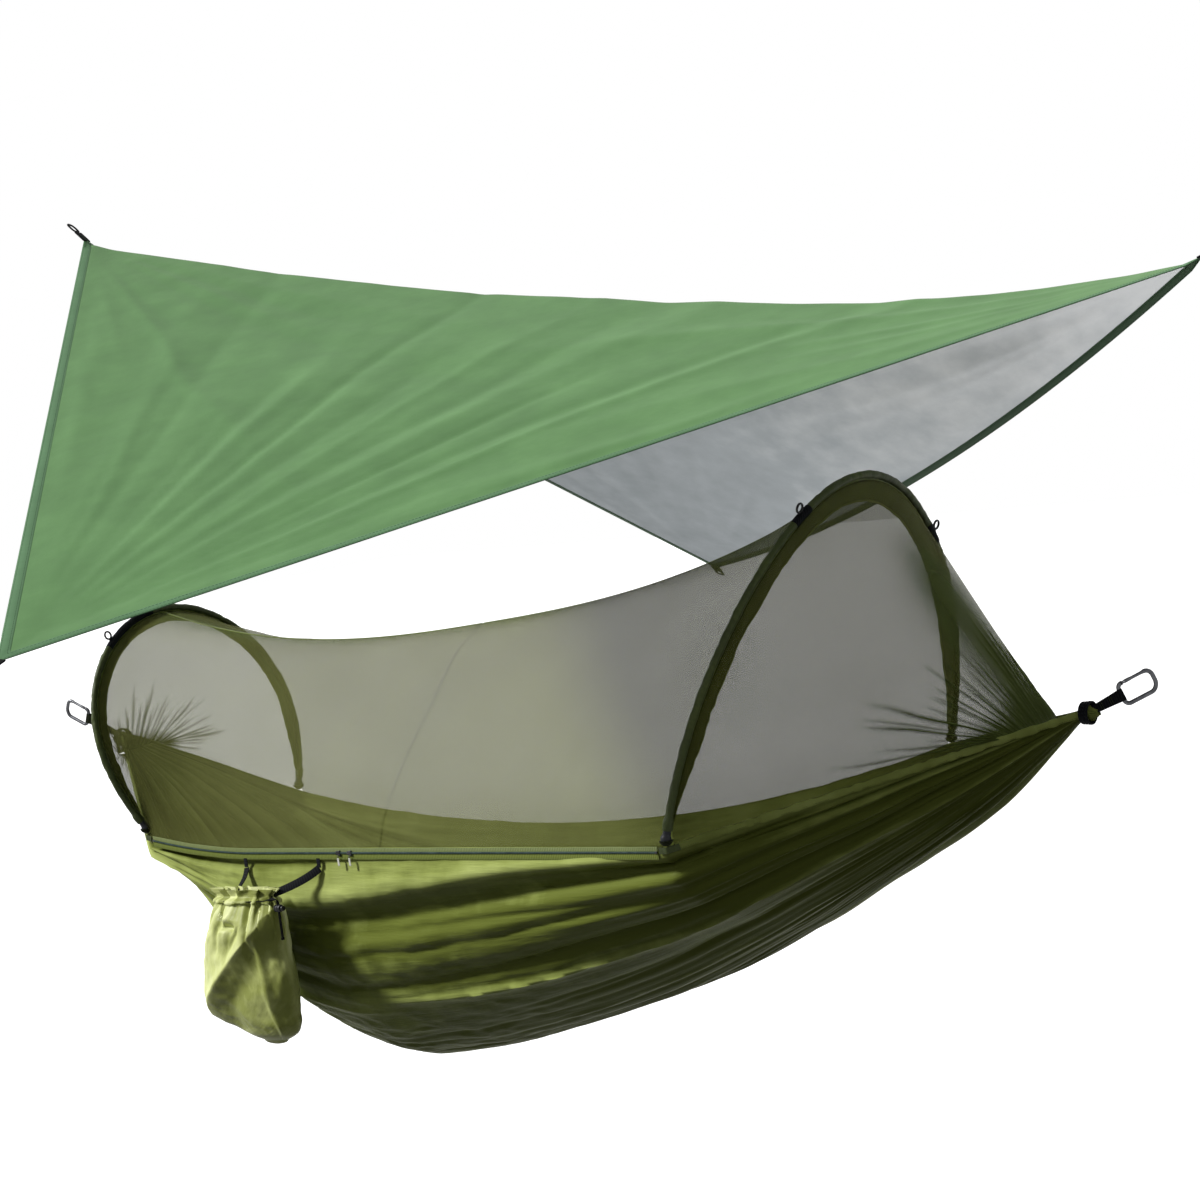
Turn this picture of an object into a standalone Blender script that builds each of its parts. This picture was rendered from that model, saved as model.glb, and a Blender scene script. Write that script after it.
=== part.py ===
"""Hammock tent: a gathered-end hammock with two spring hoops, a mosquito net and a rain fly.

Run with: blender --background --python part.py

Metres, +Z up. The hammock runs along X with its head end at +X. Its near side, with the
zip and the pouch, is at -Y. Lengths below are worked out from the line between the two
gathers, and the whole model is then hung from the head carabiner's bearing point, which
is the world origin.
"""
from math import asin, atan2, cos, exp, pi, radians, sin, sqrt, tan

import bmesh
import bpy
import numpy as np
from mathutils import Matrix, Vector

# Gaps that faceted neighbours keep
touch_gap = 0.0003
loose_gap = 0.0006
pin_gap = 0.00005

# Hammock bed
hang_length = 2.55
sag_depth = 0.703
fabric_thickness = 0.003
foot_hoop_inset = 0.318
head_hoop_inset = 0.599
foot_rim_half = 0.240
head_rim_half = 0.485
foot_rim_drop = 0.181
head_rim_drop = 0.141
near_rim_dip = 0.025
far_rim_dip = 0.117
rim_margin = 0.030
straight_zip_share = 0.22
bundle_half = 0.016
bundle_depth = 0.020
bundle_margin = 0.004
bundle_length = 0.024
bottom_shares = (
    (0.000, 0.000), (0.055, 0.130), (0.110, 0.310), (0.190, 0.630), (0.260, 0.890),
    (0.330, 0.990), (0.430, 0.965), (0.540, 0.870), (0.680, 0.695), (0.820, 0.435),
    (0.920, 0.220), (1.000, 0.000))
low_width_shares = ((0.00, 0.00), (0.13, 0.60), (0.42, 0.90), (0.68, 0.96), (0.85, 0.56), (1.00, 0.00))

# Gathers, straps and carabiners
wrap_length = 0.018
wrap_wall = 0.003
strap_rise = radians(23.0)
strap_tail = 0.020
strap_thickness = 0.0018
strap_loop_width = 0.022
head_strap_reach = 0.066
foot_strap_reach = 0.112
wire_radius = 0.004
carabiner_length = 0.080
carabiner_width = 0.046
carabiner_corner = 0.010
gate_radius = 0.0034
gate_foot_reach = 0.018
gate_tongue = 0.0024
gate_pin_radius = 0.0012
tongue_share = 3.0
knuckle_share = 2.2
basket_corner_share = 0.96
strap_fork_share = 4.0

# Hoops
rod_radius = 0.0035
ferrule_wall = 0.0010
channel_wall = 0.0012
band_thickness = 0.0024
head_band_width = 0.048
foot_band_width = 0.030
band_foot_share = 0.25
band_taper_share = 0.30
foot_hoop_height = 0.470
head_hoop_height = 0.602
foot_hoop_lean = radians(14.0)
head_hoop_lean = radians(17.0)
foot_hoop_bulge_share = 0.53
head_hoop_pinch_share = 0.14
cap_ball_radius = 0.010
cap_radius = 0.0075
cap_length = 0.030
cap_bore_depth = 0.024
cup_wall = 0.0026
cup_cover = radians(62.0)
ring_radius = 0.011
ring_hole_radius = 0.006
ring_thickness = 0.004

# Net
net_thickness = 0.0016
net_edge_gap = 0.0010
ridge_sag = 0.146
ridge_slack_power = 2.6
net_tent_share = 0.82
end_net_reach_share = 0.73
end_net_low_share = 0.04
net_seat_inset = 0.010
net_cap_clearance = 0.020
net_cap_fade = 0.030
net_seam_gap = 0.0004

# Zip along the near edge
zip_end_inset = 0.024
zip_tape_height = 0.024
zip_tape_thickness = 0.0012
zip_chain_height = 0.005
zip_chain_thickness = 0.0022
zip_chain_drop = 0.010
slider_length = 0.013
slider_height = 0.0105
slider_depth = 0.0060
foot_slider_inset = 1.003
head_slider_inset = 1.040
slider_lug = 0.003
pull_length = 0.020
pull_width = 0.007
pull_thickness = 0.0012
stop_length = 0.006

# Pouch on the near side
pouch_centre_inset = 0.728
pouch_width = 0.300
pouch_depth = 0.110
pouch_height = 0.306
pouch_mouth_width = 0.200
pouch_mouth_depth = 0.036
pouch_wall = 0.0025
pouch_drop = 0.088
pouch_stand_off = 0.050
pouch_tab_height = 0.012
pouch_tab_width = 0.016
pouch_tab_thickness = 0.0016
pouch_strap_width = 0.012
pouch_strap_thickness = 0.0018
foot_strap_place_share = 0.26
head_strap_place_share = 1.02
drawcord_radius = 0.0013
drawcord_tail = 0.062
drawcord_exit = radians(30.0)
drawcord_parting = radians(10.0)
lock_radius = 0.0075
lock_length = 0.020
lock_wall = 0.0020
lock_travel = 0.003
button_radius = 0.0052
button_length = 0.005
button_stem_radius = 0.0040

# Rain fly
fly_foot_corner = Vector((-0.905, -0.20, 1.108))
fly_head_corner = Vector((1.505, 0.10, 0.752))
fly_near_corner = Vector((0.355, -1.60, 0.400))
fly_far_corner = Vector((-0.395, 1.20, 0.186))
fly_thickness = 0.0018
fly_dish_share = 0.20
fly_far_sag = 0.075
fly_step_share = 0.001
fly_probe_share = 0.05
fly_hem_width = 0.018
fly_tab_length = 0.052
fly_tab_width = 0.024
fly_tab_thickness = 0.0020
fly_tab_hole_length = 0.016
fly_tab_hole_width = 0.010

# How finely the surfaces are cut
bed_segments = (1, 6, 5, 12, 8, 1)
bed_half_rows = 6
head_arc_segments = 22
foot_arc_segments = 20
head_near_ring_station = 8
head_far_ring_station = 16
foot_ring_station = 7
tube_sides = 8
ring_sides = 12
crease_angle = radians(40.0)
middle_share = 0.5
net_rows = 12
mid_net_columns = 6
end_net_columns = 6
fly_cells = 12
pouch_sides = 16
drawcord_steps = 24

half_length = hang_length / 2
foot_hoop_x = -half_length + foot_hoop_inset
head_hoop_x = half_length - head_hoop_inset
hoop_span = head_hoop_x - foot_hoop_x
world_up = Vector((0.0, 0.0, 1.0))


# Scene and object helpers

def clear_scene():
    for item in list(bpy.data.objects):
        bpy.data.objects.remove(item, do_unlink=True)


def principled(name, colour, roughness, metallic=0.0):
    material = bpy.data.materials.new(name)
    material.use_nodes = True
    shader = material.node_tree.nodes["Principled BSDF"]
    shader.inputs["Base Color"].default_value = (*colour, 1.0)
    shader.inputs["Roughness"].default_value = roughness
    shader.inputs["Metallic"].default_value = metallic
    return material


def add_empty(name, location=(0.0, 0.0, 0.0), parent=None):
    empty = bpy.data.objects.new(name, None)
    empty.location = location
    empty.parent = parent
    bpy.context.collection.objects.link(empty)
    return empty


class Maker:
    """Adds closed bodies in hammock coordinates, each under its joint's empty."""

    def __init__(self, root):
        self.root = root
        self.materials = {}

    def material(self, name, colour, roughness, metallic=0.0):
        self.materials[name] = principled(name, colour, roughness, metallic)

    def add(self, name, body, finish, carrier=None):
        """Link a bmesh as one object, with its origin on its carrier's axis."""
        carrier = carrier or self.root
        bmesh.ops.remove_doubles(body, verts=body.verts, dist=touch_gap / 100)
        bmesh.ops.recalc_face_normals(body, faces=body.faces)
        carrier_place = Vector((0.0, 0.0, 0.0)) if carrier is self.root else carrier.location
        body.transform(Matrix.Translation(-carrier_place))
        mesh = bpy.data.meshes.new(name)
        body.to_mesh(mesh)
        body.free()
        mesh.shade_smooth()
        mesh.set_sharp_from_angle(angle=crease_angle)
        mesh.materials.append(self.materials[finish].copy())
        item = bpy.data.objects.new(name, mesh)
        item.parent = carrier
        bpy.context.collection.objects.link(item)
        return item


# Shape helpers: each returns a closed bmesh

def spline(table, share):
    """Smooth curve through (share, value) pairs, with finite-difference slopes."""
    places = np.array([row[0] for row in table])
    values = np.array([row[1] for row in table])
    slopes = np.gradient(values, places)
    index = int(np.clip(np.searchsorted(places, share) - 1, 0, len(places) - 2))
    width = places[index + 1] - places[index]
    t = (share - places[index]) / width
    return float(
        (2 * t**3 - 3 * t**2 + 1) * values[index] + (t**3 - 2 * t**2 + t) * width * slopes[index]
        + (3 * t**2 - 2 * t**3) * values[index + 1] + (t**3 - t**2) * width * slopes[index + 1])


def bridge_loop(body, lower, upper):
    count = len(lower)
    for i in range(count):
        j = (i + 1) % count
        body.faces.new((lower[i], lower[j], upper[j], upper[i]))


def sweep(stations, profile, hole=None, cyclic=False):
    """Carry one closed profile, or one for each, along (place, first axis, second axis) stations."""
    body = bmesh.new()
    outlines = profile if isinstance(profile[0], list) else [profile] * len(stations)
    outer = [[body.verts.new(place + first * a + second * b) for a, b in outline]
             for (place, first, second), outline in zip(stations, outlines)]
    inner = None
    if hole:
        inner = [[body.verts.new(place + first * a + second * b) for a, b in hole]
                 for place, first, second in stations]
    pairs = list(zip(range(len(stations) - 1), range(1, len(stations))))
    if cyclic:
        pairs.append((len(stations) - 1, 0))
    for k, n in pairs:
        bridge_loop(body, outer[k], outer[n])
        if inner:
            bridge_loop(body, inner[k], inner[n])
    if not cyclic:
        for end in (0, -1):
            if inner:
                bridge_loop(body, outer[end], inner[end])
            else:
                body.faces.new(outer[end])
    return body


def circle(radius, sides, start=0.0):
    return [(radius * cos(start + 2 * pi * i / sides), radius * sin(start + 2 * pi * i / sides))
            for i in range(sides)]


def clear_circle(radius, sides):
    """A faceted hole whose flats stay clear of a round of the given radius."""
    return circle(radius / cos(pi / sides), sides)


def turned(profile, place, frame, sides=ring_sides):
    """Turn (radius, height) points, from axis to axis, about the frame's third column."""
    body = bmesh.new()
    first, second, axis = frame
    rings = []
    for radius, height in profile:
        centre = place + axis * height
        if radius == 0:
            rings.append([body.verts.new(centre)])
            continue
        rings.append([body.verts.new(centre + first * a + second * b) for a, b in circle(radius, sides)])
    for lower, upper in zip(rings, rings[1:]):
        if len(lower) == 1:
            for i in range(sides):
                body.faces.new((lower[0], upper[i], upper[(i + 1) % sides]))
        elif len(upper) == 1:
            for i in range(sides):
                body.faces.new((lower[i], lower[(i + 1) % sides], upper[0]))
        else:
            bridge_loop(body, lower, upper)
    return body


def extruded(outline, depth, place, frame, holes=()):
    """Fill an outline in the frame's first two axes and extrude it both ways along the third."""
    body = bmesh.new()
    first, second, third = frame
    edges = []
    for loop in (outline, *holes):
        ring = [body.verts.new(place + first * a + second * b - third * (depth / 2)) for a, b in loop]
        edges += [body.edges.new((ring[i], ring[(i + 1) % len(ring)])) for i in range(len(ring))]
    bmesh.ops.triangle_fill(body, use_beauty=True, edges=edges)
    lid = bmesh.ops.extrude_face_region(body, geom=list(body.faces))
    moved = [item for item in lid["geom"] if isinstance(item, bmesh.types.BMVert)]
    bmesh.ops.translate(body, verts=moved, vec=third * depth)
    return body


def sheet(grid, thickness, both_sides=True):
    """Thicken a grid of points, rows by columns, into a closed sheet."""
    points = np.array(grid, dtype=float)
    along = np.gradient(points, axis=0)
    across = np.gradient(points, axis=1)
    normals = np.cross(along, across)
    normals /= np.maximum(np.linalg.norm(normals, axis=2, keepdims=True), np.finfo(float).tiny)
    lift = thickness / 2 if both_sides else 0.0
    front = points + normals * lift
    back = front - normals * thickness
    body = bmesh.new()
    layers = [[[body.verts.new(Vector(place)) for place in row] for row in layer] for layer in (front, back)]
    rows, columns = points.shape[:2]
    for layer in layers:
        for r in range(rows - 1):
            for c in range(columns - 1):
                body.faces.new((layer[r][c], layer[r][c + 1], layer[r + 1][c + 1], layer[r + 1][c]))
    edge = [(0, c) for c in range(columns)]
    edge += [(r, columns - 1) for r in range(1, rows)]
    edge += [(rows - 1, c) for c in range(columns - 2, -1, -1)]
    edge += [(r, 0) for r in range(rows - 2, 0, -1)]
    rims = [[layer[r][c] for r, c in edge] for layer in layers]
    bridge_loop(body, rims[0], rims[1])
    return body


def cut(body, tool, operation="DIFFERENCE"):
    """Cut or join one bmesh with another through Blender's exact Boolean."""
    meshes = []
    for source in (body, tool):
        bmesh.ops.recalc_face_normals(source, faces=source.faces)
        mesh = bpy.data.meshes.new("cut_stock")
        source.to_mesh(mesh)
        source.free()
        meshes.append(mesh)
    stock, cutter = [bpy.data.objects.new("cut_stock", mesh) for mesh in meshes]
    for item in (stock, cutter):
        bpy.context.collection.objects.link(item)
    step = stock.modifiers.new("cut", "BOOLEAN")
    step.operation = operation
    step.solver = "EXACT"
    step.object = cutter
    bpy.context.view_layer.update()
    result = bmesh.new()
    result.from_mesh(stock.evaluated_get(bpy.context.evaluated_depsgraph_get()).to_mesh())
    for item in (stock, cutter):
        bpy.data.objects.remove(item, do_unlink=True)
    return result


def rectangle(low_a, low_b, high_a, high_b):
    return [(low_a, low_b), (high_a, low_b), (high_a, high_b), (low_a, high_b)]


# The hammock's edges and bottom, as functions of X

def span_share(x):
    return (x - foot_hoop_x) / hoop_span


def end_share(x):
    """0 along the gathered bundle at either end, rising to 1 at that end's hoop."""
    inset = foot_hoop_inset if x <= foot_hoop_x else head_hoop_inset
    return min(1.0, max(0.0, (half_length - abs(x) - bundle_length) / (inset - bundle_length)))


def length_share(x):
    """0 to 1 along the fabric between the two bundles."""
    return min(1.0, max(0.0, (x + half_length - bundle_length) / (hang_length - 2 * bundle_length)))


def rim_half(x):
    """Half the width between the two edges: widest at the head hoop's feet."""
    if x <= foot_hoop_x:
        return bundle_half + (foot_rim_half - bundle_half) * end_share(x)
    if x >= head_hoop_x:
        return bundle_half + (head_rim_half - bundle_half) * end_share(x)
    return foot_rim_half + (head_rim_half - foot_rim_half) * span_share(x)


def rim_line(x):
    """Height of the taut line through gather, hoop feet and gather."""
    if x <= foot_hoop_x:
        return -foot_rim_drop * end_share(x)
    if x >= head_hoop_x:
        return -head_rim_drop * end_share(x)
    return -foot_rim_drop + (foot_rim_drop - head_rim_drop) * span_share(x)


def near_rim(x):
    """The near edge dips behind the pouch and is straight from there to the head hoop."""
    height = rim_line(x)
    if foot_hoop_x < x < head_hoop_x:
        share = span_share(x)
        if share < straight_zip_share:
            height -= near_rim_dip * (1 - (1 - share / straight_zip_share)**2)
        else:
            height -= near_rim_dip * (1 - share) / (1 - straight_zip_share)
    return height


def far_rim(x):
    """The far edge sags evenly between the hoops."""
    height = rim_line(x)
    if foot_hoop_x < x < head_hoop_x:
        share = span_share(x)
        height -= far_rim_dip * 4 * share * (1 - share)
    return height


def bottom(x):
    return -bundle_depth - (sag_depth - bundle_depth) * spline(bottom_shares, length_share(x))


def low_half(x):
    """Half-width that the belly takes, without the corners that the hoop feet pull out."""
    mean_half = (foot_rim_half + head_rim_half) / 2
    return bundle_half + (mean_half - bundle_half) * max(0.0, spline(low_width_shares, length_share(x)))


def margin(x):
    """Height of the upright strip under each edge, which carries the zip."""
    share = 1.0 if foot_hoop_x < x < head_hoop_x else end_share(x)
    return bundle_margin + (rim_margin - bundle_margin) * share


def bed_stations():
    """X of each cross-section, with one at each corner of the edges."""
    corners = [-half_length, -half_length + bundle_length, foot_hoop_x,
               foot_hoop_x + hoop_span * straight_zip_share, head_hoop_x,
               half_length - bundle_length, half_length]
    stations = []
    for low, high, count in zip(corners, corners[1:], bed_segments):
        stations += [low + (high - low) * i / count for i in range(count)]
    return stations + [half_length]


def bed_section(x):
    """Points from the near edge, down under the belly and up to the far edge."""
    rows = []
    floor = bottom(x)
    for side, edge in ((-1, near_rim(x)), (1, far_rim(x))):
        half = []
        half.append(Vector((x, side * rim_half(x), edge)))
        top = edge - margin(x)
        for i in range(bed_half_rows + 1):
            turn = pi / 2 * i / bed_half_rows
            width = rim_half(x) + (low_half(x) - rim_half(x)) * sin(turn)**2
            half.append(Vector((x, side * width * cos(turn), top - (top - floor) * sin(turn))))
        rows.append(half)
    return rows[0] + rows[1][-2::-1]


def make_bed(maker):
    grid = [bed_section(x) for x in bed_stations()]
    maker.add("hammock_bed", sheet(grid, -fabric_thickness, both_sides=False), "bed_fabric")


# Gather wraps, straps and carabiners at both ends

class HangEnd:
    """One end's frame: along the strap, across it, and up, turned half round at the foot."""

    def __init__(self, label, side, reach):
        self.label = label
        self.side = side
        self.reach = reach
        self.gather = Vector((side * half_length, 0.0, 0.0))
        self.along = Vector((side * cos(strap_rise), 0.0, sin(strap_rise)))
        self.across = Vector((0.0, float(side), 0.0))
        self.up = self.along.cross(self.across)

    def place(self, along, up=0.0, across=0.0):
        return self.gather + self.along * along + self.up * up + self.across * across

    def bearing(self):
        """Where a tree strap bears inside the carabiner."""
        return self.place(self.reach + carabiner_length - 2 * wire_radius - wire_radius)


def make_wrap(maker, end):
    """Band around the gathered fabric, just inside the gather."""
    centre_drop = bundle_margin
    corner = sqrt(bundle_half**2 + centre_drop**2)
    inner = circle((corner + touch_gap) / cos(pi / ring_sides), ring_sides)
    outer = circle(corner + touch_gap + wrap_wall + bundle_margin, ring_sides)
    stations = []
    for offset in (0.0, wrap_length):
        centre = Vector((end.side * (half_length - offset), 0.0, -centre_drop))
        stations.append((centre, Vector((0.0, 1.0, 0.0)), world_up))
    maker.add(f"{end.label}_gather_wrap", sweep(stations, outer, inner), "wrap_webbing")


def make_strap(maker, end):
    """Webbing loop on edge: two layers that part around the carabiner, seated in the gathered fabric."""
    loop_inner = wire_radius + touch_gap * 2
    loop_outer = loop_inner + strap_thickness
    tail_half = strap_thickness
    turn_steps = 10
    outer = [(-strap_tail, -tail_half)]
    outer += [(end.reach + loop_outer * cos(a), loop_outer * sin(a))
              for a in np.linspace(-pi / 2 - strap_rise / 2, pi / 2 + strap_rise / 2, turn_steps)]
    outer.append((-strap_tail, tail_half))
    hole = [(end.reach + loop_inner * cos(a) / cos(pi / (2 * turn_steps)),
             loop_inner * sin(a) / cos(pi / (2 * turn_steps)))
            for a in np.linspace(-pi / 2, pi / 2, turn_steps)]
    hole.append((end.reach - loop_outer * strap_fork_share, 0.0))
    frame = (end.along, end.across, end.up)
    body = extruded(outer, strap_loop_width, end.gather, frame, [hole])
    seat_depth = bundle_depth - fabric_thickness - touch_gap - strap_tail * sin(strap_rise)
    tail_width = 2 * seat_depth / cos(strap_rise)
    span = end.reach + strap_tail
    for vertex in body.verts:
        offset = vertex.co - end.gather
        along = offset.dot(end.along)
        share = min(1.0, max(0.0, (along + strap_tail) / span))
        width_share = (tail_width + (strap_loop_width - tail_width) * share) / strap_loop_width
        vertex.co -= end.up * offset.dot(end.up) * (1 - width_share)
    maker.add(f"{end.label}_strap", body, "strap_webbing")


def rounded_path(corners, radius, steps):
    """Polyline with each inner corner replaced by an arc."""
    path = [corners[0]]
    for before, corner, after in zip(corners, corners[1:], corners[2:]):
        to_before = (before - corner).normalized()
        to_after = (after - corner).normalized()
        half_angle = to_before.angle(to_after) / 2
        run = radius / tan(half_angle)
        centre = corner + (to_before + to_after).normalized() * (radius / sin(half_angle))
        start = corner + to_before * run - centre
        finish = corner + to_after * run - centre
        sweep_angle = start.angle(finish)
        for i in range(steps + 1):
            share = i / steps
            arm = start * sin((1 - share) * sweep_angle) + finish * sin(share * sweep_angle)
            path.append(centre + arm / sin(sweep_angle))
    path.append(corners[-1])
    return path


def tube_stations(path, side_axis):
    """Frames along a flat path, with one axis fixed square to it."""
    stations = []
    for i, place in enumerate(path):
        before = path[max(0, i - 1)]
        after = path[min(len(path) - 1, i + 1)]
        along = (after - before).normalized()
        stations.append((place, along.cross(side_axis), side_axis))
    return stations


class CarabinerShape:
    """Places on one carabiner, in its end's frame."""

    def __init__(self, end):
        half_width = carabiner_width / 2 - wire_radius
        self.basket = end.reach
        self.crown = end.reach + carabiner_length - 2 * wire_radius
        self.spine_up = -half_width
        self.gate_up = half_width
        self.hinge = end.place(self.basket + gate_foot_reach, self.gate_up)
        nose_back = carabiner_corner + gate_radius
        self.nose_along = self.crown - nose_back
        self.gate_length = self.nose_along - (self.basket + gate_foot_reach) - loose_gap


def pin_bore(end, shape):
    """Drill for the hole that the gate's pin runs in."""
    outline = clear_circle(gate_pin_radius + pin_gap, tube_sides)
    return extruded(outline, wire_radius * 4, shape.hinge, (end.along, end.up, end.across))


def make_carabiner(maker, end, carrier, gate_carrier):
    """Bent wire with a tongue at the gate, the gate forked round the tongue, and its pin."""
    shape = CarabinerShape(end)
    tongue_reach = gate_pin_radius * tongue_share
    wire_end = end.place(shape.basket + gate_foot_reach - tongue_reach * 2, shape.gate_up)
    corners = [
        wire_end,
        end.place(shape.basket, shape.gate_up),
        end.place(shape.basket, shape.spine_up),
        end.place(shape.crown, shape.spine_up),
        end.place(shape.crown, shape.gate_up),
        end.place(shape.nose_along, shape.gate_up)]
    corner_radius = min(carabiner_corner, (gate_foot_reach - tongue_reach * 2) * basket_corner_share)
    path = rounded_path(corners, corner_radius, 5)
    wire = sweep(tube_stations(path, end.across), circle(wire_radius, tube_sides))
    tongue_half = gate_pin_radius * knuckle_share
    hinge_along = shape.basket + gate_foot_reach
    tongue = extruded(
        rectangle(hinge_along - tongue_reach * 3, shape.gate_up - tongue_half,
                  hinge_along + tongue_half, shape.gate_up + tongue_half),
        gate_tongue, end.gather, (end.along, end.up, end.across))
    wire = cut(wire, tongue, "UNION")
    wire = cut(wire, pin_bore(end, shape))
    maker.add(f"{end.label}_carabiner", wire, "carabiner_metal", carrier)

    gate_start = -tongue_half
    bar_stations = [(shape.hinge + end.along * place, end.up, end.across)
                    for place in (gate_start, shape.gate_length)]
    gate = sweep(bar_stations, circle(gate_radius, tube_sides, pi / tube_sides))
    slot_floor = tongue_half * sqrt(2) + loose_gap
    slot = extruded(
        rectangle(gate_start * 2, -gate_radius * 2, slot_floor, gate_radius * 2),
        gate_tongue + 2 * touch_gap, shape.hinge, (end.along, end.up, end.across))
    gate = cut(gate, slot)
    gate = cut(gate, pin_bore(end, shape))
    maker.add(f"{end.label}_gate", gate, "carabiner_metal", gate_carrier)

    pin_half = gate_radius - touch_gap
    pin_stations = [(shape.hinge + end.across * side * pin_half, end.along, end.up) for side in (-1, 1)]
    pin = sweep(pin_stations, circle(gate_pin_radius, tube_sides))
    maker.add(f"{end.label}_gate_pin", pin, "pin_metal", carrier)


# Hoops that hold the net up

class Hoop:
    """An arch in a leaning plane, hinged on the line through its two feet."""

    def __init__(self, label, side, height, lean, bulge_share, pinch_share, band_width, segments):
        self.label = label
        self.side = side
        self.height = height
        self.band_width = band_width
        self.segments = segments
        self.bulge_share = bulge_share
        self.pinch_share = pinch_share
        x = head_hoop_x if side > 0 else foot_hoop_x
        self.foot_half = rim_half(x)
        inset, drop = (head_hoop_inset, head_rim_drop) if side > 0 else (foot_hoop_inset, foot_rim_drop)
        steepness = atan2(drop, inset - bundle_length)
        self.seat_height = (cup_outer_radius() + touch_gap) / cos(steepness)
        self.centre = Vector((x, 0.0, rim_line(x) + self.seat_height))
        self.up = Vector((side * sin(lean), 0.0, cos(lean)))
        self.inboard = Vector((-side * cos(lean), 0.0, sin(lean)))

    def place(self, angle):
        """Point of the rod's centre line; angle runs from the near foot to the far foot."""
        rise = sin(angle)
        factor = 1 + self.bulge_share * (1 - (1 - rise)**2) - self.pinch_share * rise**2
        width = -self.foot_half * factor * cos(angle)
        return self.centre + Vector((0.0, width, 0.0)) + self.up * self.height * rise

    def frame(self, angle):
        """Place, outward axis in the hoop's plane and inboard axis across it."""
        step = pi / self.segments / 2
        ahead = self.place(min(pi, angle + step)) - self.place(max(0.0, angle - step))
        outward = ahead.normalized().cross(self.inboard)
        middle = self.centre + self.up * self.height / 2
        if outward.dot(self.place(angle) - middle) < 0:
            outward.negate()
        return self.place(angle), outward, self.inboard

    def station(self, index):
        return self.frame(pi * index / self.segments)

    def leg_station(self, index, reach):
        """Station on the straight first segment above a foot, square to that segment."""
        start, (_, _, axis) = self.foot_frame(index)
        outward = axis.cross(self.inboard).normalized()
        if outward.dot(self.frame(pi * index / self.segments)[1]) < 0:
            outward.negate()
        return start + axis * reach, outward, self.inboard

    def foot_frame(self, index):
        """Frame at a foot, with the first segment of the hoop as its axis."""
        foot, step = (0, 1) if index == 0 else (self.segments, -1)
        start = self.place(pi * foot / self.segments)
        axis = (self.place(pi * (foot + step) / self.segments) - start).normalized()
        first = axis.cross(self.inboard).normalized()
        return start, (first, first.cross(axis), axis)


def channel_radius():
    """Inner radius of the sleeve's tunnel, which has to pass a ferrule."""
    return (rod_radius + touch_gap) / cos(pi / tube_sides) + ferrule_wall + loose_gap


def channel_outer():
    return channel_radius() / cos(pi / tube_sides) + channel_wall


def make_sleeve(maker, hoop, carrier):
    """Tunnel around the rod with a flat band sewn to its inner side."""
    outer_radius = channel_outer()
    half_band = band_thickness / 2
    edge_angle = asin(half_band / outer_radius)
    arc_steps = tube_sides + 1
    start = -pi + edge_angle
    arc = [(outer_radius * cos(a), outer_radius * sin(a)) for a in np.linspace(start, -start, arc_steps)]
    count = arc_steps + 2
    hole_radius = channel_radius() / cos(pi / tube_sides)
    hole = [(hole_radius * cos(a), hole_radius * sin(a))
            for a in np.linspace(start, -start + 2 * edge_angle * (count - arc_steps) / count, count)]
    stations = [hoop.leg_station(0, cap_length + loose_gap)]
    stations += [hoop.station(i) for i in range(1, hoop.segments)]
    stations.append(hoop.leg_station(hoop.segments, cap_length + loose_gap))
    outlines = []
    for place, _, _ in stations:
        rise_share = (place - hoop.centre).dot(hoop.up) / hoop.height
        width_share = min(1.0, band_foot_share + (1 - band_foot_share) * rise_share / band_taper_share)
        width = hoop.band_width * width_share
        outlines.append([*arc, (-width, half_band), (-width, -half_band)])
    maker.add(f"{hoop.label}_hoop_sleeve", sweep(stations, outlines, hole), "sleeve_fabric", carrier)


def make_rods(maker, hoop, joints, names, carrier):
    """Rod sections that meet inside ferrules, with their ends in the caps."""
    bounds = [0, *joints, hoop.segments]
    for name, low, high in zip(names, bounds, bounds[1:]):
        stations = [list(hoop.station(i)) for i in range(low, high + 1)]
        for end, neighbour, index in ((0, 1, low), (-1, -2, high)):
            if index in (0, hoop.segments):
                stations[end] = hoop.leg_station(index, cap_length - cap_bore_depth + touch_gap)
            else:
                toward = (stations[neighbour][0] - stations[end][0]).normalized()
                stations[end][0] = stations[end][0] + toward * touch_gap
        maker.add(f"{hoop.label}_rod_{name}", sweep(stations, circle(rod_radius, tube_sides)), "rod", carrier)


def make_ferrules(maker, hoop, joints, names, carrier):
    inner = clear_circle(rod_radius + touch_gap, tube_sides)
    outer = circle((rod_radius + touch_gap) / cos(pi / tube_sides) + ferrule_wall, tube_sides)
    for name, joint in zip(names, joints):
        stations = [hoop.station(i) for i in (joint - 1, joint, joint + 1)]
        maker.add(f"{hoop.label}_ferrule_{name}", sweep(stations, outer, inner), "ferrule_metal", carrier)


def cap_profile():
    """Ball on the hinge line, then a socket that takes the rod's end."""
    ball_steps = 5
    leave = asin(cap_radius / cap_ball_radius)
    points = [(0.0, -cap_ball_radius)]
    for i in range(1, ball_steps + 1):
        turn = (pi - leave) * i / ball_steps
        points.append((cap_ball_radius * sin(turn), -cap_ball_radius * cos(turn)))
    bore = (rod_radius + touch_gap) / cos(pi / ring_sides)
    floor = cap_length - cap_bore_depth
    points += [(cap_radius, cap_length), (bore, cap_length), (bore, floor), (0.0, floor)]
    return points


def cup_outer_radius():
    return (cap_ball_radius + touch_gap) / cos(pi / ring_sides) + cup_wall


def cup_profile():
    """Open bowl that the ball sits in."""
    outer = cup_outer_radius()
    inner = outer - cup_wall
    steps = 4
    turns = [cup_cover * i / steps for i in range(steps + 1)]
    points = [(0.0, -outer)] + [(outer * sin(a), -outer * cos(a)) for a in turns[1:]]
    points += [(inner * sin(a), -inner * cos(a)) for a in reversed(turns[1:])]
    return points + [(0.0, -inner)]


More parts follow.
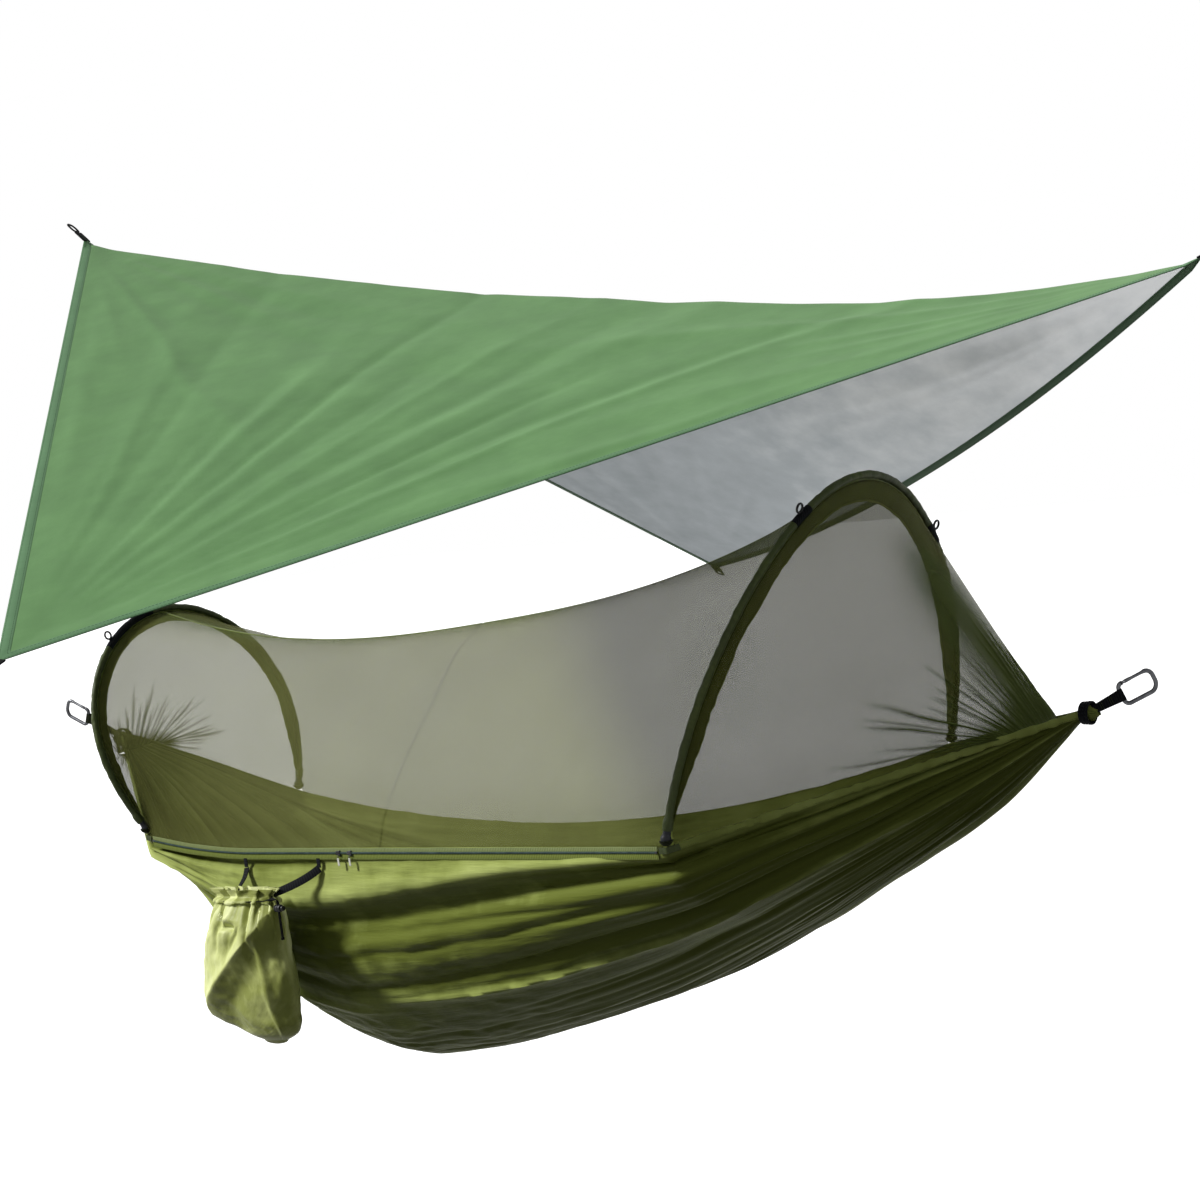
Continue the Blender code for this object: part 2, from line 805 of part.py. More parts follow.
def make_hoop_feet(maker, hoop, carrier):
    upright = (Vector((1.0, 0.0, 0.0)), Vector((0.0, 1.0, 0.0)), world_up)
    for index, name in ((0, "near"), (1, "far")):
        place, frame = hoop.foot_frame(index)
        maker.add(f"{hoop.label}_cap_{name}", turned(cap_profile(), place, frame), "cap_plastic", carrier)
        maker.add(f"{hoop.label}_cup_{name}", turned(cup_profile(), place, upright), "cup_webbing")


def make_guy_ring(maker, hoop, index, name, carrier):
    """Flat ring sewn to the outside of the sleeve for a guy line."""
    place, outward, inboard = hoop.station(index)
    centre = place + outward * (channel_outer() + ring_radius + touch_gap)
    frame = (outward, inboard.cross(outward), inboard)
    body = extruded(circle(ring_radius, ring_sides), ring_thickness, centre, frame,
                    [circle(ring_hole_radius, ring_sides)])
    maker.add(name, body, "ring_plastic", carrier)


# Mosquito net

def hoop_seat(hoop, angle, face):
    """Where the net meets a hoop's band; face is 1 inboard and -1 outboard."""
    place, outward, inboard = hoop.frame(angle)
    height = (place - hoop.centre).dot(hoop.up)
    fade = exp(-(height / net_cap_fade)**2)
    stand_off = band_thickness / 2 + net_edge_gap
    seat = place - outward * net_seat_inset + inboard * face * stand_off
    corner = rim_point(hoop.centre.x - hoop.side * face * net_cap_clearance, -1 if angle < pi / 2 else 1)
    return seat.lerp(corner, fade)


def net_angles():
    return [pi * i / net_rows for i in range(net_rows + 1)]


def rim_point(x, side):
    height = near_rim(x) if side < 0 else far_rim(x)
    return Vector((x, side * rim_half(x), height + net_edge_gap + net_thickness / 2))


def mid_net_point(foot_hoop, head_hoop, share, angle):
    """Net between the hoops: an arch at each hoop, and a slack tent half-way."""
    place = hoop_seat(foot_hoop, angle, 1).lerp(hoop_seat(head_hoop, angle, 1), share)
    middle = 1 - abs(2 * share - 1)**ridge_slack_power
    rise = sin(angle)
    side = -1 if angle < pi / 2 else 1
    foot_angle = 0.0 if side < 0 else pi
    lowest = hoop_seat(foot_hoop, foot_angle, 1).lerp(hoop_seat(head_hoop, foot_angle, 1), share)
    edge = rim_point(lowest.x, side)
    tent_half = abs(edge.y) * (1 - rise)
    place.y += (side * tent_half - place.y) * middle * net_tent_share
    place.z -= ridge_sag * middle * rise
    follow = (1 - rise)**2
    place.z += (edge.z - lowest.z) * follow
    place.y += (edge.y - lowest.y) * follow * (1 - middle * net_tent_share)
    return place


def make_mid_nets(maker, foot_hoop, head_hoop):
    """Two panels that meet at a seam half-way along."""
    seam_share = net_seam_gap / hoop_span
    for name, low, high in (("foot_mid_net", 0.0, middle_share - seam_share), ("head_mid_net", middle_share + seam_share, 1.0)):
        grid = [[mid_net_point(foot_hoop, head_hoop, low + (high - low) * i / mid_net_columns, angle)
                 for angle in net_angles()] for i in range(mid_net_columns + 1)]
        maker.add(name, sheet(grid, net_thickness), "net")


def end_net_point(hoop, share, angle):
    """Net from a hoop straight down to the edges, a little short of the gather."""
    side = -1 if angle < pi / 2 else 1
    seat = hoop_seat(hoop, angle, -1)
    lowest = hoop_seat(hoop, 0.0 if side < 0 else pi, -1)
    gather_x = hoop.side * half_length
    place = seat.lerp(Vector((gather_x, 0.0, seat.z)), share)
    edge = rim_point(lowest.x + (gather_x - lowest.x) * share, side)
    place.y = seat.y / abs(lowest.y) * abs(edge.y)
    place.z = edge.z + (seat.z - lowest.z) * (1 - (1 - end_net_low_share) * share / end_net_reach_share)
    return place


def make_end_net(maker, hoop):
    grid = [[end_net_point(hoop, end_net_reach_share * i / end_net_columns, angle)
             for angle in net_angles()] for i in range(end_net_columns + 1)]
    maker.add(f"{hoop.label}_end_net", sheet(grid, net_thickness), "net")


# Zip along the near edge

class ZipLine:
    """The straight stretch of the near edge, with along, out and up axes."""

    def __init__(self):
        start_x = foot_hoop_x + hoop_span * straight_zip_share
        self.start = Vector((start_x, -rim_half(start_x), near_rim(start_x)))
        finish = Vector((head_hoop_x, -rim_half(head_hoop_x), rim_line(head_hoop_x)))
        self.length = (finish - self.start).length
        self.along = (finish - self.start).normalized()
        self.out = self.along.cross(world_up).normalized()
        self.up = self.out.cross(self.along)

    def place(self, x, out=0.0, up=0.0):
        travel = (x - self.start.x) / self.along.x
        return self.start + self.along * travel + self.out * out + self.up * up


def near_edge_path(low_x, high_x):
    """Stations along the near edge with level outward axes, for what is sewn to it."""
    inner = [x for x in bed_stations() if low_x < x < high_x]
    places = [low_x, *inner, high_x]
    points = [Vector((x, -rim_half(x), near_rim(x))) for x in places]
    out = (points[-1] - points[0]).cross(world_up).normalized()
    return [(point, out, world_up) for point in points]


def make_zip(maker):
    """Tape on the near edge, the chain along it and a stop at each end."""
    low_x = foot_hoop_x + zip_end_inset
    high_x = head_hoop_x - zip_end_inset
    tape_out = touch_gap + zip_tape_thickness
    path = near_edge_path(low_x, high_x)
    tape = sweep(path, rectangle(touch_gap, -zip_tape_height, tape_out, 0.0))
    maker.add("zip_tape", tape, "zip_tape")
    chain_top = -zip_chain_drop + zip_chain_height / 2
    chain_out = tape_out + touch_gap
    profile = rectangle(chain_out, chain_top - zip_chain_height, chain_out + zip_chain_thickness, chain_top)
    path = near_edge_path(low_x + stop_length + touch_gap, high_x - stop_length - touch_gap)
    maker.add("zip_chain", sweep(path, profile), "zip_chain")
    for name, low in (("foot", low_x), ("head", high_x - stop_length)):
        stop = sweep(near_edge_path(low, low + stop_length), profile)
        maker.add(f"zip_stop_{name}", stop, "zip_metal")


def make_slider(maker, zip_line, x, name, carrier, pull_carrier):
    """Saddle over the chain with a lug in front, and a tag that hangs from the lug."""
    tape_out = touch_gap + zip_tape_thickness
    back = tape_out + touch_gap
    chain_out = back + zip_chain_thickness
    front = tape_out + slider_depth
    channel_half = zip_chain_height / 2 + loose_gap
    half_height = slider_height / 2
    outline = [
        (back, -half_height), (front, -half_height), (front, half_height), (back, half_height),
        (back, channel_half), (chain_out + loose_gap, channel_half),
        (chain_out + loose_gap, -channel_half), (back, -channel_half)]
    centre = zip_line.place(x, up=-zip_chain_drop)
    frame = (zip_line.out, zip_line.up, zip_line.along)
    body = extruded(outline, slider_length, centre, frame)
    maker.add(f"zip_slider_{name}", body, "zip_metal", carrier)
    pull_top = -half_height - touch_gap - pull_thickness / 2
    pull_back = front - pull_thickness - slider_lug / 2
    outline = rectangle(pull_back, pull_top - pull_length, pull_back + pull_thickness, pull_top)
    pull = extruded(outline, pull_width, centre, frame)
    maker.add(f"zip_pull_{name}", pull, "pull_webbing", pull_carrier)


def pull_pivot(zip_line, x):
    front = touch_gap + zip_tape_thickness + slider_depth
    pull_out = front - pull_thickness / 2 - slider_lug / 2
    top = -zip_chain_drop - slider_height / 2 - touch_gap - pull_thickness / 2
    return zip_line.place(x, pull_out, top)


# Pouch with its drawcord

class PouchShape:
    """Places on the pouch, which hangs square to the zip line."""

    def __init__(self, zip_line):
        self.zip_line = zip_line
        x = -half_length + pouch_centre_inset
        self.rim = zip_line.place(x)
        self.mouth = self.rim - world_up * pouch_drop + zip_line.out * pouch_stand_off
        self.frame = (zip_line.along, zip_line.out)
        self.tab_drop = zip_tape_height + touch_gap
        self.hinge_drop = self.tab_drop + pouch_tab_height + loose_gap + pouch_strap_thickness / 2
        self.hinge_out = touch_gap + pouch_tab_thickness / 2
        self.strap_offsets = (-pouch_mouth_width * foot_strap_place_share,
                              pouch_mouth_width * head_strap_place_share)

    def hinge(self):
        return self.rim + self.zip_line.out * self.hinge_out - self.zip_line.up * self.hinge_drop


# Each row is drop, width and depth (both 0 at the mouth and 1 at the fullest), and lean toward the head
pouch_neck_shares = ((0.000, 0.00, 0.00, 0.00), (0.060, 0.14, 0.36, 0.00), (0.168, 0.42, 0.85, 0.00),
                     (0.380, 0.72, 1.00, -0.06), (0.573, 1.00, 1.00, -0.075))
# Each row is drop, width and depth (both as shares of the fullest), and lean toward the head
pouch_sack_shares = ((0.700, 1.00, 0.94, -0.07), (0.804, 0.90, 0.84, -0.03), (0.890, 0.74, 0.68, 0.05),
                     (0.965, 0.50, 0.46, 0.10), (1.000, 0.26, 0.24, 0.13))


def pouch_sizes():
    """Rows of drop, half-width, half-depth and lean, from the mouth to the bottom."""
    rows = []
    for drop, wide, deep, lean in pouch_neck_shares:
        rows.append((drop * pouch_height, (pouch_mouth_width + (pouch_width - pouch_mouth_width) * wide) / 2,
                     (pouch_mouth_depth + (pouch_depth - pouch_mouth_depth) * deep) / 2, lean * pouch_width))
    for drop, wide, deep, lean in pouch_sack_shares:
        rows.append((drop * pouch_height, pouch_width * wide / 2, pouch_depth * deep / 2, lean * pouch_width))
    return rows


def pouch_rings(shape, wall):
    """Elliptical rings from the mouth down; the wall moves each ring inward."""
    rings = []
    for drop, half_width, half_depth, lean in pouch_sizes():
        lift = wall if drop == pouch_height else 0.0
        centre = shape.mouth - world_up * (drop - lift) + shape.frame[0] * lean
        rings.append([centre + shape.frame[0] * (half_width - wall) * cos(2 * pi * i / pouch_sides)
                      + shape.frame[1] * (half_depth - wall) * sin(2 * pi * i / pouch_sides)
                      for i in range(pouch_sides)])
    return rings


def make_pouch(maker, shape, carrier):
    body = bmesh.new()
    outer = [[body.verts.new(place) for place in ring] for ring in pouch_rings(shape, 0.0)]
    inner = [[body.verts.new(place) for place in ring] for ring in pouch_rings(shape, pouch_wall)]
    for layer in (outer, inner):
        for upper, lower in zip(layer, layer[1:]):
            bridge_loop(body, upper, lower)
        body.faces.new(layer[-1])
    bridge_loop(body, outer[0], inner[0])
    maker.add("pouch_bag", body, "pouch_fabric", carrier)


def make_pouch_straps(maker, shape, carrier):
    """A tab on the edge and a strap from it to the mouth, at each end of the mouth."""
    zip_line = shape.zip_line
    tab_low = -shape.tab_drop - pouch_tab_height
    for name, offset in zip(("foot", "head"), shape.strap_offsets):
        start = shape.rim + zip_line.along * offset
        frame = (zip_line.out, zip_line.up, zip_line.along)
        tab = extruded(
            rectangle(touch_gap, tab_low, touch_gap + pouch_tab_thickness, -shape.tab_drop),
            pouch_tab_width, start, frame)
        maker.add(f"pouch_tab_{name}", tab, "strap_webbing")
        top = start + zip_line.out * shape.hinge_out - zip_line.up * shape.hinge_drop
        share = min(1.0, abs(offset) / (pouch_mouth_width / 2))
        mouth_half = pouch_mouth_depth / 2 * sqrt(max(0.0, 1 - share**2))
        reach_along = zip_line.along * min(offset, pouch_mouth_width / 2 - pouch_strap_width / 2)
        foot = shape.mouth + reach_along - zip_line.out * (mouth_half - pouch_wall / 2)
        foot = foot + world_up * (touch_gap + pouch_strap_thickness / 2)
        run = (foot - top).normalized()
        thick_axis = run.cross(zip_line.along).normalized()
        stations = [(top, zip_line.along, thick_axis), (foot, zip_line.along, thick_axis)]
        half_width = pouch_strap_width / 2
        half_thick = pouch_strap_thickness / 2
        strap = sweep(stations, rectangle(-half_width, -half_thick, half_width, half_thick))
        maker.add(f"pouch_strap_{name}", strap, "strap_webbing", carrier)


def lock_place(shape):
    """Centre of the cord lock, beside the bag at the head end of its mouth."""
    along = pouch_width / 2 + drawcord_radius + touch_gap * 2
    out = pouch_depth / 4
    return shape.mouth + shape.frame[0] * along + shape.frame[1] * out - world_up * lock_length


def drawcord_route(shape):
    """Round the mouth once, outside its first fold, then down through the lock beside its own start."""
    lock = lock_place(shape)
    mouth, fold = pouch_sizes()[:2]
    drop, half_width, half_depth = [(mouth[k] + fold[k]) / 2 for k in range(3)]
    clear = drawcord_radius + touch_gap * 3
    spread = shape.frame[1] * (drawcord_radius + touch_gap)
    chord_share = cos((pi - drawcord_parting) / drawcord_steps)
    ring = []
    for i in range(drawcord_steps + 1):
        angle = drawcord_exit + drawcord_parting + 2 * (pi - drawcord_parting) * i / drawcord_steps
        ring.append(shape.mouth - world_up * drop
                    + shape.frame[0] * (half_width + clear) / chord_share * cos(angle)
                    + shape.frame[1] * (half_depth + clear) / chord_share * sin(angle))
    tail = [lock - world_up * drawcord_tail, lock, lock + world_up * (lock_radius + drawcord_radius * 2)]
    return [place + spread for place in tail] + ring + [place - spread for place in reversed(tail)]


def make_drawcord(maker, shape, carrier):
    route = drawcord_route(shape)
    curve = bpy.data.curves.new("pouch_drawcord", "CURVE")
    curve.dimensions = "3D"
    curve.bevel_depth = drawcord_radius
    curve.bevel_resolution = 2
    curve.use_fill_caps = True
    line = curve.splines.new("POLY")
    line.points.add(len(route) - 1)
    for point, place in zip(line.points, route):
        point.co = (*(place - carrier.location), 1.0)
    curve.materials.append(maker.materials["cord"].copy())
    item = bpy.data.objects.new("pouch_drawcord", curve)
    item.parent = carrier
    bpy.context.collection.objects.link(item)


def make_cord_lock(maker, shape, carrier, button_carrier):
    """Barrel across the cords with a sprung button in its end."""
    lock = lock_place(shape)
    along, out = shape.frame
    frame = (out, world_up, along)
    half = lock_length / 2
    barrel = sweep([(lock - along * half, out, world_up), (lock + along * half, out, world_up)],
                   circle(lock_radius, ring_sides))
    slot_half = (drawcord_radius + touch_gap) * 2 + touch_gap
    slot_narrow = drawcord_radius + touch_gap * 2
    slot = extruded(rectangle(-slot_half, -lock_radius * 2, slot_half, lock_radius * 2),
                    slot_narrow * 2, lock, frame)
    barrel = cut(barrel, slot)
    bore_floor = slot_narrow + lock_wall / 2
    bore = sweep([(lock + along * bore_floor, out, world_up), (lock + along * lock_length, out, world_up)],
                 clear_circle(button_stem_radius + touch_gap, ring_sides))
    barrel = cut(barrel, bore)
    maker.add("cord_lock_body", barrel, "lock_plastic", carrier)
    stem_floor = bore_floor + lock_travel + touch_gap
    head_floor = half + lock_travel + touch_gap
    profile = [(0.0, stem_floor), (button_stem_radius, stem_floor), (button_stem_radius, head_floor),
               (button_radius, head_floor), (button_radius, head_floor + button_length),
               (0.0, head_floor + button_length)]
    maker.add("cord_lock_button", turned(profile, lock, frame), "lock_plastic", button_carrier)


# Rain fly

def fly_point(u, v):
    """Square folded along its foot-to-head diagonal, dished a little, with its far head edge slack."""
    a, b, c, d = fly_foot_corner, fly_near_corner, fly_head_corner, fly_far_corner
    if u >= v:
        folded = a * (1 - u) + b * (u - v) + c * v
    else:
        folded = a * (1 - v) + d * (v - u) + c * u
    saddle = a * ((1 - u) * (1 - v)) + b * (u * (1 - v)) + c * (u * v) + d * ((1 - u) * v)
    return folded.lerp(saddle, fly_dish_share) - world_up * (fly_far_sag * 4 * u * (1 - u) * v**2)


def fly_normal(u, v):
    """Unit normal, from points a small step to either side."""
    along = fly_point(min(1.0, u + fly_step_share), v) - fly_point(max(0.0, u - fly_step_share), v)
    across = fly_point(u, min(1.0, v + fly_step_share)) - fly_point(u, max(0.0, v - fly_step_share))
    return along.cross(across).normalized()


def fly_edge():
    """Shares (u, v) round the fly's edge, corner by corner."""
    steps = [i / fly_cells for i in range(fly_cells)]
    return ([(s, 0.0) for s in steps] + [(1.0, s) for s in steps]
            + [(1 - s, 1.0) for s in steps] + [(0.0, 1 - s) for s in steps])


def make_fly(maker):
    steps = [i / fly_cells for i in range(fly_cells + 1)]
    grid = [[fly_point(u, v) for v in steps] for u in steps]
    maker.add("fly_panel", sheet(grid, fly_thickness), "fly_fabric")
    middle = fly_point(middle_share, middle_share)
    shares = fly_edge()
    stations = []
    for index, (u, v) in enumerate(shares):
        place = fly_point(u, v)
        ahead = fly_point(*shares[(index + 1) % len(shares)]) - place
        behind = place - fly_point(*shares[index - 1])
        normal = fly_normal(u, v)
        out_ahead = ahead.normalized().cross(normal).normalized()
        out_behind = behind.normalized().cross(normal).normalized()
        if out_ahead.dot(place - middle) < 0:
            out_ahead.negate()
        if out_behind.dot(place - middle) < 0:
            out_behind.negate()
        mitre = (out_ahead + out_behind).normalized()
        mitre /= mitre.dot(out_ahead)
        stations.append((place, mitre, normal))
    half = fly_thickness / 2
    profile = rectangle(loose_gap, -half, fly_hem_width, half)
    maker.add("fly_hem", sweep(stations, profile, cyclic=True), "fly_hem")


def make_fly_tab(maker, name, u, v):
    """Webbing tab with an eye, beyond the hem's corner."""
    corner = fly_point(u, v)
    normal = fly_normal(u, v)
    sides = [(fly_point(abs(u - fly_probe_share), v) - corner).normalized(),
             (fly_point(u, abs(v - fly_probe_share)) - corner).normalized()]
    out = -(sides[0] + sides[1]).normalized()
    out = (out - normal * out.dot(normal)).normalized()
    half_angle = sides[0].angle(sides[1]) / 2
    start = fly_hem_width / sin(half_angle) + touch_gap * 2
    half_width = fly_tab_width / 2
    outline = rectangle(start, -half_width, start + fly_tab_length, half_width)
    eye_centre = start + fly_tab_length - fly_tab_hole_length / 2 - fly_tab_hole_width / 2
    eye = rectangle(eye_centre - fly_tab_hole_length / 2, -fly_tab_hole_width / 2,
                    eye_centre + fly_tab_hole_length / 2, fly_tab_hole_width / 2)
    frame = (out, normal.cross(out), normal)
    maker.add(f"fly_tab_{name}", extruded(outline, fly_tab_thickness, corner, frame, [eye]), "strap_webbing")


# Assembly

def add_materials(maker):
    maker.material("bed_fabric", (0.19, 0.21, 0.06), 0.55)
    maker.material("wrap_webbing", (0.02, 0.02, 0.02), 0.80)
    maker.material("strap_webbing", (0.02, 0.02, 0.02), 0.80)
    maker.material("carabiner_metal", (0.10, 0.10, 0.11), 0.35, 1.0)
    maker.material("pin_metal", (0.45, 0.45, 0.45), 0.30, 1.0)
    maker.material("rod", (0.02, 0.02, 0.02), 0.40)
    maker.material("ferrule_metal", (0.55, 0.55, 0.55), 0.30, 1.0)
    maker.material("cap_plastic", (0.04, 0.04, 0.04), 0.50)
    maker.material("cup_webbing", (0.04, 0.05, 0.02), 0.80)
    maker.material("sleeve_fabric", (0.06, 0.08, 0.02), 0.70)
    maker.material("ring_plastic", (0.02, 0.02, 0.02), 0.45)
    maker.material("net", (0.35, 0.36, 0.30), 0.90)
    maker.material("zip_tape", (0.45, 0.52, 0.30), 0.80)
    maker.material("zip_chain", (0.12, 0.18, 0.16), 0.45)
    maker.material("zip_metal", (0.08, 0.08, 0.08), 0.35, 1.0)
    maker.material("pull_webbing", (0.80, 0.80, 0.72), 0.80)
    maker.material("pouch_fabric", (0.42, 0.46, 0.20), 0.55)
    maker.material("cord", (0.02, 0.02, 0.02), 0.80)
    maker.material("lock_plastic", (0.02, 0.02, 0.02), 0.45)
    maker.material("fly_fabric", (0.13, 0.27, 0.12), 0.60)
    maker.material("fly_hem", (0.09, 0.16, 0.10), 0.75)


def build():
    clear_scene()
    head_end = HangEnd("head", 1, head_strap_reach)
    foot_end = HangEnd("foot", -1, foot_strap_reach)
    root = add_empty("hammock_root", -head_end.bearing())
    maker = Maker(root)
    add_materials(maker)
    make_bed(maker)

    for end in (head_end, foot_end):
        swing = add_empty(f"{end.label}_carabiner_axis", end.place(end.reach), root)
        gate_axis = add_empty(f"{end.label}_gate_axis", CarabinerShape(end).hinge, root)
        make_wrap(maker, end)
        make_strap(maker, end)
        make_carabiner(maker, end, swing, gate_axis)

    foot_hoop = Hoop("foot", -1, foot_hoop_height, foot_hoop_lean, foot_hoop_bulge_share, 0.0,
                     foot_band_width, foot_arc_segments)
    head_hoop = Hoop("head", 1, head_hoop_height, head_hoop_lean, 0.0, head_hoop_pinch_share,
                     head_band_width, head_arc_segments)
    third = head_arc_segments // 3
    for hoop, joints, rod_names, ferrule_names in (
            (foot_hoop, (foot_arc_segments // 2,), ("near", "far"), ("top",)),
            (head_hoop, (third, head_arc_segments - third), ("near", "top", "far"), ("near", "far"))):
        fold = add_empty(f"{hoop.label}_hoop_axis", hoop.centre, root)
        make_rods(maker, hoop, joints, rod_names, fold)
        make_ferrules(maker, hoop, joints, ferrule_names, fold)
        make_sleeve(maker, hoop, fold)
        make_hoop_feet(maker, hoop, fold)
        if hoop is head_hoop:
            make_guy_ring(maker, hoop, head_near_ring_station, "head_guy_ring_near", fold)
            make_guy_ring(maker, hoop, head_far_ring_station, "head_guy_ring_far", fold)
        else:
            make_guy_ring(maker, hoop, foot_ring_station, "foot_guy_ring", fold)

    make_mid_nets(maker, foot_hoop, head_hoop)
    make_end_net(maker, foot_hoop)
    make_end_net(maker, head_hoop)

    zip_line = ZipLine()
    make_zip(maker)
    for name, inset in (("foot", foot_slider_inset), ("head", head_slider_inset)):
        x = inset - half_length
        slide = add_empty(f"zip_slider_{name}_axis", zip_line.place(x, up=-zip_chain_drop), root)
        flap = add_empty(f"zip_pull_{name}_axis", pull_pivot(zip_line, x), root)
        make_slider(maker, zip_line, x, name, slide, flap)

    pouch = PouchShape(zip_line)
    swing = add_empty("pouch_axis", pouch.hinge(), root)
    lock_axis = add_empty("cord_lock_axis", lock_place(pouch), root)
    button_axis = add_empty("cord_lock_button_axis", lock_place(pouch), root)
    make_pouch(maker, pouch, swing)
    make_pouch_straps(maker, pouch, swing)
    make_drawcord(maker, pouch, swing)
    make_cord_lock(maker, pouch, lock_axis, button_axis)

    make_fly(maker)
    for name, u, v in (("foot", 0.0, 0.0), ("near", 1.0, 0.0), ("head", 1.0, 1.0), ("far", 0.0, 1.0)):
        make_fly_tab(maker, name, u, v)


build()
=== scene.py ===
"""Looks of the hammock tent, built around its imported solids.

Lengths are in metres and measured in hammock coordinates, where the two gathers lie on the
X axis at equal distances from the origin, the head end is at +X and the zip is at -Y.
Every mesh is moved once, by HANG_SHIFT, into the frame whose origin is the head
carabiner's bearing point.
"""

import logging
from collections.abc import Sequence
from dataclasses import dataclass, field
from enum import Enum
from functools import cache
from math import atan2, cos, pi, radians, sin, sqrt

import bpy
import numpy as np
from mathutils import Matrix, Vector


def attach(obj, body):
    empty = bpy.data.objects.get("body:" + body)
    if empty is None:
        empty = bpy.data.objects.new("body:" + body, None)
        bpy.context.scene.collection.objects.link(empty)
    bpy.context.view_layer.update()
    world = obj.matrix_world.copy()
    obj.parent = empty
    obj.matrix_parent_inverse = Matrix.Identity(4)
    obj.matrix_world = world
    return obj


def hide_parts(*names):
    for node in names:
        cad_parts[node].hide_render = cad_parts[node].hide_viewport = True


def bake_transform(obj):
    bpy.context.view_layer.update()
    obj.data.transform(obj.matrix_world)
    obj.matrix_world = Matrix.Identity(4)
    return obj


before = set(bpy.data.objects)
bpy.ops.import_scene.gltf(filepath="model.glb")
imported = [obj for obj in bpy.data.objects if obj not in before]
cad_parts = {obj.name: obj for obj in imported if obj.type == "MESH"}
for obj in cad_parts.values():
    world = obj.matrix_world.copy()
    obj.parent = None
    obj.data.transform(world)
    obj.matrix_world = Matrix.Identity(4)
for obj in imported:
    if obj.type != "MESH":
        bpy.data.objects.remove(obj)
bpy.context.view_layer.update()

log = logging.getLogger("hammock_tent")

MM = 0.001

# Photograph: the camera that was solved from it, in hammock coordinates
PHOTO_WIDTH_PX = 1200
CAMERA_FOCAL_PX = 2765.7
SENSOR_WIDTH_MM = 36.0
CAMERA_TARGET = (0.206, 0.0, 0.248)
CAMERA_DISTANCE = 5.5
CAMERA_AZIMUTH = radians(39.0)
CAMERA_ELEVATION = radians(4.931)
CAMERA_ROLL = radians(-7.5)

# Hammock bed, as in the part's source
HALF_LENGTH = 1.275
SAG_DEPTH = 0.703
FOOT_HOOP_INSET = 0.318
HEAD_HOOP_INSET = 0.599
FOOT_RIM_HALF = 0.240
HEAD_RIM_HALF = 0.485
FOOT_RIM_DROP = 0.181
HEAD_RIM_DROP = 0.141
NEAR_RIM_DIP = 0.025
FAR_RIM_DIP = 0.117
RIM_MARGIN = 0.030
STRAIGHT_ZIP_SHARE = 0.22
BUNDLE_HALF = 0.016
BUNDLE_DEPTH = 0.020
BUNDLE_MARGIN = 0.004
BUNDLE_LENGTH = 0.024
CAD_FABRIC_THICKNESS = 0.003
BOTTOM_SHARES = (
    (0.000, 0.000), (0.055, 0.130), (0.110, 0.310), (0.190, 0.630), (0.260, 0.890),
    (0.330, 0.990), (0.430, 0.965), (0.540, 0.870), (0.680, 0.695), (0.820, 0.435),
    (0.920, 0.220), (1.000, 0.000))
LOW_WIDTH_SHARES = ((0.00, 0.00), (0.13, 0.60), (0.42, 0.90), (0.68, 0.96), (0.85, 0.56), (1.00, 0.00))

# Straps and carabiners
STRAP_RISE = radians(23.0)
STRAP_TAIL = 0.020
STRAP_LOOP_WIDTH = 0.022
HEAD_STRAP_REACH = 0.066
FOOT_STRAP_REACH = 0.112
WIRE_RADIUS = 0.004
CARABINER_LENGTH = 0.080
CARABINER_WIDTH = 0.046
CARABINER_CORNER = 0.010
GATE_RADIUS = 0.0034
GATE_FOOT_REACH = 0.018
WRAP_LENGTH = 0.018

# Hoops
TUNNEL_RADIUS = 0.0072
BAND_THICKNESS = 0.0024
HEAD_BAND_WIDTH = 0.048
FOOT_BAND_WIDTH = 0.030
BAND_FOOT_SHARE = 0.25
BAND_TAPER_SHARE = 0.30
FOOT_HOOP_HEIGHT = 0.470
HEAD_HOOP_HEIGHT = 0.602
FOOT_HOOP_LEAN = radians(14.0)
HEAD_HOOP_LEAN = radians(17.0)
FOOT_HOOP_BULGE_SHARE = 0.53
HEAD_HOOP_PINCH_SHARE = 0.14
CUP_RADIUS = 0.0133
CAP_LENGTH = 0.030
CAP_RADIUS = 0.0075
CAP_BALL_RADIUS = 0.010

# Net
RIDGE_SAG = 0.146
RIDGE_SLACK_POWER = 2.6
NET_TENT_SHARE = 0.82
END_NET_REACH_SHARE = 0.73
END_NET_LOW_SHARE = 0.04
NET_SEAT_INSET = 0.010
NET_CLOSE_SHARE = 0.758

# Zip and pouch
ZIP_END_INSET = 0.024
ZIP_TAPE_HEIGHT = 0.024
ZIP_CHAIN_DROP = 0.010
FOOT_SLIDER_INSET = 1.003
HEAD_SLIDER_INSET = 1.040
POUCH_CENTRE_INSET = 0.728
POUCH_WIDTH = 0.300
POUCH_DEPTH = 0.110
POUCH_HEIGHT = 0.306
POUCH_MOUTH_WIDTH = 0.200
POUCH_MOUTH_DEPTH = 0.036
POUCH_DROP = 0.088
POUCH_STAND_OFF = 0.050
POUCH_TAB_HEIGHT = 0.016
POUCH_STRAP_SHARES = (-0.26, 1.02)
POUCH_NECK_SHARES = (
    (0.000, 0.00, 0.00, 0.000), (0.060, 0.14, 0.36, 0.000), (0.168, 0.42, 0.85, 0.000),
    (0.380, 0.72, 1.00, -0.060), (0.573, 1.00, 1.00, -0.075))
POUCH_SACK_SHARES = (
    (0.700, 1.00, 0.94, -0.070), (0.804, 0.90, 0.84, -0.030), (0.890, 0.74, 0.68, 0.050),
    (0.965, 0.50, 0.46, 0.100), (1.000, 0.26, 0.24, 0.130))
CHANNEL_SHARE = 0.030
DRAWCORD_RADIUS = 0.0013
DRAWCORD_TAIL = 0.062
DRAWCORD_STEPS = 24
DRAWCORD_EXIT = radians(30.0)
DRAWCORD_PARTING = radians(10.0)
LOCK_RADIUS = 0.0075
LOCK_LENGTH = 0.020
BUTTON_RADIUS = 0.0052
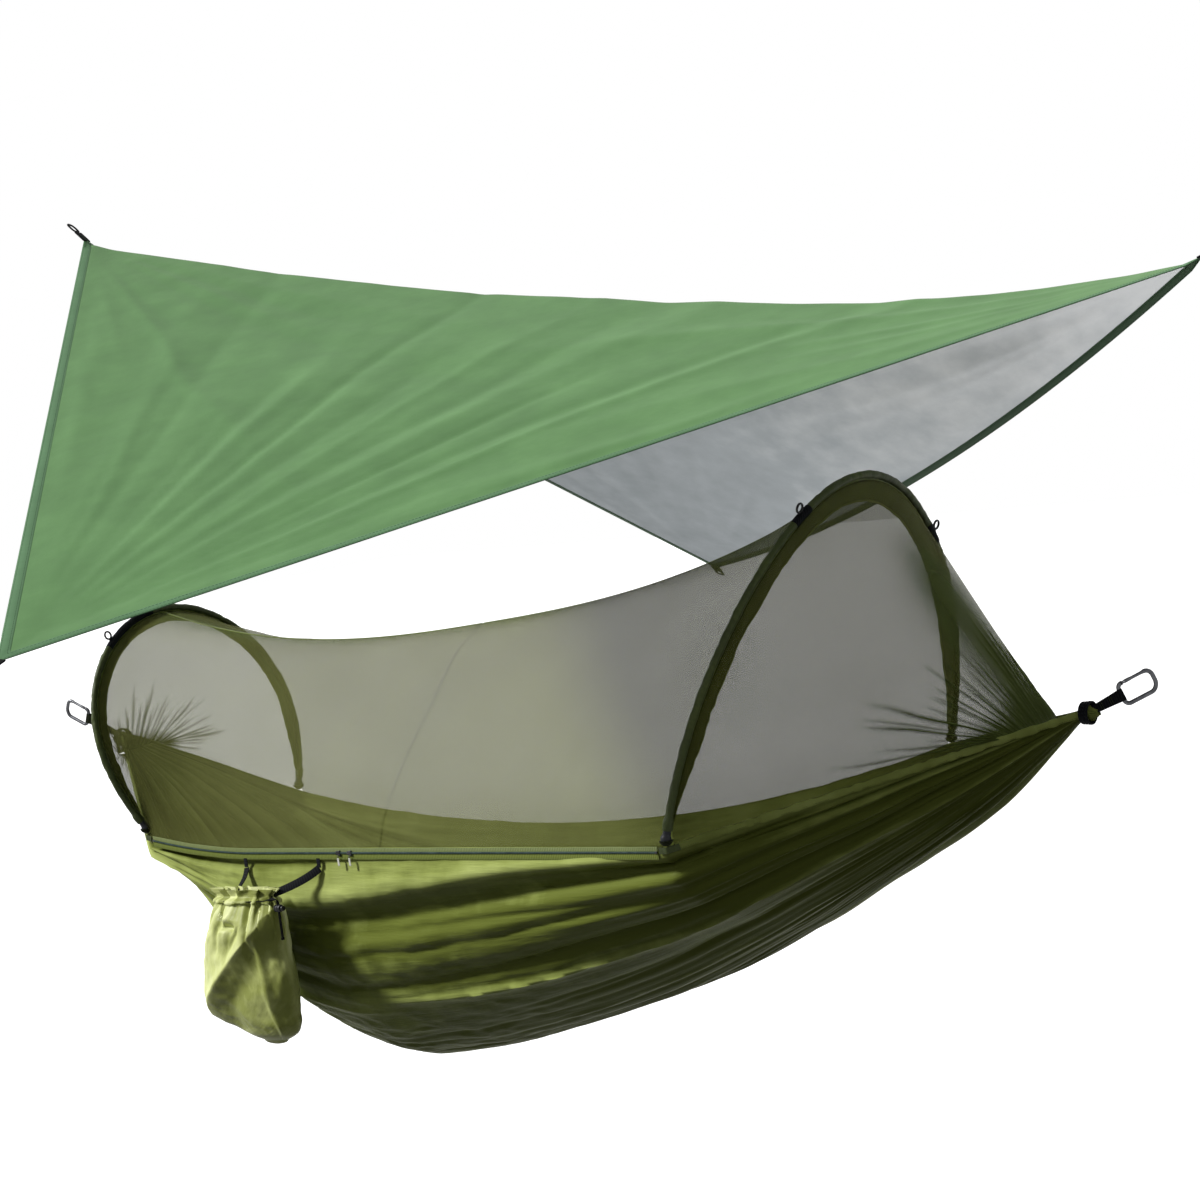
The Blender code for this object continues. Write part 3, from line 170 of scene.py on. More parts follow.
BUTTON_LENGTH = 0.005
BUTTON_TRAVEL = 0.003
TOUCH_GAP = 0.0003

# Rain fly: corners, dish and slack edge
FLY_FOOT_CORNER = (-0.905, -0.20, 1.108)
FLY_HEAD_CORNER = (1.505, 0.10, 0.752)
FLY_NEAR_CORNER = (0.355, -1.60, 0.400)
FLY_FAR_CORNER = (-0.395, 1.20, 0.186)
FLY_DISH_SHARE = 0.20
FLY_FAR_SAG = 0.075
FLY_HEM_WIDTH = 0.018

FOOT_HOOP_X = -HALF_LENGTH + FOOT_HOOP_INSET
HEAD_HOOP_X = HALF_LENGTH - HEAD_HOOP_INSET
HOOP_SPAN = HEAD_HOOP_X - FOOT_HOOP_X
HEAD_BEARING = HEAD_STRAP_REACH + CARABINER_LENGTH - 3 * WIRE_RADIUS
HANG_SHIFT = -np.array([HALF_LENGTH + cos(STRAP_RISE) * HEAD_BEARING, 0.0, sin(STRAP_RISE) * HEAD_BEARING])
ALONG = np.array([1.0, 0.0, 0.0])
ACROSS = np.array([0.0, 1.0, 0.0])
UP = np.array([0.0, 0.0, 1.0])


# Numeric helpers

def unit(vectors: np.ndarray) -> np.ndarray:
    """Vectors scaled to length 1 along the last axis."""
    return vectors / np.maximum(np.linalg.norm(vectors, axis=-1, keepdims=True), 1e-12)


def smoothstep(value: np.ndarray) -> np.ndarray:
    """3t^2 - 2t^3 of the value clipped to 0..1."""
    t = np.clip(value, 0.0, 1.0)
    return t * t * (3 - 2 * t)


def bell(value: np.ndarray, width: float, power: float = 2) -> np.ndarray:
    """exp(-(|value| / width)^power): 1 where the value is 0, fading to either side."""
    return np.exp(-(np.abs(value) / width)**power)


def turns(count: int) -> np.ndarray:
    """Angles of one whole turn in equal steps, without the last."""
    return np.linspace(0.0, 2 * pi, count, endpoint=False)


def grid_of(rows: np.ndarray, columns: np.ndarray) -> tuple[np.ndarray, np.ndarray]:
    """Two grids: the rows' values, and the columns' values."""
    return np.meshgrid(rows, columns, indexing="ij")


def spline(table: Sequence[tuple[float, float]], share: np.ndarray) -> np.ndarray:
    """Cubic Hermite curve through (share, value) pairs with finite-difference slopes.

    Args:
        table: Pairs in rising order of share.
        share: Places to evaluate.

    Returns:
        Values of (2t^3-3t^2+1)a + (t^3-2t^2+t)wm + (3t^2-2t^3)b + (t^3-t^2)wn.
    """
    places, values = np.array(table).T
    slopes = np.gradient(values, places)
    index = np.clip(np.searchsorted(places, share) - 1, 0, len(places) - 2)
    width = places[index + 1] - places[index]
    t = (share - places[index]) / width
    return ((2 * t**3 - 3 * t**2 + 1) * values[index] + (t**3 - 2 * t**2 + t) * width * slopes[index]
            + (3 * t**2 - 2 * t**3) * values[index + 1] + (t**3 - t**2) * width * slopes[index + 1])


def grid_normals(points: np.ndarray) -> np.ndarray:
    """Unit cross product of the gradients along rows and columns of a grid of points."""
    return unit(np.cross(np.gradient(points, axis=0), np.gradient(points, axis=1)))


def arc_lengths(path: np.ndarray) -> np.ndarray:
    """Running length along a path of points."""
    steps = np.linalg.norm(np.diff(path, axis=0), axis=1)
    return np.concatenate([[0.0], np.cumsum(steps)])


def resample(path: np.ndarray, count: int) -> np.ndarray:
    """The path cut at equal arc lengths."""
    lengths = arc_lengths(path)
    places = np.linspace(0.0, lengths[-1], count)
    return np.stack([np.interp(places, lengths, path[:, axis]) for axis in range(3)], axis=1)


def path_frames(path: np.ndarray, side: np.ndarray, closed: bool = False) -> tuple[np.ndarray, ...]:
    """Frames along a path.

    Args:
        path: Points, one a row.
        side: One axis or one for each point, roughly square to the path.
        closed: Whether the path closes on itself.

    Returns:
        Unit axes along the path, across it (near side) and square to both.
    """
    if closed:
        wrapped = np.concatenate([path[-1:], path, path[:1]])
        along = unit(wrapped[2:] - wrapped[:-2])
    else:
        along = unit(np.gradient(path, axis=0))
    side = np.broadcast_to(side, path.shape)
    across = unit(side - along * np.sum(side * along, axis=1, keepdims=True))
    return along, across, np.cross(along, across)


def value_noise(places: np.ndarray, seed: int, cells: int = 64) -> np.ndarray:
    """Smooth 1-D noise of about -1..1, with one knot for each whole step of places."""
    knots = np.random.default_rng(seed).uniform(-1.0, 1.0, cells + 1)
    index = np.floor(places).astype(int)
    t = smoothstep(places - index)
    return knots[index % cells] * (1 - t) + knots[(index + 1) % cells] * t


def value_noise_2d(u: np.ndarray, v: np.ndarray, seed: int, cells: int = 64) -> np.ndarray:
    """Smooth 2-D noise of about -1..1, with one knot for each whole step of u and v."""
    knots = np.random.default_rng(seed).uniform(-1.0, 1.0, (cells, cells))
    iu, iv = np.floor(u).astype(int), np.floor(v).astype(int)
    tu, tv = smoothstep(u - iu), smoothstep(v - iv)
    low = knots[iu % cells, iv % cells] * (1 - tu) + knots[(iu + 1) % cells, iv % cells] * tu
    high = knots[iu % cells, (iv + 1) % cells] * (1 - tu) + knots[(iu + 1) % cells, (iv + 1) % cells] * tu
    return low * (1 - tv) + high * tv


# Mesh helpers

@dataclass
class Shape:
    """Vertices, faces of one size and UVs in metres, ready to become one mesh."""

    vertices: np.ndarray
    faces: np.ndarray
    uvs: np.ndarray
    slots: np.ndarray | None = None
    values: dict[str, np.ndarray] = field(default_factory=dict)

    def outward_faces(self) -> np.ndarray:
        """The faces, turned over if the sum of a . (b x c) over them says that they look inward."""
        a, b, c = (self.vertices[self.faces[:, index]] for index in range(3))
        volume = np.sum(a * np.cross(b, c))
        if self.faces.shape[1] == 4:
            volume += np.sum(a * np.cross(c, self.vertices[self.faces[:, 3]]))
        return self.faces if volume > 0 else self.faces[:, ::-1]


def joined(*shapes: Shape) -> Shape:
    """Several shapes as one."""
    starts = np.cumsum([0] + [len(shape.vertices) for shape in shapes[:-1]])
    faces = np.concatenate([shape.faces + start for shape, start in zip(shapes, starts)])
    return Shape(np.concatenate([shape.vertices for shape in shapes]), faces,
                 np.concatenate([shape.uvs for shape in shapes]))


def loop_faces(rows: int, columns: int, wrap_rows: bool, wrap_columns: bool) -> np.ndarray:
    """Quads of a grid of rows x columns vertices, closed along either way where asked."""
    r = np.arange(rows if wrap_rows else rows - 1)[:, None]
    c = np.arange(columns if wrap_columns else columns - 1)[None, :]
    rn, cn = (r + 1) % rows, (c + 1) % columns
    quads = [r * columns + c, r * columns + cn, rn * columns + cn, rn * columns + c]
    return np.stack(quads, axis=-1).reshape(-1, 4)


def cap_faces(start: int, columns: int, forward: bool) -> np.ndarray:
    """Quads straight across a ring with an even number of vertices, from one side to the other."""
    i = np.arange(columns // 2 - 1)
    quads = np.stack([i, i + 1, columns - 2 - i, columns - 1 - i], axis=1) + start
    return quads if forward else quads[:, ::-1]


def tube_shape(rings: np.ndarray, closed: bool = False) -> Shape:
    """A closed skin over rings of points; open ends are capped with quads."""
    rows, columns = rings.shape[:2]
    faces = loop_faces(rows, columns, closed, True)
    if not closed:
        ends = [cap_faces(0, columns, False), cap_faces((rows - 1) * columns, columns, True)]
        faces = np.concatenate([faces, *ends])
    girth = np.linalg.norm(np.roll(rings, -1, axis=1) - rings, axis=2).cumsum(axis=1)
    length = arc_lengths(rings.mean(axis=1))
    uvs = np.stack([np.broadcast_to(length[:, None], girth.shape), girth], axis=-1)
    return Shape(rings.reshape(-1, 3), faces, uvs.reshape(-1, 2))


def swept(path: np.ndarray, side: np.ndarray, profile: np.ndarray, closed: bool = False) -> Shape:
    """Carry a closed profile along a path.

    Args:
        path: Points of the path.
        side: Axis or axes that the profile's first coordinate follows.
        profile: (points, 2), or (stations, points, 2) for one that changes.
        closed: Whether the path closes on itself.

    Returns:
        The closed skin.
    """
    _, across, third = path_frames(path, side, closed)
    outline = np.broadcast_to(profile, (len(path), *profile.shape[-2:]))
    rings = path[:, None] + across[:, None] * outline[..., :1] + third[:, None] * outline[..., 1:]
    return tube_shape(rings, closed)


def round_outline(radius: float, sides: int = 16, flat: float = 1.0) -> np.ndarray:
    """Points of a circle, with its second axis scaled by flat."""
    turn = turns(sides)
    return np.stack([np.cos(turn), np.sin(turn) * flat], axis=1) * radius


def soft_rectangle(low_a: float, low_b: float, high_a: float, high_b: float, corner: float) -> np.ndarray:
    """A rectangle with each corner cut twice, which reads as a rounded edge."""
    cuts = ((1.0, 0.0), (0.3, 0.3), (0.0, 1.0))
    ends = ((low_a, low_b, 1, 1), (high_a, low_b, -1, 1), (high_a, high_b, -1, -1), (low_a, high_b, 1, -1))
    points = []
    for index, (a, b, da, db) in enumerate(ends):
        steps = cuts if index % 2 else cuts[::-1]
        points += [(a + da * corner * ca, b + db * corner * cb) for ca, cb in steps]
    return np.array(points)


def strip_outline(half_width: float, half_depth: float, corner: float) -> np.ndarray:
    """A soft rectangle about its middle, with its half-sizes and corner in millimetres."""
    wide, deep = half_width * MM, half_depth * MM
    return soft_rectangle(-wide, -deep, wide, deep, corner * MM)


def lathe(profile: np.ndarray, place: np.ndarray, axis: np.ndarray, sides: int = 32) -> Shape:
    """Turn (radius, height) points round an axis; the ends close where the radius is 0."""
    axis = unit(np.asarray(axis, float))
    helper = np.array([1.0, 0.0, 0.0]) if abs(axis[0]) < 0.9 else np.array([0.0, 1.0, 0.0])
    first = unit(np.cross(helper, axis))
    second = np.cross(axis, first)
    turn = turns(sides)
    spokes = np.cos(turn)[:, None] * first + np.sin(turn)[:, None] * second
    radii = np.maximum(profile[:, 0], 1e-6)
    rings = place + profile[:, 1][:, None, None] * axis + radii[:, None, None] * spokes
    return tube_shape(rings)


def cloth_shape(points: np.ndarray, thickness: float, two_sided_slots: bool = False) -> Shape:
    """A thin closed sheet about a grid of points, half its thickness to either side.

    The UV runs in metres: mean length along rows and along columns. Both faces are cut into
    triangles along the same diagonals, so that neither pokes through the other at a fold.
    """
    normals = grid_normals(points)
    front = points + normals * thickness / 2
    back = points - normals * thickness / 2
    rows, columns = points.shape[:2]
    count = rows * columns
    quads = loop_faces(rows, columns, False, False)
    index = np.arange(count).reshape(rows, columns)
    rim = np.concatenate([index[0, :-1], index[:-1, -1], index[-1, :0:-1], index[:0:-1, 0]])
    after = np.roll(rim, -1)
    walls = np.stack([rim, after, after + count, rim + count], axis=1)
    sides = np.concatenate([quads, quads[:, [2, 3, 0, 1]]])[:, :3]
    walls = np.concatenate([walls, walls[:, [2, 3, 0, 1]]])[:, :3]
    faces = np.concatenate([sides[:, ::-1], sides + count, walls])
    long = np.linalg.norm(np.diff(points, axis=0), axis=2).mean(axis=1)
    wide = np.linalg.norm(np.diff(points, axis=1), axis=2).mean(axis=0)
    u = np.concatenate([[0.0], np.cumsum(long)])
    v = np.concatenate([[0.0], np.cumsum(wide)])
    uv = np.stack(np.meshgrid(u, v, indexing="ij"), axis=-1).reshape(-1, 2)
    slots = None
    if two_sided_slots:
        slots = np.repeat([0, 1, 0], [len(sides), len(sides), len(walls)])
    return Shape(np.concatenate([front.reshape(-1, 3), back.reshape(-1, 3)]), faces,
                 np.concatenate([uv, uv]), slots)


def scattered(template: Shape, places: np.ndarray, axes: np.ndarray) -> Shape:
    """Copies of a small shape, one at each place.

    Args:
        template: The shape about its own origin.
        places: (n, 3) origins.
        axes: (n, 3, 3) rows that the template's X, Y and Z turn into.

    Returns:
        All the copies as one shape.
    """
    vertices = places[:, None] + np.einsum("vk,nkj->nvj", template.vertices, axes)
    offsets = np.arange(len(places)) * len(template.vertices)
    faces = (template.faces[None] + offsets[:, None, None]).reshape(-1, template.faces.shape[1])
    return Shape(vertices.reshape(-1, 3), faces, np.tile(template.uvs, (len(places), 1)))


def pill(length: float, width: float, height: float) -> Shape:
    """A small rounded bar along X, sized in metres, for a stitch or a tooth."""
    shares = np.array([(-1.0, 0.35), (-0.8, 0.9), (0.0, 1.0), (0.8, 0.9), (1.0, 0.35)])
    sides = 8
    turn = turns(sides)
    rings = [np.stack([np.full(sides, place * length / 2), np.cos(turn) * width / 2 * girth,
                       np.sin(turn) * height / 2 * girth], axis=1) for place, girth in shares]
    return tube_shape(np.stack(rings))


def stitch_row(line: np.ndarray, face: np.ndarray, stitch: Shape, lift: float = 0.0) -> Shape:
    """Stitches that lie along a line of points on a cloth.

    Args:
        line: One point for each stitch.
        face: Axis or axes out of the cloth.
        stitch: One stitch along X, with Z out of the cloth.
        lift: How far out of the cloth each stitch lies.

    Returns:
        The whole row.
    """
    along, out, across = path_frames(line, face)
    return scattered(stitch, line + out * lift, np.stack([along, across, out], axis=1))



# Materials

def linear(hex_colour: str) -> tuple[float, float, float, float]:
    """An sRGB hex colour as linear RGBA: ((c + 0.055) / 1.055) ** 2.4 above 0.04045."""
    parts = [int(hex_colour[i:i + 2], 16) / 255 for i in (1, 3, 5)]
    channels = [c / 12.92 if c <= 0.04045 else ((c + 0.055) / 1.055)**2.4 for c in parts]
    return (*channels, 1.0)


class NodeTree:
    """Adds and links shader nodes for one material."""

    def __init__(self, name: str) -> None:
        self.material = bpy.data.materials.new(name)
        self.material.use_nodes = True
        self.tree = self.material.node_tree
        self.shader = self.tree.nodes["Principled BSDF"]
        self.output = self.tree.nodes["Material Output"]

    def add(self, kind: str, inputs: dict | None = None, **settings) -> bpy.types.Node:
        """Add a node of any kind.

        Args:
            kind: The node's Blender type.
            inputs: Socket name or index to a value or another node's output socket.
            **settings: Properties of the node itself.

        Returns:
            The new node.
        """
        node = self.tree.nodes.new(kind)
        for key, value in settings.items():
            setattr(node, key, value)
        for key, value in (inputs or {}).items():
            self.link(node, key, value)
        return node

    def link(self, node: bpy.types.Node, key: str | int, value: object) -> None:
        """Set a socket to a value, or link it to another node's output."""
        if isinstance(value, bpy.types.NodeSocket):
            self.tree.links.new(value, node.inputs[key])
        else:
            node.inputs[key].default_value = value

    def dress(self, inputs: dict) -> bpy.types.Material:
        """Set or link the shader's sockets; returns the finished material."""
        for key, value in inputs.items():
            self.link(self.shader, key, value)
        return self.material

    def ramp(self, factor: bpy.types.NodeSocket, stops: Sequence[tuple[float, str]]) -> bpy.types.NodeSocket:
        """A colour ramp through sRGB hex stops; returns its colour."""
        node = self.add("ShaderNodeValToRGB", {"Fac": factor})
        elements = node.color_ramp.elements
        while len(elements) < len(stops):
            elements.new(0.5)
        for element, (place, colour) in zip(elements, stops):
            element.position = place
            element.color = linear(colour)
        return node.outputs["Color"]

    def math(self, operation: str, a: object, b: object = 0.0) -> bpy.types.NodeSocket:
        """A math node of two values or sockets; returns its value."""
        return self.add("ShaderNodeMath", {0: a, 1: b}, operation=operation).outputs[0]

    def weighed(self, total: object, *terms: tuple[object, float]) -> bpy.types.NodeSocket:
        """The total plus each term times its weight; returns the value."""
        for term, weight in terms:
            total = self.math("ADD", total, self.math("MULTIPLY", term, weight))
        return total

    def coordinates(self, source: str,
                    scale: tuple[float, float, float] = (1.0, 1.0, 1.0)) -> bpy.types.NodeSocket:
        """Object or UV coordinates, scaled; returns the vector."""
        base = self.add("ShaderNodeTexCoord").outputs[source]
        return self.add("ShaderNodeMapping", {"Vector": base, "Scale": scale}).outputs["Vector"]

    def attribute(self, name: str) -> bpy.types.NodeSocket:
        """A point attribute of the mesh; returns its value."""
        return self.add("ShaderNodeAttribute", attribute_name=name).outputs["Fac"]

    def noise(self, vector: bpy.types.NodeSocket, scale: float, detail: float = 3.0,
              roughness: float = 0.55) -> bpy.types.NodeSocket:
        """Fractal noise, with scale in cells for each unit of the vector; returns its factor."""
        return self.add("ShaderNodeTexNoise", {
            "Vector": vector, "Scale": scale, "Detail": detail, "Roughness": roughness}).outputs["Fac"]

    def bands(self, vector: bpy.types.NodeSocket, pitch: float, way: str, **inputs) -> bpy.types.NodeSocket:
        """Bands one pitch apart: X, Y or DIAGONAL; returns their factor.

        A wave texture turns over once in pi / 10 / scale of its vector.
        """
        sockets = {"Vector": vector, "Scale": pi / 10 / pitch, **inputs}
        return self.add("ShaderNodeTexWave", sockets, wave_type="BANDS", bands_direction=way).outputs["Fac"]

    def bump(self, height: bpy.types.NodeSocket, distance: float, strength: float = 1.0,
             normal: bpy.types.NodeSocket | None = None) -> bpy.types.NodeSocket:
        """A bump of the given depth in metres; returns the normal."""
        inputs = {"Height": height, "Distance": distance, "Strength": strength}
        if normal is not None:
            inputs["Normal"] = normal
        return self.add("ShaderNodeBump", inputs).outputs["Normal"]


@dataclass(frozen=True)
class ClothFinish:
    """A woven synthetic cloth.

    Its yarns shade one another, so it gives back less of a reflection than its polymer would.
    """

    name: str
    dark: str
    middle: str
    light: str
    roughness: float
    sheen: float
    crinkle: float
    crinkle_scale: tuple[float, float]
    weave_pitch: float
    weave_depth: float
    # Strength of the painted fold shade and highlight.
    fold_shade_contrast: float = 0.0
    metallic: float = 0.0
    specular: float = 0.22
    mottle: float = 1.0

    def make(self) -> bpy.types.Material:
        """Build the cloth: colour drifts with soft noise, crinkles and weave are bumps.

        Where the fold contrast isn't 0, the point attribute "fold" (-1 in a valley, 1 on a crest)
        shifts the colour too: painted shade in the valleys and painted highlight on the crests, and
        on the bed and the fly's underside further painted shade and light. A mottle below 1 draws
        the drift toward the middle colour.

        Returns:
            The material.
        """
        nodes = NodeTree(self.name)
        drift_share, streak_share = 0.7 * self.mottle, 0.3 * self.mottle
        uv = nodes.coordinates("UV")
        drift = nodes.noise(uv, 7.0, 4.0)
        streak = nodes.noise(nodes.coordinates("UV", (*self.crinkle_scale, 1.0)), 1.0, 6.0, 0.6)
        mixed = nodes.weighed(nodes.math("MULTIPLY", drift, drift_share), (streak, streak_share))
        mixed = nodes.math("ADD", mixed, 0.5 * (1 - self.mottle))
        # Painted shade and highlight: the "fold" attribute darkens valleys and lightens crests.
        if self.fold_shade_contrast:
            mixed = nodes.weighed(mixed, (nodes.attribute("fold"), self.fold_shade_contrast))
        colour = nodes.ramp(mixed, ((0.25, self.dark), (0.50, self.middle), (0.75, self.light)))
        weave = nodes.math("MULTIPLY", *(nodes.bands(uv, self.weave_pitch, way) for way in ("X", "Y")))
        crinkled = nodes.bump(streak, self.crinkle, 1.0)
        return nodes.dress({
            "Base Color": colour, "Normal": nodes.bump(weave, self.weave_depth, 0.6, crinkled),
            "Roughness": self.roughness, "Sheen Weight": self.sheen, "Sheen Roughness": 0.4,
            "Sheen Tint": linear(self.light), "IOR": 1.5, "Specular IOR Level": self.specular,
            "Metallic": self.metallic})


@dataclass(frozen=True)
class WebbingFinish:
    """Woven webbing with a herringbone-like rib."""

    name: str
    dark: str
    light: str
    rib_pitch: float = 1.6 * MM
    roughness: float = 0.75

    def make(self) -> bpy.types.Material:
        """Build the webbing: ribs across the tape as colour and bump. Returns the material."""
        nodes = NodeTree(self.name)
        uv = nodes.coordinates("UV")
        ribs = nodes.bands(uv, 2 * self.rib_pitch, "DIAGONAL", Distortion=1.5, Detail=1.0)
        fuzz = nodes.noise(uv, 900.0, 2.0)
        mixed = nodes.weighed(nodes.math("MULTIPLY", ribs, 0.7), (fuzz, 0.3))
        return nodes.dress({
            "Base Color": nodes.ramp(mixed, ((0.2, self.dark), (0.8, self.light))),
            "Normal": nodes.bump(mixed, 0.25 * MM, 0.8),
            "Roughness": self.roughness, "Specular IOR Level": 0.06})


@dataclass(frozen=True)
class NetFinish:
    """Fine mosquito netting, seen as a tinted veil that thickens where it is gathered."""

    name: str
    thread: str
    pleat: str
    dense: str
    cover: float
    mesh_pitch: float = 3.0 * MM

    def make(self) -> bpy.types.Material:
        """Build the net: alpha is the cover, more in pleats, with a faint grid. Returns the material.

        Each panel is a thin closed sheet, so a ray meets cover twice. Real netting has holes of
        about 1.2 mm; they are drawn 3 mm apart, because finer ones would only shimmer at this
        distance.
        """
        nodes = NodeTree(self.name)
        uv = nodes.coordinates("UV")
        grid = nodes.math("MAXIMUM", *(nodes.bands(uv, self.mesh_pitch, way) for way in ("X", "Y")))
        cloud = nodes.noise(uv, 4.0, 3.0)
        pleat = nodes.attribute("pleat")
        alpha = nodes.weighed(self.cover - 0.05, (grid, 0.04), (cloud, 0.06), (pleat, 0.70))
        colour = nodes.ramp(pleat, ((0.0, self.thread), (0.30, self.pleat), (1.0, self.dense)))
        return nodes.dress({"Alpha": nodes.math("MINIMUM", alpha, 0.97), "Base Color": colour,
                            "Roughness": 0.8, "Specular IOR Level": 0.2})


@dataclass(frozen=True)
class HardFinish:
    """Metal or moulded plastic with fine scratches or grain."""

    name: str
    colour: str
    worn: str
    roughness: float
    metallic: float = 0.0
    grain: float = 0.05 * MM
    grain_scale: float = 400.0

    def make(self) -> bpy.types.Material:
        """Build the finish: worn colour and roughness follow noise, grain is a bump. Returns the material."""
        nodes = NodeTree(self.name)
        place = nodes.coordinates("Object")
        cloud = nodes.noise(place, 60.0, 4.0)
        fine = nodes.noise(place, self.grain_scale, 2.0)
        colour = nodes.ramp(cloud, ((0.35, self.colour), (0.75, self.worn)))
        spread = nodes.math("MULTIPLY", nodes.math("SUBTRACT", cloud, 0.5), 0.3)
        return nodes.dress({
            "Base Color": colour, "Roughness": nodes.math("ADD", spread, self.roughness),
            "Normal": nodes.bump(fine, self.grain, 0.5), "Metallic": self.metallic, "IOR": 1.5,
            "Specular IOR Level": 0.5 if self.metallic else 0.2})


# The bed, pouch and fly cloths take painted fold shade and highlight; its strength is the value after the
# weave depth.
BED_FINISH = ClothFinish("bed_nylon_calendered", "#656e2f", "#98a358", "#b4bf72", 0.42, 0.0,
                         2.0 * MM, (7.0, 110.0), 2.0 * MM, 0.05 * MM, 0.24, 0.0, 0.02)
POUCH_FINISH = ClothFinish("pouch_nylon_calendered", "#868d48", "#c4cb84", "#dbe0a4", 0.45, 0.03,
                           1.2 * MM, (30.0, 45.0), 2.0 * MM, 0.05 * MM, 0.36, 0.0, 0.12)
SLEEVE_FINISH = ClothFinish("sleeve_nylon_dark", "#232a10", "#38421b", "#525e28", 0.55, 0.04,
                            1.5 * MM, (120.0, 60.0), 1.6 * MM, 0.05 * MM)
BAND_FINISH = ClothFinish("band_nylon_green", "#4a551c", "#626e2c", "#7c883c", 0.5, 0.04,
                          1.5 * MM, (120.0, 40.0), 1.6 * MM, 0.05 * MM)
BAND_EDGE_FINISH = ClothFinish("band_edge_nylon_pale", "#74813a", "#929e52", "#acb86c", 0.5, 0.04,
                               0.8 * MM, (150.0, 60.0), 1.6 * MM, 0.05 * MM)
FLY_TOP_FINISH = ClothFinish("fly_polyester_coated_top", "#507745", "#58814c", "#618b54", 0.55, 0.04,
                             1.0 * MM, (14.0, 14.0), 2.4 * MM, 0.04 * MM, 0.12)
FLY_UNDER_FINISH = ClothFinish("fly_polyester_silver_coat", "#8e9699", "#bcc3c7", "#fbfdfe", 0.5, 0.0,
                               1.0 * MM, (14.0, 14.0), 2.4 * MM, 0.04 * MM, 0.25, 0.6, mottle=0.3)
FLY_HEM_FINISH = ClothFinish("fly_hem_folded_polyester", "#4a6f4a", "#527852", "#5a825a", 0.6, 0.04,
                             0.6 * MM, (60.0, 60.0), 1.6 * MM, 0.05 * MM)
ZIP_TAPE_FINISH = WebbingFinish("zip_tape_woven_pale", "#6a7448", "#8f9a68", 1.2 * MM)
ZIP_TAPE_LOW_FINISH = WebbingFinish("zip_tape_woven_olive", "#606b30", "#7f8a45", 1.2 * MM)
STRAP_FINISH = WebbingFinish("strap_webbing_black", "#08090a", "#191b1e")
OLIVE_STRAP_FINISH = WebbingFinish("strap_webbing_olive_black", "#10130a", "#262b17")
PULL_FINISH = WebbingFinish("pull_cord_pale", "#b8b8ac", "#e4e4d8", 1.0 * MM)
CORD_FINISH = WebbingFinish("cord_braided_black", "#070708", "#151617", 1.2 * MM)
NET_FINISH = NetFinish("net_polyester_knitted", "#62652e", "#57632c", "#434e1d", 0.40)
CARABINER_FINISH = HardFinish("carabiner_steel_dark_plated", "#46474a", "#626366", 0.32, 1.0)
PIN_FINISH = HardFinish("pin_steel_turned", "#8a8b8e", "#a5a6a8", 0.3, 1.0)
ROD_FINISH = HardFinish("rod_fibreglass_pultruded", "#17181a", "#2a2b2d", 0.4)
FERRULE_FINISH = HardFinish("ferrule_steel_tube", "#8d8e90", "#a8a9ab", 0.3, 1.0)
CAP_FINISH = HardFinish("cap_nylon_moulded", "#1c1e21", "#303338", 0.5)
RING_FINISH = HardFinish("ring_acetal_moulded", "#0c0d0e", "#1e1f21", 0.4)
CHAIN_FINISH = HardFinish("zip_coil_nylon", "#4f625f", "#687c78", 0.45)
SLIDER_FINISH = HardFinish("slider_zinc_painted", "#1c1d1f", "#47484a", 0.35, 0.8)
LOCK_FINISH = HardFinish("lock_plastic_moulded", "#0b0c0d", "#1c1d20", 0.4)
THREAD_FINISH = HardFinish("thread_polyester_twisted", "#333b1a", "#4b5527", 0.8)
ZIP_THREAD_FINISH = HardFinish("thread_polyester_pale", "#68744c", "#8a966a", 0.8)
FLY_THREAD_FINISH = HardFinish("thread_polyester_green", "#2c472e", "#3d5c3f", 0.8)


Finish = ClothFinish | WebbingFinish | NetFinish | HardFinish


@cache
def material_of(finish: Finish) -> bpy.types.Material:
    """The material of a finish, made once."""
    return finish.make()


# Pieces

class Spin(Enum):
    """How a mesh is shaded."""

    SMOOTH = "smooth"
    CREASED = "creased"


@dataclass
class Piece:
    """One finished object: its shape, finish, body and what it stands for."""

    name: str
    shape: Shape
    finish: Finish
    body: str
    slot: str
    replaces: Sequence[str] = ()
    shading: Spin = Spin.CREASED
    crease_degrees: float = 40.0
    rides: bool = True
    under_finish: Finish | None = None

    def build(self) -> bpy.types.Object:
        """Make the mesh object, give it its finish and let it ride on its body.

        Returns:
            The new object, at the origin with its place in its vertices.
        """
        shape = self.shape
        mesh = bpy.data.meshes.new(self.name)
        mesh.from_pydata((shape.vertices + HANG_SHIFT).tolist(), [], shape.outward_faces().tolist())
        mesh.validate()
        mesh.materials.append(material_of(self.finish))
        if self.under_finish is not None:
            mesh.materials.append(material_of(self.under_finish))
            mesh.polygons.foreach_set("material_index", shape.slots.astype(np.int32))
        corners = np.zeros(len(mesh.loops), np.int32)
        mesh.loops.foreach_get("vertex_index", corners)
        layer = mesh.uv_layers.new(name="metres")
        layer.data.foreach_set("uv", shape.uvs[corners].astype(np.float32).ravel())
        for name, value in shape.values.items():
            attribute = mesh.attributes.new(name, "FLOAT", "POINT")
            attribute.data.foreach_set("value", value.astype(np.float32).ravel())
        mesh.shade_smooth()
        if self.shading is Spin.CREASED:
            mesh.set_sharp_from_angle(angle=radians(self.crease_degrees))
        item = bpy.data.objects.new(self.name, mesh)
        bpy.context.scene.collection.objects.link(item)
        if self.rides:
            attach(item, self.body)
        if self.replaces:
            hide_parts(*self.replaces)
        return item


# The hammock's lines, as in the part's source

def end_share(x: np.ndarray) -> np.ndarray:
    """0 along the bundle at either end, rising to 1 at that end's hoop."""
    inset = np.where(x <= FOOT_HOOP_X, FOOT_HOOP_INSET, HEAD_HOOP_INSET)
    return np.clip((HALF_LENGTH - np.abs(x) - BUNDLE_LENGTH) / (inset - BUNDLE_LENGTH), 0.0, 1.0)


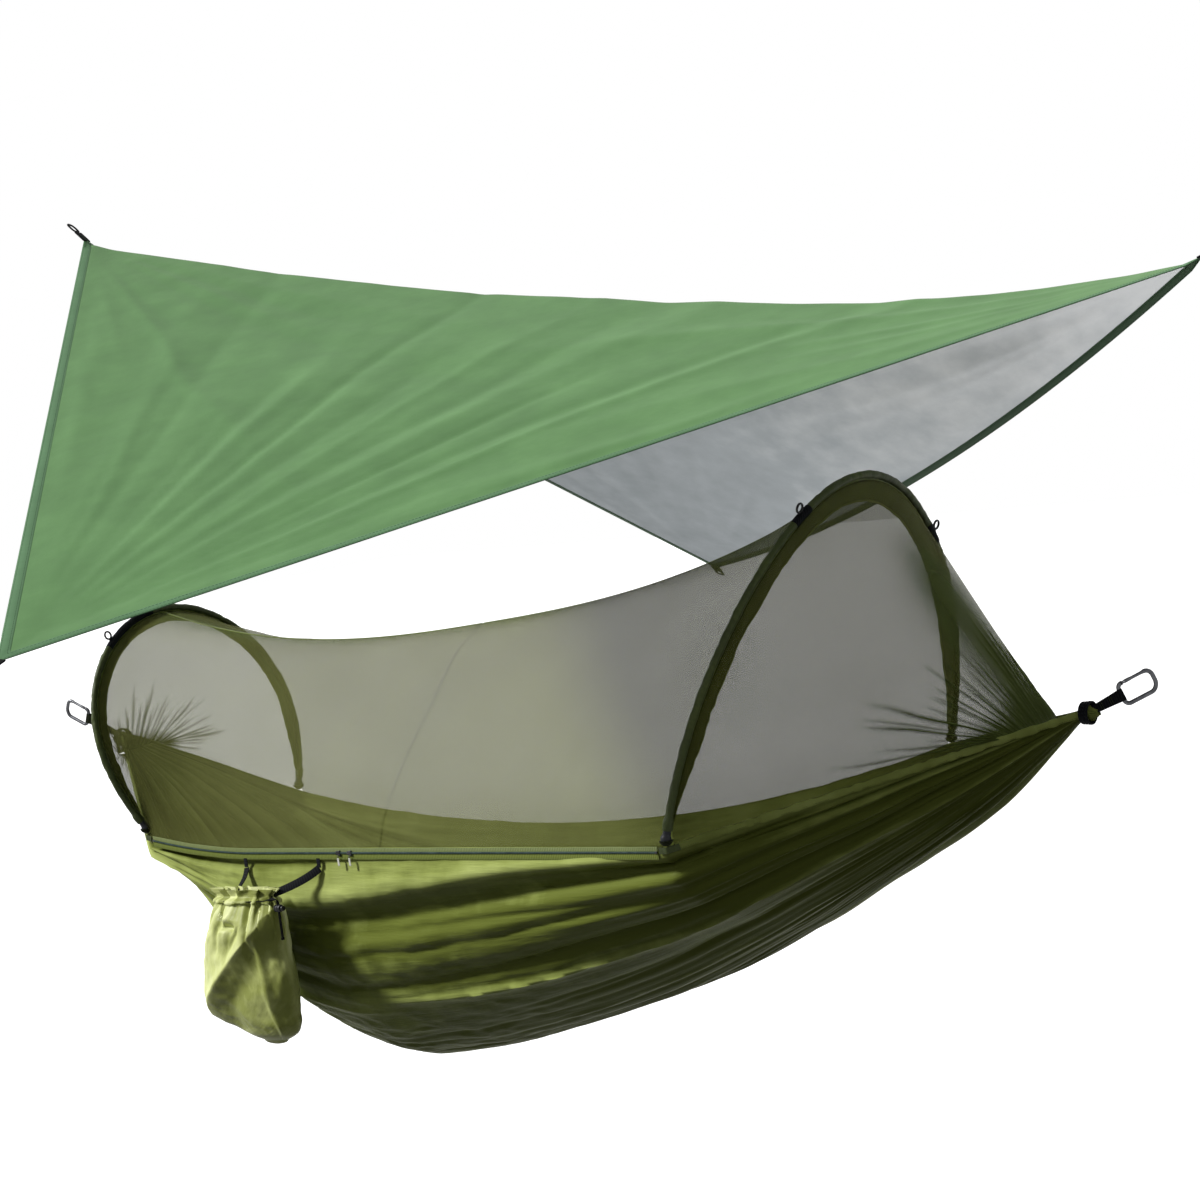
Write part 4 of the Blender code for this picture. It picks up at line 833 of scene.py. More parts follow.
def length_share(x: np.ndarray) -> np.ndarray:
    """0 to 1 along the fabric between the two bundles."""
    return np.clip((x + HALF_LENGTH - BUNDLE_LENGTH) / (2 * (HALF_LENGTH - BUNDLE_LENGTH)), 0.0, 1.0)


def by_part(x: np.ndarray, foot: np.ndarray, middle: np.ndarray, head: np.ndarray) -> np.ndarray:
    """The foot, middle or head value, by where x lies against the hoops."""
    return np.where(x <= FOOT_HOOP_X, foot, np.where(x >= HEAD_HOOP_X, head, middle))


def rim_half(x: np.ndarray) -> np.ndarray:
    """Half the width between the two edges."""
    share = (x - FOOT_HOOP_X) / HOOP_SPAN
    return by_part(x, BUNDLE_HALF + (FOOT_RIM_HALF - BUNDLE_HALF) * end_share(x),
                   FOOT_RIM_HALF + (HEAD_RIM_HALF - FOOT_RIM_HALF) * share,
                   BUNDLE_HALF + (HEAD_RIM_HALF - BUNDLE_HALF) * end_share(x))


def rim_line(x: np.ndarray) -> np.ndarray:
    """Height of the taut line through gather, hoop feet and gather."""
    share = (x - FOOT_HOOP_X) / HOOP_SPAN
    return by_part(x, -FOOT_RIM_DROP * end_share(x),
                   -FOOT_RIM_DROP + (FOOT_RIM_DROP - HEAD_RIM_DROP) * share,
                   -HEAD_RIM_DROP * end_share(x))


def near_rim(x: np.ndarray) -> np.ndarray:
    """The near edge dips behind the pouch and runs straight from there to the head hoop."""
    share = np.clip((x - FOOT_HOOP_X) / HOOP_SPAN, 0.0, 1.0)
    early = 1 - (1 - share / STRAIGHT_ZIP_SHARE)**2
    late = (1 - share) / (1 - STRAIGHT_ZIP_SHARE)
    return rim_line(x) - NEAR_RIM_DIP * np.where(share < STRAIGHT_ZIP_SHARE, early, late)


def far_rim(x: np.ndarray) -> np.ndarray:
    """The far edge sags evenly between the hoops: 4 s (1 - s) times the dip."""
    share = np.clip((x - FOOT_HOOP_X) / HOOP_SPAN, 0.0, 1.0)
    return rim_line(x) - FAR_RIM_DIP * 4 * share * (1 - share)


def side_rim(x: np.ndarray, side: np.ndarray) -> np.ndarray:
    """Height of the near (side < 0) or far edge."""
    return np.where(side < 0, near_rim(x), far_rim(x))


def edge_path(low: float, high: float, side: int, count: int, drop: float = 0.0) -> np.ndarray:
    """Points along one edge between two x places."""
    x = np.linspace(low, high, count)
    return np.stack([x, side * rim_half(x), side_rim(x, np.full(count, side)) - drop], axis=1)


def bottom(x: np.ndarray) -> np.ndarray:
    """Height of the belly line."""
    return -BUNDLE_DEPTH - (SAG_DEPTH - BUNDLE_DEPTH) * spline(BOTTOM_SHARES, length_share(x))


def low_half(x: np.ndarray) -> np.ndarray:
    """Half-width that the belly takes."""
    mean_half = (FOOT_RIM_HALF + HEAD_RIM_HALF) / 2
    share = np.maximum(0.0, spline(LOW_WIDTH_SHARES, length_share(x)))
    return BUNDLE_HALF + (mean_half - BUNDLE_HALF) * share


def edge_margin(x: np.ndarray) -> np.ndarray:
    """Height of the upright strip under each edge."""
    share = np.where((x > FOOT_HOOP_X) & (x < HEAD_HOOP_X), 1.0, end_share(x))
    return BUNDLE_MARGIN + (RIM_MARGIN - BUNDLE_MARGIN) * share


def bed_surface(x: np.ndarray, v: np.ndarray) -> np.ndarray:
    """The bed's smooth surface.

    From v = 0 at the near edge to 1 at the far edge, each half is an upright strip and then
    y = w cos(t), z = top - (top - floor) sin(t), with w = rim + (low - rim) sin(t)^2.

    Args:
        x: Place along the hammock.
        v: Place across it, 0 to 1.

    Returns:
        Points, with a last axis of 3.
    """
    strip_share = 0.06
    side = np.where(v < 0.5, -1.0, 1.0)
    inward = 1 - np.abs(2 * v - 1)
    edge = side_rim(x, side)
    top = edge - edge_margin(x)
    turn = np.clip((inward - strip_share) / (1 - strip_share), 0.0, 1.0) * pi / 2
    on_strip = inward < strip_share
    width = rim_half(x) + (low_half(x) - rim_half(x)) * np.sin(turn)**2
    z = top - (top - bottom(x)) * np.sin(turn)
    z = np.where(on_strip, edge - edge_margin(x) * inward / strip_share, z)
    return np.stack([x, side * width * np.cos(turn), z], axis=-1)


@dataclass(frozen=True)
class FoldSet:
    """Long folds that leave one gather and fade along the cloth."""

    count: int
    height: float
    seed: int
    reach_shares: tuple[float, float]
    width_shares: tuple[float, float]
    sharpness: float = 1.3
    valleys: float = 0.65
    slant: float = 0.0

    def heights(self, u: np.ndarray, v: np.ndarray) -> np.ndarray:
        """Sum over folds of h exp(-(|v - line(u)| / w)^sharpness) fall(u).

        Args:
            u: Distance from the gather, as a share of the cloth's length.
            v: Place across the cloth, 0 to 1.

        Returns:
            Heights in metres, out of the cloth.
        """
        rng = np.random.default_rng(self.seed)
        total = np.zeros_like(u)
        for index in range(self.count):
            centre = (index + 0.5 + rng.uniform(-0.4, 0.4)) / self.count
            width = rng.uniform(*self.width_shares) / self.count
            way = -1.0 if rng.uniform() < self.valleys else 1.0
            height = way * rng.uniform(0.35, 1.0) * self.height
            end = rng.uniform(*self.reach_shares)
            sway = rng.uniform(-0.6, 0.6) / self.count
            wander = value_noise(u * 6 + rng.uniform(0, 50), self.seed + index) * 0.22 / self.count
            line = centre + sway * u + wander + self.slant * (1 - 2 * centre) * u
            fall = 1 - smoothstep((u - end * 0.55) / (end * 0.45))
            total += height * np.exp(-(np.abs(v - line) / width)**self.sharpness) * fall
        return total


class Bed:
    """The gathered cloth that a person lies in, with its hems and stitching."""

    thickness: float = 0.9 * MM
    head_folds: FoldSet = FoldSet(30, 17.0 * MM, 11, (0.60, 1.10), (0.16, 0.34), 1.1, 0.85, 0.12)
    head_creases: FoldSet = FoldSet(60, 5.0 * MM, 23, (0.20, 0.8), (0.22, 0.45), 1.2, 0.65, 0.12)
    foot_folds: FoldSet = FoldSet(32, 15.0 * MM, 37, (0.20, 0.60), (0.20, 0.45), 1.2, 0.75)
    foot_creases: FoldSet = FoldSet(48, 5.0 * MM, 41, (0.08, 0.35), (0.25, 0.5), 1.2)

    def crumple(self, from_head: np.ndarray, v: np.ndarray) -> np.ndarray:
        """Soft waves all over, and sharper ridges between the head hoop and the foot."""
        ridged = 1 - 2 * np.abs(value_noise_2d(from_head * 46 + v * 22, v * 60 - from_head * 14, 6))
        there = smoothstep((from_head - 0.30) / 0.25) * smoothstep((0.95 - from_head) / 0.15)
        return value_noise_2d(from_head * 22, v * 14, 5) * 3.0 * MM + ridged * there * 1.8 * MM

    def shelf(self, x: np.ndarray, below: np.ndarray) -> np.ndarray:
        """The long fold under the zip: a lip and, below it, a hollow."""
        lip, hollow = 7.0 * MM * bell(below + 0.6, 0.8), -22.0 * MM * bell(below - 1.2, 1.1)
        return (hollow + lip) * smoothstep((HEAD_HOOP_X + 0.25 - x) / 0.25) * smoothstep((x + 0.80) / 0.25)

    def surface(self, rows: int, columns: int) -> tuple[np.ndarray, np.ndarray, np.ndarray]:
        """The cloth with its folds.

        Near the gathers the folds are as high as the small section allows: their height is
        scaled by the local half-width against full_fold_half. Rows crowd toward the gathers.

        Args:
            rows: Points along the hammock.
            columns: Points across it.

        Returns:
            Points; how far each place is folded, -1 to 1, which is drawn as painted fold shade; how
            far it is down the belly, where painted shade darkens the cloth, more toward the head end.
        """
        full_fold_half, least_scale, fold_height_for_full_shade = 0.20, 0.16, 9.0 * MM
        places = np.sin(np.linspace(-pi / 2, pi / 2, rows)) * 0.35 + np.linspace(-1, 1, rows) * 0.65
        x, v = grid_of(places * HALF_LENGTH, np.linspace(0.0, 1.0, columns))
        smooth = bed_surface(x, v)
        normals = grid_normals(smooth)
        from_head = (HALF_LENGTH - x) / (2 * HALF_LENGTH)
        scale = np.clip(rim_half(x) / full_fold_half, least_scale, 1.0)
        height = self.head_folds.heights(from_head, v) + self.head_creases.heights(from_head, v)
        height += self.foot_folds.heights(1 - from_head, v) + self.foot_creases.heights(1 - from_head, v)
        soft = self.crumple(from_head, v)
        line = 0.018 + 0.105 * np.clip((HEAD_HOOP_X - x) / HOOP_SPAN, 0.0, 1.0)**0.8
        height += self.shelf(x, (v - line) / 0.020)
        calm = smoothstep((1 - np.abs(2 * v - 1)) / 0.10)
        away_from_wrap = smoothstep((HALF_LENGTH - np.abs(x) - WRAP_LENGTH) / 0.05)
        lift = (height * scale * (0.35 + 0.65 * away_from_wrap) + soft * scale) * calm
        inside = np.array([0.0, 0.0, 0.4])
        outward = np.sign(np.sum(normals * (smooth - inside), axis=-1, keepdims=True))
        points = smooth + normals * outward * (lift - CAD_FABRIC_THICKNESS / 2)[..., None]
        folded = np.clip(height * calm / fold_height_for_full_shade, -1.0, 1.0)
        # Painted shade: the cloth below the shelf and down the belly is drawn darker, and more so toward the
        # head end.
        belly = smoothstep((v - line - 0.03) / 0.06) * smoothstep((0.62 - v) / 0.10)
        return points, folded, belly * (0.45 + 0.75 * smoothstep((x + 0.45) / 0.6))

    def hem(self, name: str, low: float, high: float, side: int) -> Piece:
        """A folded hem along one stretch of an edge."""
        path = edge_path(low, high, side, 160, 6.0 * MM)
        profile = soft_rectangle(-1.6 * MM, -6.5 * MM, 1.2 * MM, 6.5 * MM, 1.0 * MM)
        ripple = 1 + 0.25 * value_noise(np.linspace(0, 60, len(path)), 7 + side)[:, None, None]
        shape = swept(path, ACROSS * side, profile * ripple)
        return Piece(name, shape, BED_FINISH, "hammock", "bed_fabric")

    def stitches(self, name: str, low: float, high: float, side: int) -> Piece:
        """One row of lockstitch along an edge: 3.5 mm stitches, 1 mm apart."""
        pitch, drop, lift = 4.5 * MM, 10.0 * MM, 1.5 * MM
        path = edge_path(low, high, side, 400, drop)
        path = resample(path, int(arc_lengths(path)[-1] / pitch))
        axes = path_frames(path, ACROSS * side)
        rows = scattered(pill(3.5 * MM, 0.7 * MM, 0.7 * MM), path + axes[1] * lift, np.stack(axes, axis=1))
        return Piece(name, rows, THREAD_FINISH, "hammock", "bed_fabric", shading=Spin.SMOOTH)

    def build(self) -> None:
        points, folded, belly = self.surface(176, 256)
        shape = cloth_shape(points, self.thickness)
        # The "fold" attribute carries painted fold shade and the painted belly shade.
        shape.values["fold"] = np.concatenate([(-folded - belly).ravel(), (folded - belly).ravel()])
        end, hoop_gap = HALF_LENGTH - WRAP_LENGTH, 0.012
        spans = (("far", -end, end, 1), ("near_foot", -end, FOOT_HOOP_X - hoop_gap, -1),
                 ("near_head", HEAD_HOOP_X + hoop_gap, end, -1))
        for name, start, finish, side in spans:
            self.hem(f"bed_hem_{name}", start, finish, side).build()
            self.stitches(f"bed_stitches_{name}", start, finish, side).build()
        cloth = Piece("bed_cloth", shape, BED_FINISH, "hammock", "bed_fabric",
                      ["hammock_bed"], crease_degrees=70.0).build()
        log.info("bed: %d vertices", len(shape.vertices))


# Hanging gear

@dataclass(frozen=True)
class HangEnd:
    """One end's frame: along the strap, across it, and up."""

    label: str
    side: int
    reach: float

    @property
    def along(self) -> np.ndarray:
        """Axis from the gather toward the carabiner."""
        return np.array([self.side * cos(STRAP_RISE), 0.0, sin(STRAP_RISE)])

    @property
    def across(self) -> np.ndarray:
        """Level axis across the strap."""
        return np.array([0.0, float(self.side), 0.0])

    @property
    def up(self) -> np.ndarray:
        """Axis square to both."""
        return np.cross(self.along, self.across)

    @property
    def gather(self) -> np.ndarray:
        """Where the fabric ends."""
        return np.array([self.side * HALF_LENGTH, 0.0, 0.0])

    def place(self, along: float, up: float = 0.0, across: float = 0.0) -> np.ndarray:
        """A point in this frame."""
        return self.gather + self.along * along + self.up * up + self.across * across


HEAD_END = HangEnd("head", 1, HEAD_STRAP_REACH)
FOOT_END = HangEnd("foot", -1, FOOT_STRAP_REACH)


def rounded_path(corners: Sequence[np.ndarray], radii: Sequence[float], steps: int) -> np.ndarray:
    """A polyline with each inner corner replaced by an arc of its radius."""
    path = [corners[0]]
    for before, corner, after, radius in zip(corners, corners[1:], corners[2:], radii):
        back, ahead = unit(before - corner), unit(after - corner)
        half = np.arccos(np.clip(back @ ahead, -1, 1)) / 2
        centre = corner + unit(back + ahead) * (radius / np.sin(half))
        start = corner + back * radius / np.tan(half) - centre
        finish = corner + ahead * radius / np.tan(half) - centre
        swing = np.arccos(np.clip(unit(start) @ unit(finish), -1, 1))
        for share in np.linspace(0.0, 1.0, steps + 1):
            path.append(centre + (start * np.sin((1 - share) * swing) + finish * np.sin(share * swing))
                        / np.sin(swing))
    path.append(corners[-1])
    return np.array(path)


@dataclass
class HangingGear:
    """The wrap, strap and carabiner of one end."""

    end: HangEnd

    def piece(self, name: str, shape: Shape, finish: Finish, slot: str, replaces: Sequence[str] = (),
              body: str = "hammock", shading: Spin = Spin.CREASED) -> None:
        """Make one piece, with this end's label before its name and those of what it replaces."""
        label = self.end.label
        Piece(f"{label}_{name}", shape, finish, body, slot, [f"{label}_{part}" for part in replaces],
              shading).build()

    def wrap(self) -> None:
        """Webbing wound three times round the gathered cloth."""
        end, coils, turn = self.end, 3, turns(48)
        width = WRAP_LENGTH / coils
        profile = soft_rectangle(-width * 0.52, -1.3 * MM, width * 0.52, 1.5 * MM, 0.9 * MM)
        wound = []
        for index in range(coils):
            centre = np.array([end.side * (HALF_LENGTH - width * (index + 0.5)), 0.0, -BUNDLE_MARGIN])
            radius = 0.0195 + 0.0006 * np.sin(turn * 2 + index)
            path = centre + np.stack([0 * turn, np.cos(turn) * radius, np.sin(turn) * radius], axis=1)
            wound.append(swept(path, ALONG, profile, closed=True))
        self.piece("wrap_turns", joined(*wound), STRAP_FINISH, "wrap_webbing", ["gather_wrap"])

    def tuft(self) -> None:
        """Ruffled cloth beyond the wrap, in rings that shrink and pleat more outward."""
        end, turn = self.end, turns(160)
        rings = []
        for share in np.linspace(0.0, 1.0, 14):
            radius = 0.0140 * (1 - 0.55 * share**1.5)
            pleats = 0.16 + 0.14 * share
            wave = np.abs(np.sin(turn * 9 + 0.6 * np.sin(turn * 2))) * pleats + 1 - pleats
            ragged = value_noise(turn / (2 * pi) * 24, 3) * 0.004 * share
            rings.append(np.stack([end.side * (HALF_LENGTH - 0.010 + share * 0.021 + ragged),
                                   np.cos(turn) * radius * wave,
                                   np.sin(turn) * radius * wave - BUNDLE_MARGIN], axis=1))
        self.piece("gather_tuft", tube_shape(np.array(rings)), BED_FINISH, "bed_fabric")

    def strap(self) -> None:
        """Two layers of webbing that part round the carabiner, sewn together behind it."""
        end = self.end
        half_gap, layer = WIRE_RADIUS + 0.5 * MM, 1.0 * MM
        turn = np.linspace(-pi / 2, pi / 2, 25)
        run = np.linspace(-STRAP_TAIL, end.reach - 1.0 * MM, 60)
        spread = layer * 0.6 + (half_gap - layer * 0.6) * smoothstep((run - end.reach + 0.022) / 0.020)
        along = np.concatenate([run, end.reach + half_gap * np.cos(turn), run[::-1]])
        across = np.concatenate([-spread, half_gap * np.sin(turn), spread[::-1]])
        path = end.gather + along[:, None] * end.along + across[:, None] * end.across
        share = np.clip((along + STRAP_TAIL) / (end.reach + STRAP_TAIL), 0.0, 1.0)
        width = STRAP_LOOP_WIDTH * (0.58 + 0.42 * share)
        outline = soft_rectangle(-0.5, -0.5, 0.5, 0.5, 0.12)
        profiles = outline[None] * np.stack([width, np.full_like(width, layer)], axis=1)[:, None]
        self.piece("strap_webbing", swept(path, end.up, profiles),
                   STRAP_FINISH if end.side > 0 else OLIVE_STRAP_FINISH, "strap_webbing", ["strap"])
        rows = [end.place(end.reach * offset, height * STRAP_LOOP_WIDTH * 0.8, -1.2 * MM)
                for offset in (0.30, 0.36, 0.62, 0.68) for height in np.linspace(-0.38, 0.38, 8)]
        axes = np.broadcast_to(np.stack([end.up, end.across, end.along]), (len(rows), 3, 3))
        tacks = scattered(pill(1.9 * MM, 0.6 * MM, 0.6 * MM), np.array(rows), axes)
        self.piece("strap_bartacks", tacks, THREAD_FINISH, "strap_webbing", shading=Spin.SMOOTH)

    def carabiner(self) -> None:
        """Bent wire whose nose meets the gate, and the flattened tongue that the gate turns on."""
        end = self.end
        half_width = CARABINER_WIDTH / 2 - WIRE_RADIUS
        basket, crown = end.reach, end.reach + CARABINER_LENGTH - 2 * WIRE_RADIUS
        foot, nose = basket + GATE_FOOT_REACH, crown - CARABINER_CORNER - GATE_RADIUS
        wire_end = foot - 7.0 * MM
        corners = [end.place(wire_end, half_width), end.place(basket, half_width),
                   end.place(basket, -half_width), end.place(crown, -half_width),
                   end.place(crown, half_width), end.place(nose, half_width)]
        radii = (CARABINER_CORNER * 0.9, CARABINER_CORNER, 17.0 * MM, CARABINER_CORNER * 1.25)
        path = resample(rounded_path(corners, radii, 14), 170)
        wire = swept(path, end.across, round_outline(WIRE_RADIUS, 20))
        tongue_path = np.array([end.place(foot + x * MM, half_width) for x in (-14.0, -4.0, 0.0, 2.6)])
        tongue = swept(tongue_path, end.across, strip_outline(1.2, 2.6, 0.5))
        metal, body = "carabiner_metal", f"{end.label}_carabiner_body"
        self.piece("carabiner_wire", wire, CARABINER_FINISH, metal, ["carabiner"], body)
        self.piece("carabiner_tongue", tongue, CARABINER_FINISH, metal, body=body)
        self.gate(end.place(foot, half_width), nose - foot - 0.6 * MM)

    def gate(self, hinge: np.ndarray, length: float) -> None:
        """The sprung gate, a bar with a waist, and its pin."""
        end = self.end
        stations = np.array([-3.0 * MM, -1.5 * MM, 0.0, 8.0 * MM, 14.0 * MM, length - 6.0 * MM,
                             length - 1.5 * MM, length])
        girth = np.array([0.80, 0.98, 1.0, 1.0, 0.86, 0.86, 1.0, 0.92]) * GATE_RADIUS
        path = hinge + stations[:, None] * end.along
        bar = swept(path, end.across, round_outline(1.0, 20)[None] * girth[:, None, None])
        self.piece("gate_bar", bar, CARABINER_FINISH, "carabiner_metal", ["gate"], f"{end.label}_gate_body")
        half_pin = np.array([(0.0, -3.9), (1.2, -3.9), (1.5, -3.5)]) * MM
        profile = np.concatenate([half_pin, half_pin[::-1] * (1.0, -1.0)])
        self.piece("gate_rivet", lathe(profile, hinge, end.across, 20), PIN_FINISH, "pin_metal", ["gate_pin"],
                   f"{end.label}_carabiner_body")

    def build(self) -> None:
        """Make the gear of this end."""
        self.wrap()
        self.tuft()
        self.strap()
        self.carabiner()


# Hoops

@dataclass(frozen=True)
class Hoop:
    """An arch in a leaning plane: y = -a f(sin t) cos t, height = h sin t."""

    label: str
    side: int
    height: float
    lean: float
    bulge_share: float
    pinch_share: float
    band_width: float

    @property
    def centre(self) -> np.ndarray:
        """Middle of the line through the two feet."""
        x = np.array(HEAD_HOOP_X if self.side > 0 else FOOT_HOOP_X)
        inset, drop = (HEAD_HOOP_INSET, HEAD_RIM_DROP) if self.side > 0 else (FOOT_HOOP_INSET, FOOT_RIM_DROP)
        steepness = atan2(drop, inset - BUNDLE_LENGTH)
        return np.array([float(x), 0.0, float(rim_line(x)) + CUP_RADIUS / cos(steepness)])

    @property
    def up(self) -> np.ndarray:
        """Axis up the leaning plane."""
        return np.array([self.side * sin(self.lean), 0.0, cos(self.lean)])

    @property
    def inboard(self) -> np.ndarray:
        """Axis square to the plane, toward the other hoop."""
        return np.array([-self.side * cos(self.lean), 0.0, sin(self.lean)])

    def place(self, angle: np.ndarray) -> np.ndarray:
        """The rod's centre line, from the near foot (0) to the far foot (pi)."""
        foot_half = FOOT_RIM_HALF if self.side < 0 else HEAD_RIM_HALF
        rise = np.sin(angle)
        factor = 1 + self.bulge_share * (1 - (1 - rise)**2) - self.pinch_share * rise**2
        width = -foot_half * factor * np.cos(angle)
        return self.centre + width[..., None] * ACROSS + (self.height * rise)[..., None] * self.up

    def outward(self, angle: np.ndarray) -> np.ndarray:
        """Unit axis in the plane, away from the arch's middle."""
        step = 0.01
        ahead = unit(self.place(np.minimum(pi, angle + step)) - self.place(np.maximum(0.0, angle - step)))
        axis = np.cross(ahead, self.inboard)
        from_middle = self.place(angle) - (self.centre + self.up * self.height / 2)
        return axis * np.sign(np.sum(axis * from_middle, axis=-1, keepdims=True))

    @property
    def body(self) -> str:
        """Name of the body that this hoop is."""
        return f"{self.label}_hoop"

    def band_share(self, angle: np.ndarray) -> np.ndarray:
        """Share of the band's full width, narrow at the feet."""
        return np.minimum(1.0, BAND_FOOT_SHARE + (1 - BAND_FOOT_SHARE) * np.sin(angle) / BAND_TAPER_SHARE)


FOOT_HOOP = Hoop("foot", -1, FOOT_HOOP_HEIGHT, FOOT_HOOP_LEAN, FOOT_HOOP_BULGE_SHARE, 0.0, FOOT_BAND_WIDTH)
HEAD_HOOP = Hoop("head", 1, HEAD_HOOP_HEIGHT, HEAD_HOOP_LEAN, 0.0, HEAD_HOOP_PINCH_SHARE, HEAD_BAND_WIDTH)


@dataclass
class HoopDress:
    """Sleeve, band, rings, caps and cups of one hoop.

    The patch under each ring reaches over patch_reach radians before and after it.
    """

    hoop: Hoop
    ring_angles: tuple[float, ...]
    ring_names: tuple[str, ...]
    patch_reach: tuple[float, float]

    def sewn(self, name: str, shape: Shape, finish: Finish, replaces: Sequence[str] = (),
             shading: Spin = Spin.CREASED) -> None:
        """Make one piece of this hoop's sleeve."""
        Piece(name, shape, finish, self.hoop.body, "sleeve_fabric", replaces, shading).build()

    def angles(self, low_reach: float, count: int) -> np.ndarray:
        """Angles evenly along the arch, from low_reach metres above each foot."""
        fine = np.linspace(0.0, pi, 2000)
        lengths = arc_lengths(self.hoop.place(fine))
        return np.interp(np.linspace(low_reach, lengths[-1] - low_reach, count), lengths, fine)

    def tunnel(self) -> None:
        """Cloth tunnel round the rod: radius r (1 + puckers), drawn up into small pleats.

        It widens over the rod's caps.
        """
        hoop = self.hoop
        angle = self.angles(0.017, 420)
        path = hoop.place(angle)
        length = arc_lengths(path)
        from_end = np.minimum(length, length[-1] - length)[:, None]
        turn = turns(24)
        along, around = np.broadcast_arrays(length[:, None] / 0.011, turn[None] / (2 * pi) * 6)
        pucker = value_noise_2d(along, around, 31)
        pinch = value_noise(length / 0.03, 17)[:, None]
        over_cap = 2.2 * MM * smoothstep((0.024 - from_end) / 0.008)
        radius = TUNNEL_RADIUS * (1.0 + 0.13 * pucker + 0.06 * pinch) + over_cap
        profile = np.stack([np.cos(turn) * radius, np.sin(turn) * radius], axis=-1)
        self.sewn(f"{hoop.label}_sleeve_tunnel", swept(path, hoop.outward(angle), profile), SLEEVE_FINISH,
                  [f"{hoop.label}_hoop_sleeve"], Spin.SMOOTH)

    def band(self) -> None:
        """Flat cloth band on the arch's inner side, with ripples that grow toward its free edge."""
        hoop = self.hoop
        angle = self.angles(0.032, 360)
        path, out = hoop.place(angle), hoop.outward(angle)
        length = arc_lengths(path)
        share = np.linspace(0.0, 1.0, 16)
        seam = TUNNEL_RADIUS * 0.7
        width = hoop.band_width * hoop.band_share(angle)
        reach = seam + (width - seam)[:, None] * share
        along, around = np.broadcast_arrays(length[:, None] / 0.016 + share * 0.8, share * 2.2)
        ripple = value_noise_2d(along, around, 43)
        coarse = value_noise(length / 0.05, 47)[:, None]
        lift = (ripple * 1.8 * MM + coarse * 1.6 * MM) * share**0.7
        edge_wave = value_noise(length / 0.035, 53)[:, None] * 0.9 * MM * share
        drop = out[:, None] * (reach + edge_wave)[..., None]
        points = path[:, None] - drop + hoop.inboard * lift[..., None]
        self.sewn(f"{hoop.label}_sleeve_band", cloth_shape(points, 1.0 * MM), BAND_FINISH)
        hem = swept(points[:, -1], out, soft_rectangle(-3.2 * MM, -1.0 * MM, 1.0 * MM, 1.0 * MM, 0.7 * MM))
        self.sewn(f"{hoop.label}_band_hem", hem, BAND_EDGE_FINISH)
        self.stitches(f"{hoop.label}_band_stitches", points[:, 3], out)
        self.stitches(f"{hoop.label}_hem_stitches", points[:, -2], out)

    def stitches(self, name: str, path: np.ndarray, out: np.ndarray) -> None:
        """Lockstitch on both faces of the band along a path."""
        count = int(arc_lengths(path)[-1] / (4.5 * MM))
        line = resample(path, count)
        along = path_frames(line, resample(out, count))[0]
        face = np.broadcast_to(self.hoop.inboard, line.shape)
        axes = np.stack([along, np.cross(face, along), face], axis=1)
        stitch = pill(3.4 * MM, 0.7 * MM, 0.6 * MM)
        rows = [scattered(stitch, line + face * offset, axes) for offset in (-0.8 * MM, 0.8 * MM)]
        self.sewn(name, joined(*rows), THREAD_FINISH, shading=Spin.SMOOTH)

    def patches(self) -> None:
        """Black reinforcement wrapped over the tunnel where rings are sewn on."""
        before, after = self.patch_reach
        for index, ring in enumerate(self.ring_angles):
            angle = np.linspace(ring - before, ring + after, 90)
            path = self.hoop.place(angle)
            uneven = 1 + 0.05 * value_noise(arc_lengths(path) / 0.012, 61 + index)
            radius = (TUNNEL_RADIUS + 0.9 * MM) * uneven
            profile = round_outline(1.0, 24)[None] * radius[:, None, None]
            patch = swept(path, self.hoop.outward(angle), profile)
            self.sewn(f"{self.hoop.label}_sleeve_patch_{index + 1}", patch, STRAP_FINISH, shading=Spin.SMOOTH)

    def rings(self) -> None:
        """Moulded guy rings, each held by a short webbing loop."""
        across, turn = self.hoop.inboard, turns(48)
        start, top = -TUNNEL_RADIUS * 0.4, 4.0 * MM
        side = [(start, -1.0), (0.2 * top, -1.0), (top, -0.85)]
        loop = np.array([*side, (top * 1.35, 0.0), *((a, -b) for a, b in side[::-1])])
        for name, angle in zip(self.ring_names, self.ring_angles):
            at = np.array(angle)
            place, out = self.hoop.place(at), self.hoop.outward(at)
            along = np.cross(across, out)
            centre = place + out * (TUNNEL_RADIUS + 0.011 + 0.5 * MM)
            path = centre + (np.cos(turn)[:, None] * out + np.sin(turn)[:, None] * along) * 8.5 * MM
            ring = swept(path, across, round_outline(2.4 * MM, 14, 0.85), closed=True)
            Piece(f"{name}_moulded", ring, RING_FINISH, self.hoop.body, "ring_plastic", [name]).build()
            seat = place + out * (TUNNEL_RADIUS - 1.0 * MM)
            line = resample(seat + loop[:, :1] * out + loop[:, 1:] * 3.6 * MM * across, 30)
            self.sewn(f"{name}_loop", swept(line, along, strip_outline(4.0, 0.5, 0.4)), STRAP_FINISH)

    def cap(self, name: str, place: np.ndarray, axis: np.ndarray) -> None:
        """A ball-ended cap on one end of the rod, with a groove round its barrel."""
        groove, swing = CAP_RADIUS - 0.8 * MM, np.linspace(0.0, 0.72 * pi, 12)
        profile = [(CAP_BALL_RADIUS * sin(t), -CAP_BALL_RADIUS * cos(t)) for t in swing]
        profile += [(CAP_RADIUS, 9.0 * MM), (CAP_RADIUS, 12.0 * MM), (groove, 12.6 * MM), (groove, 13.6 * MM),
                    (CAP_RADIUS, 14.2 * MM), (CAP_RADIUS, CAP_LENGTH - 1.0 * MM),
                    (CAP_RADIUS - 1.0 * MM, CAP_LENGTH), (0.0, CAP_LENGTH)]
        Piece(f"{name}_moulded", lathe(np.array(profile), place, axis), CAP_FINISH, self.hoop.body,
              "cap_plastic", [name]).build()

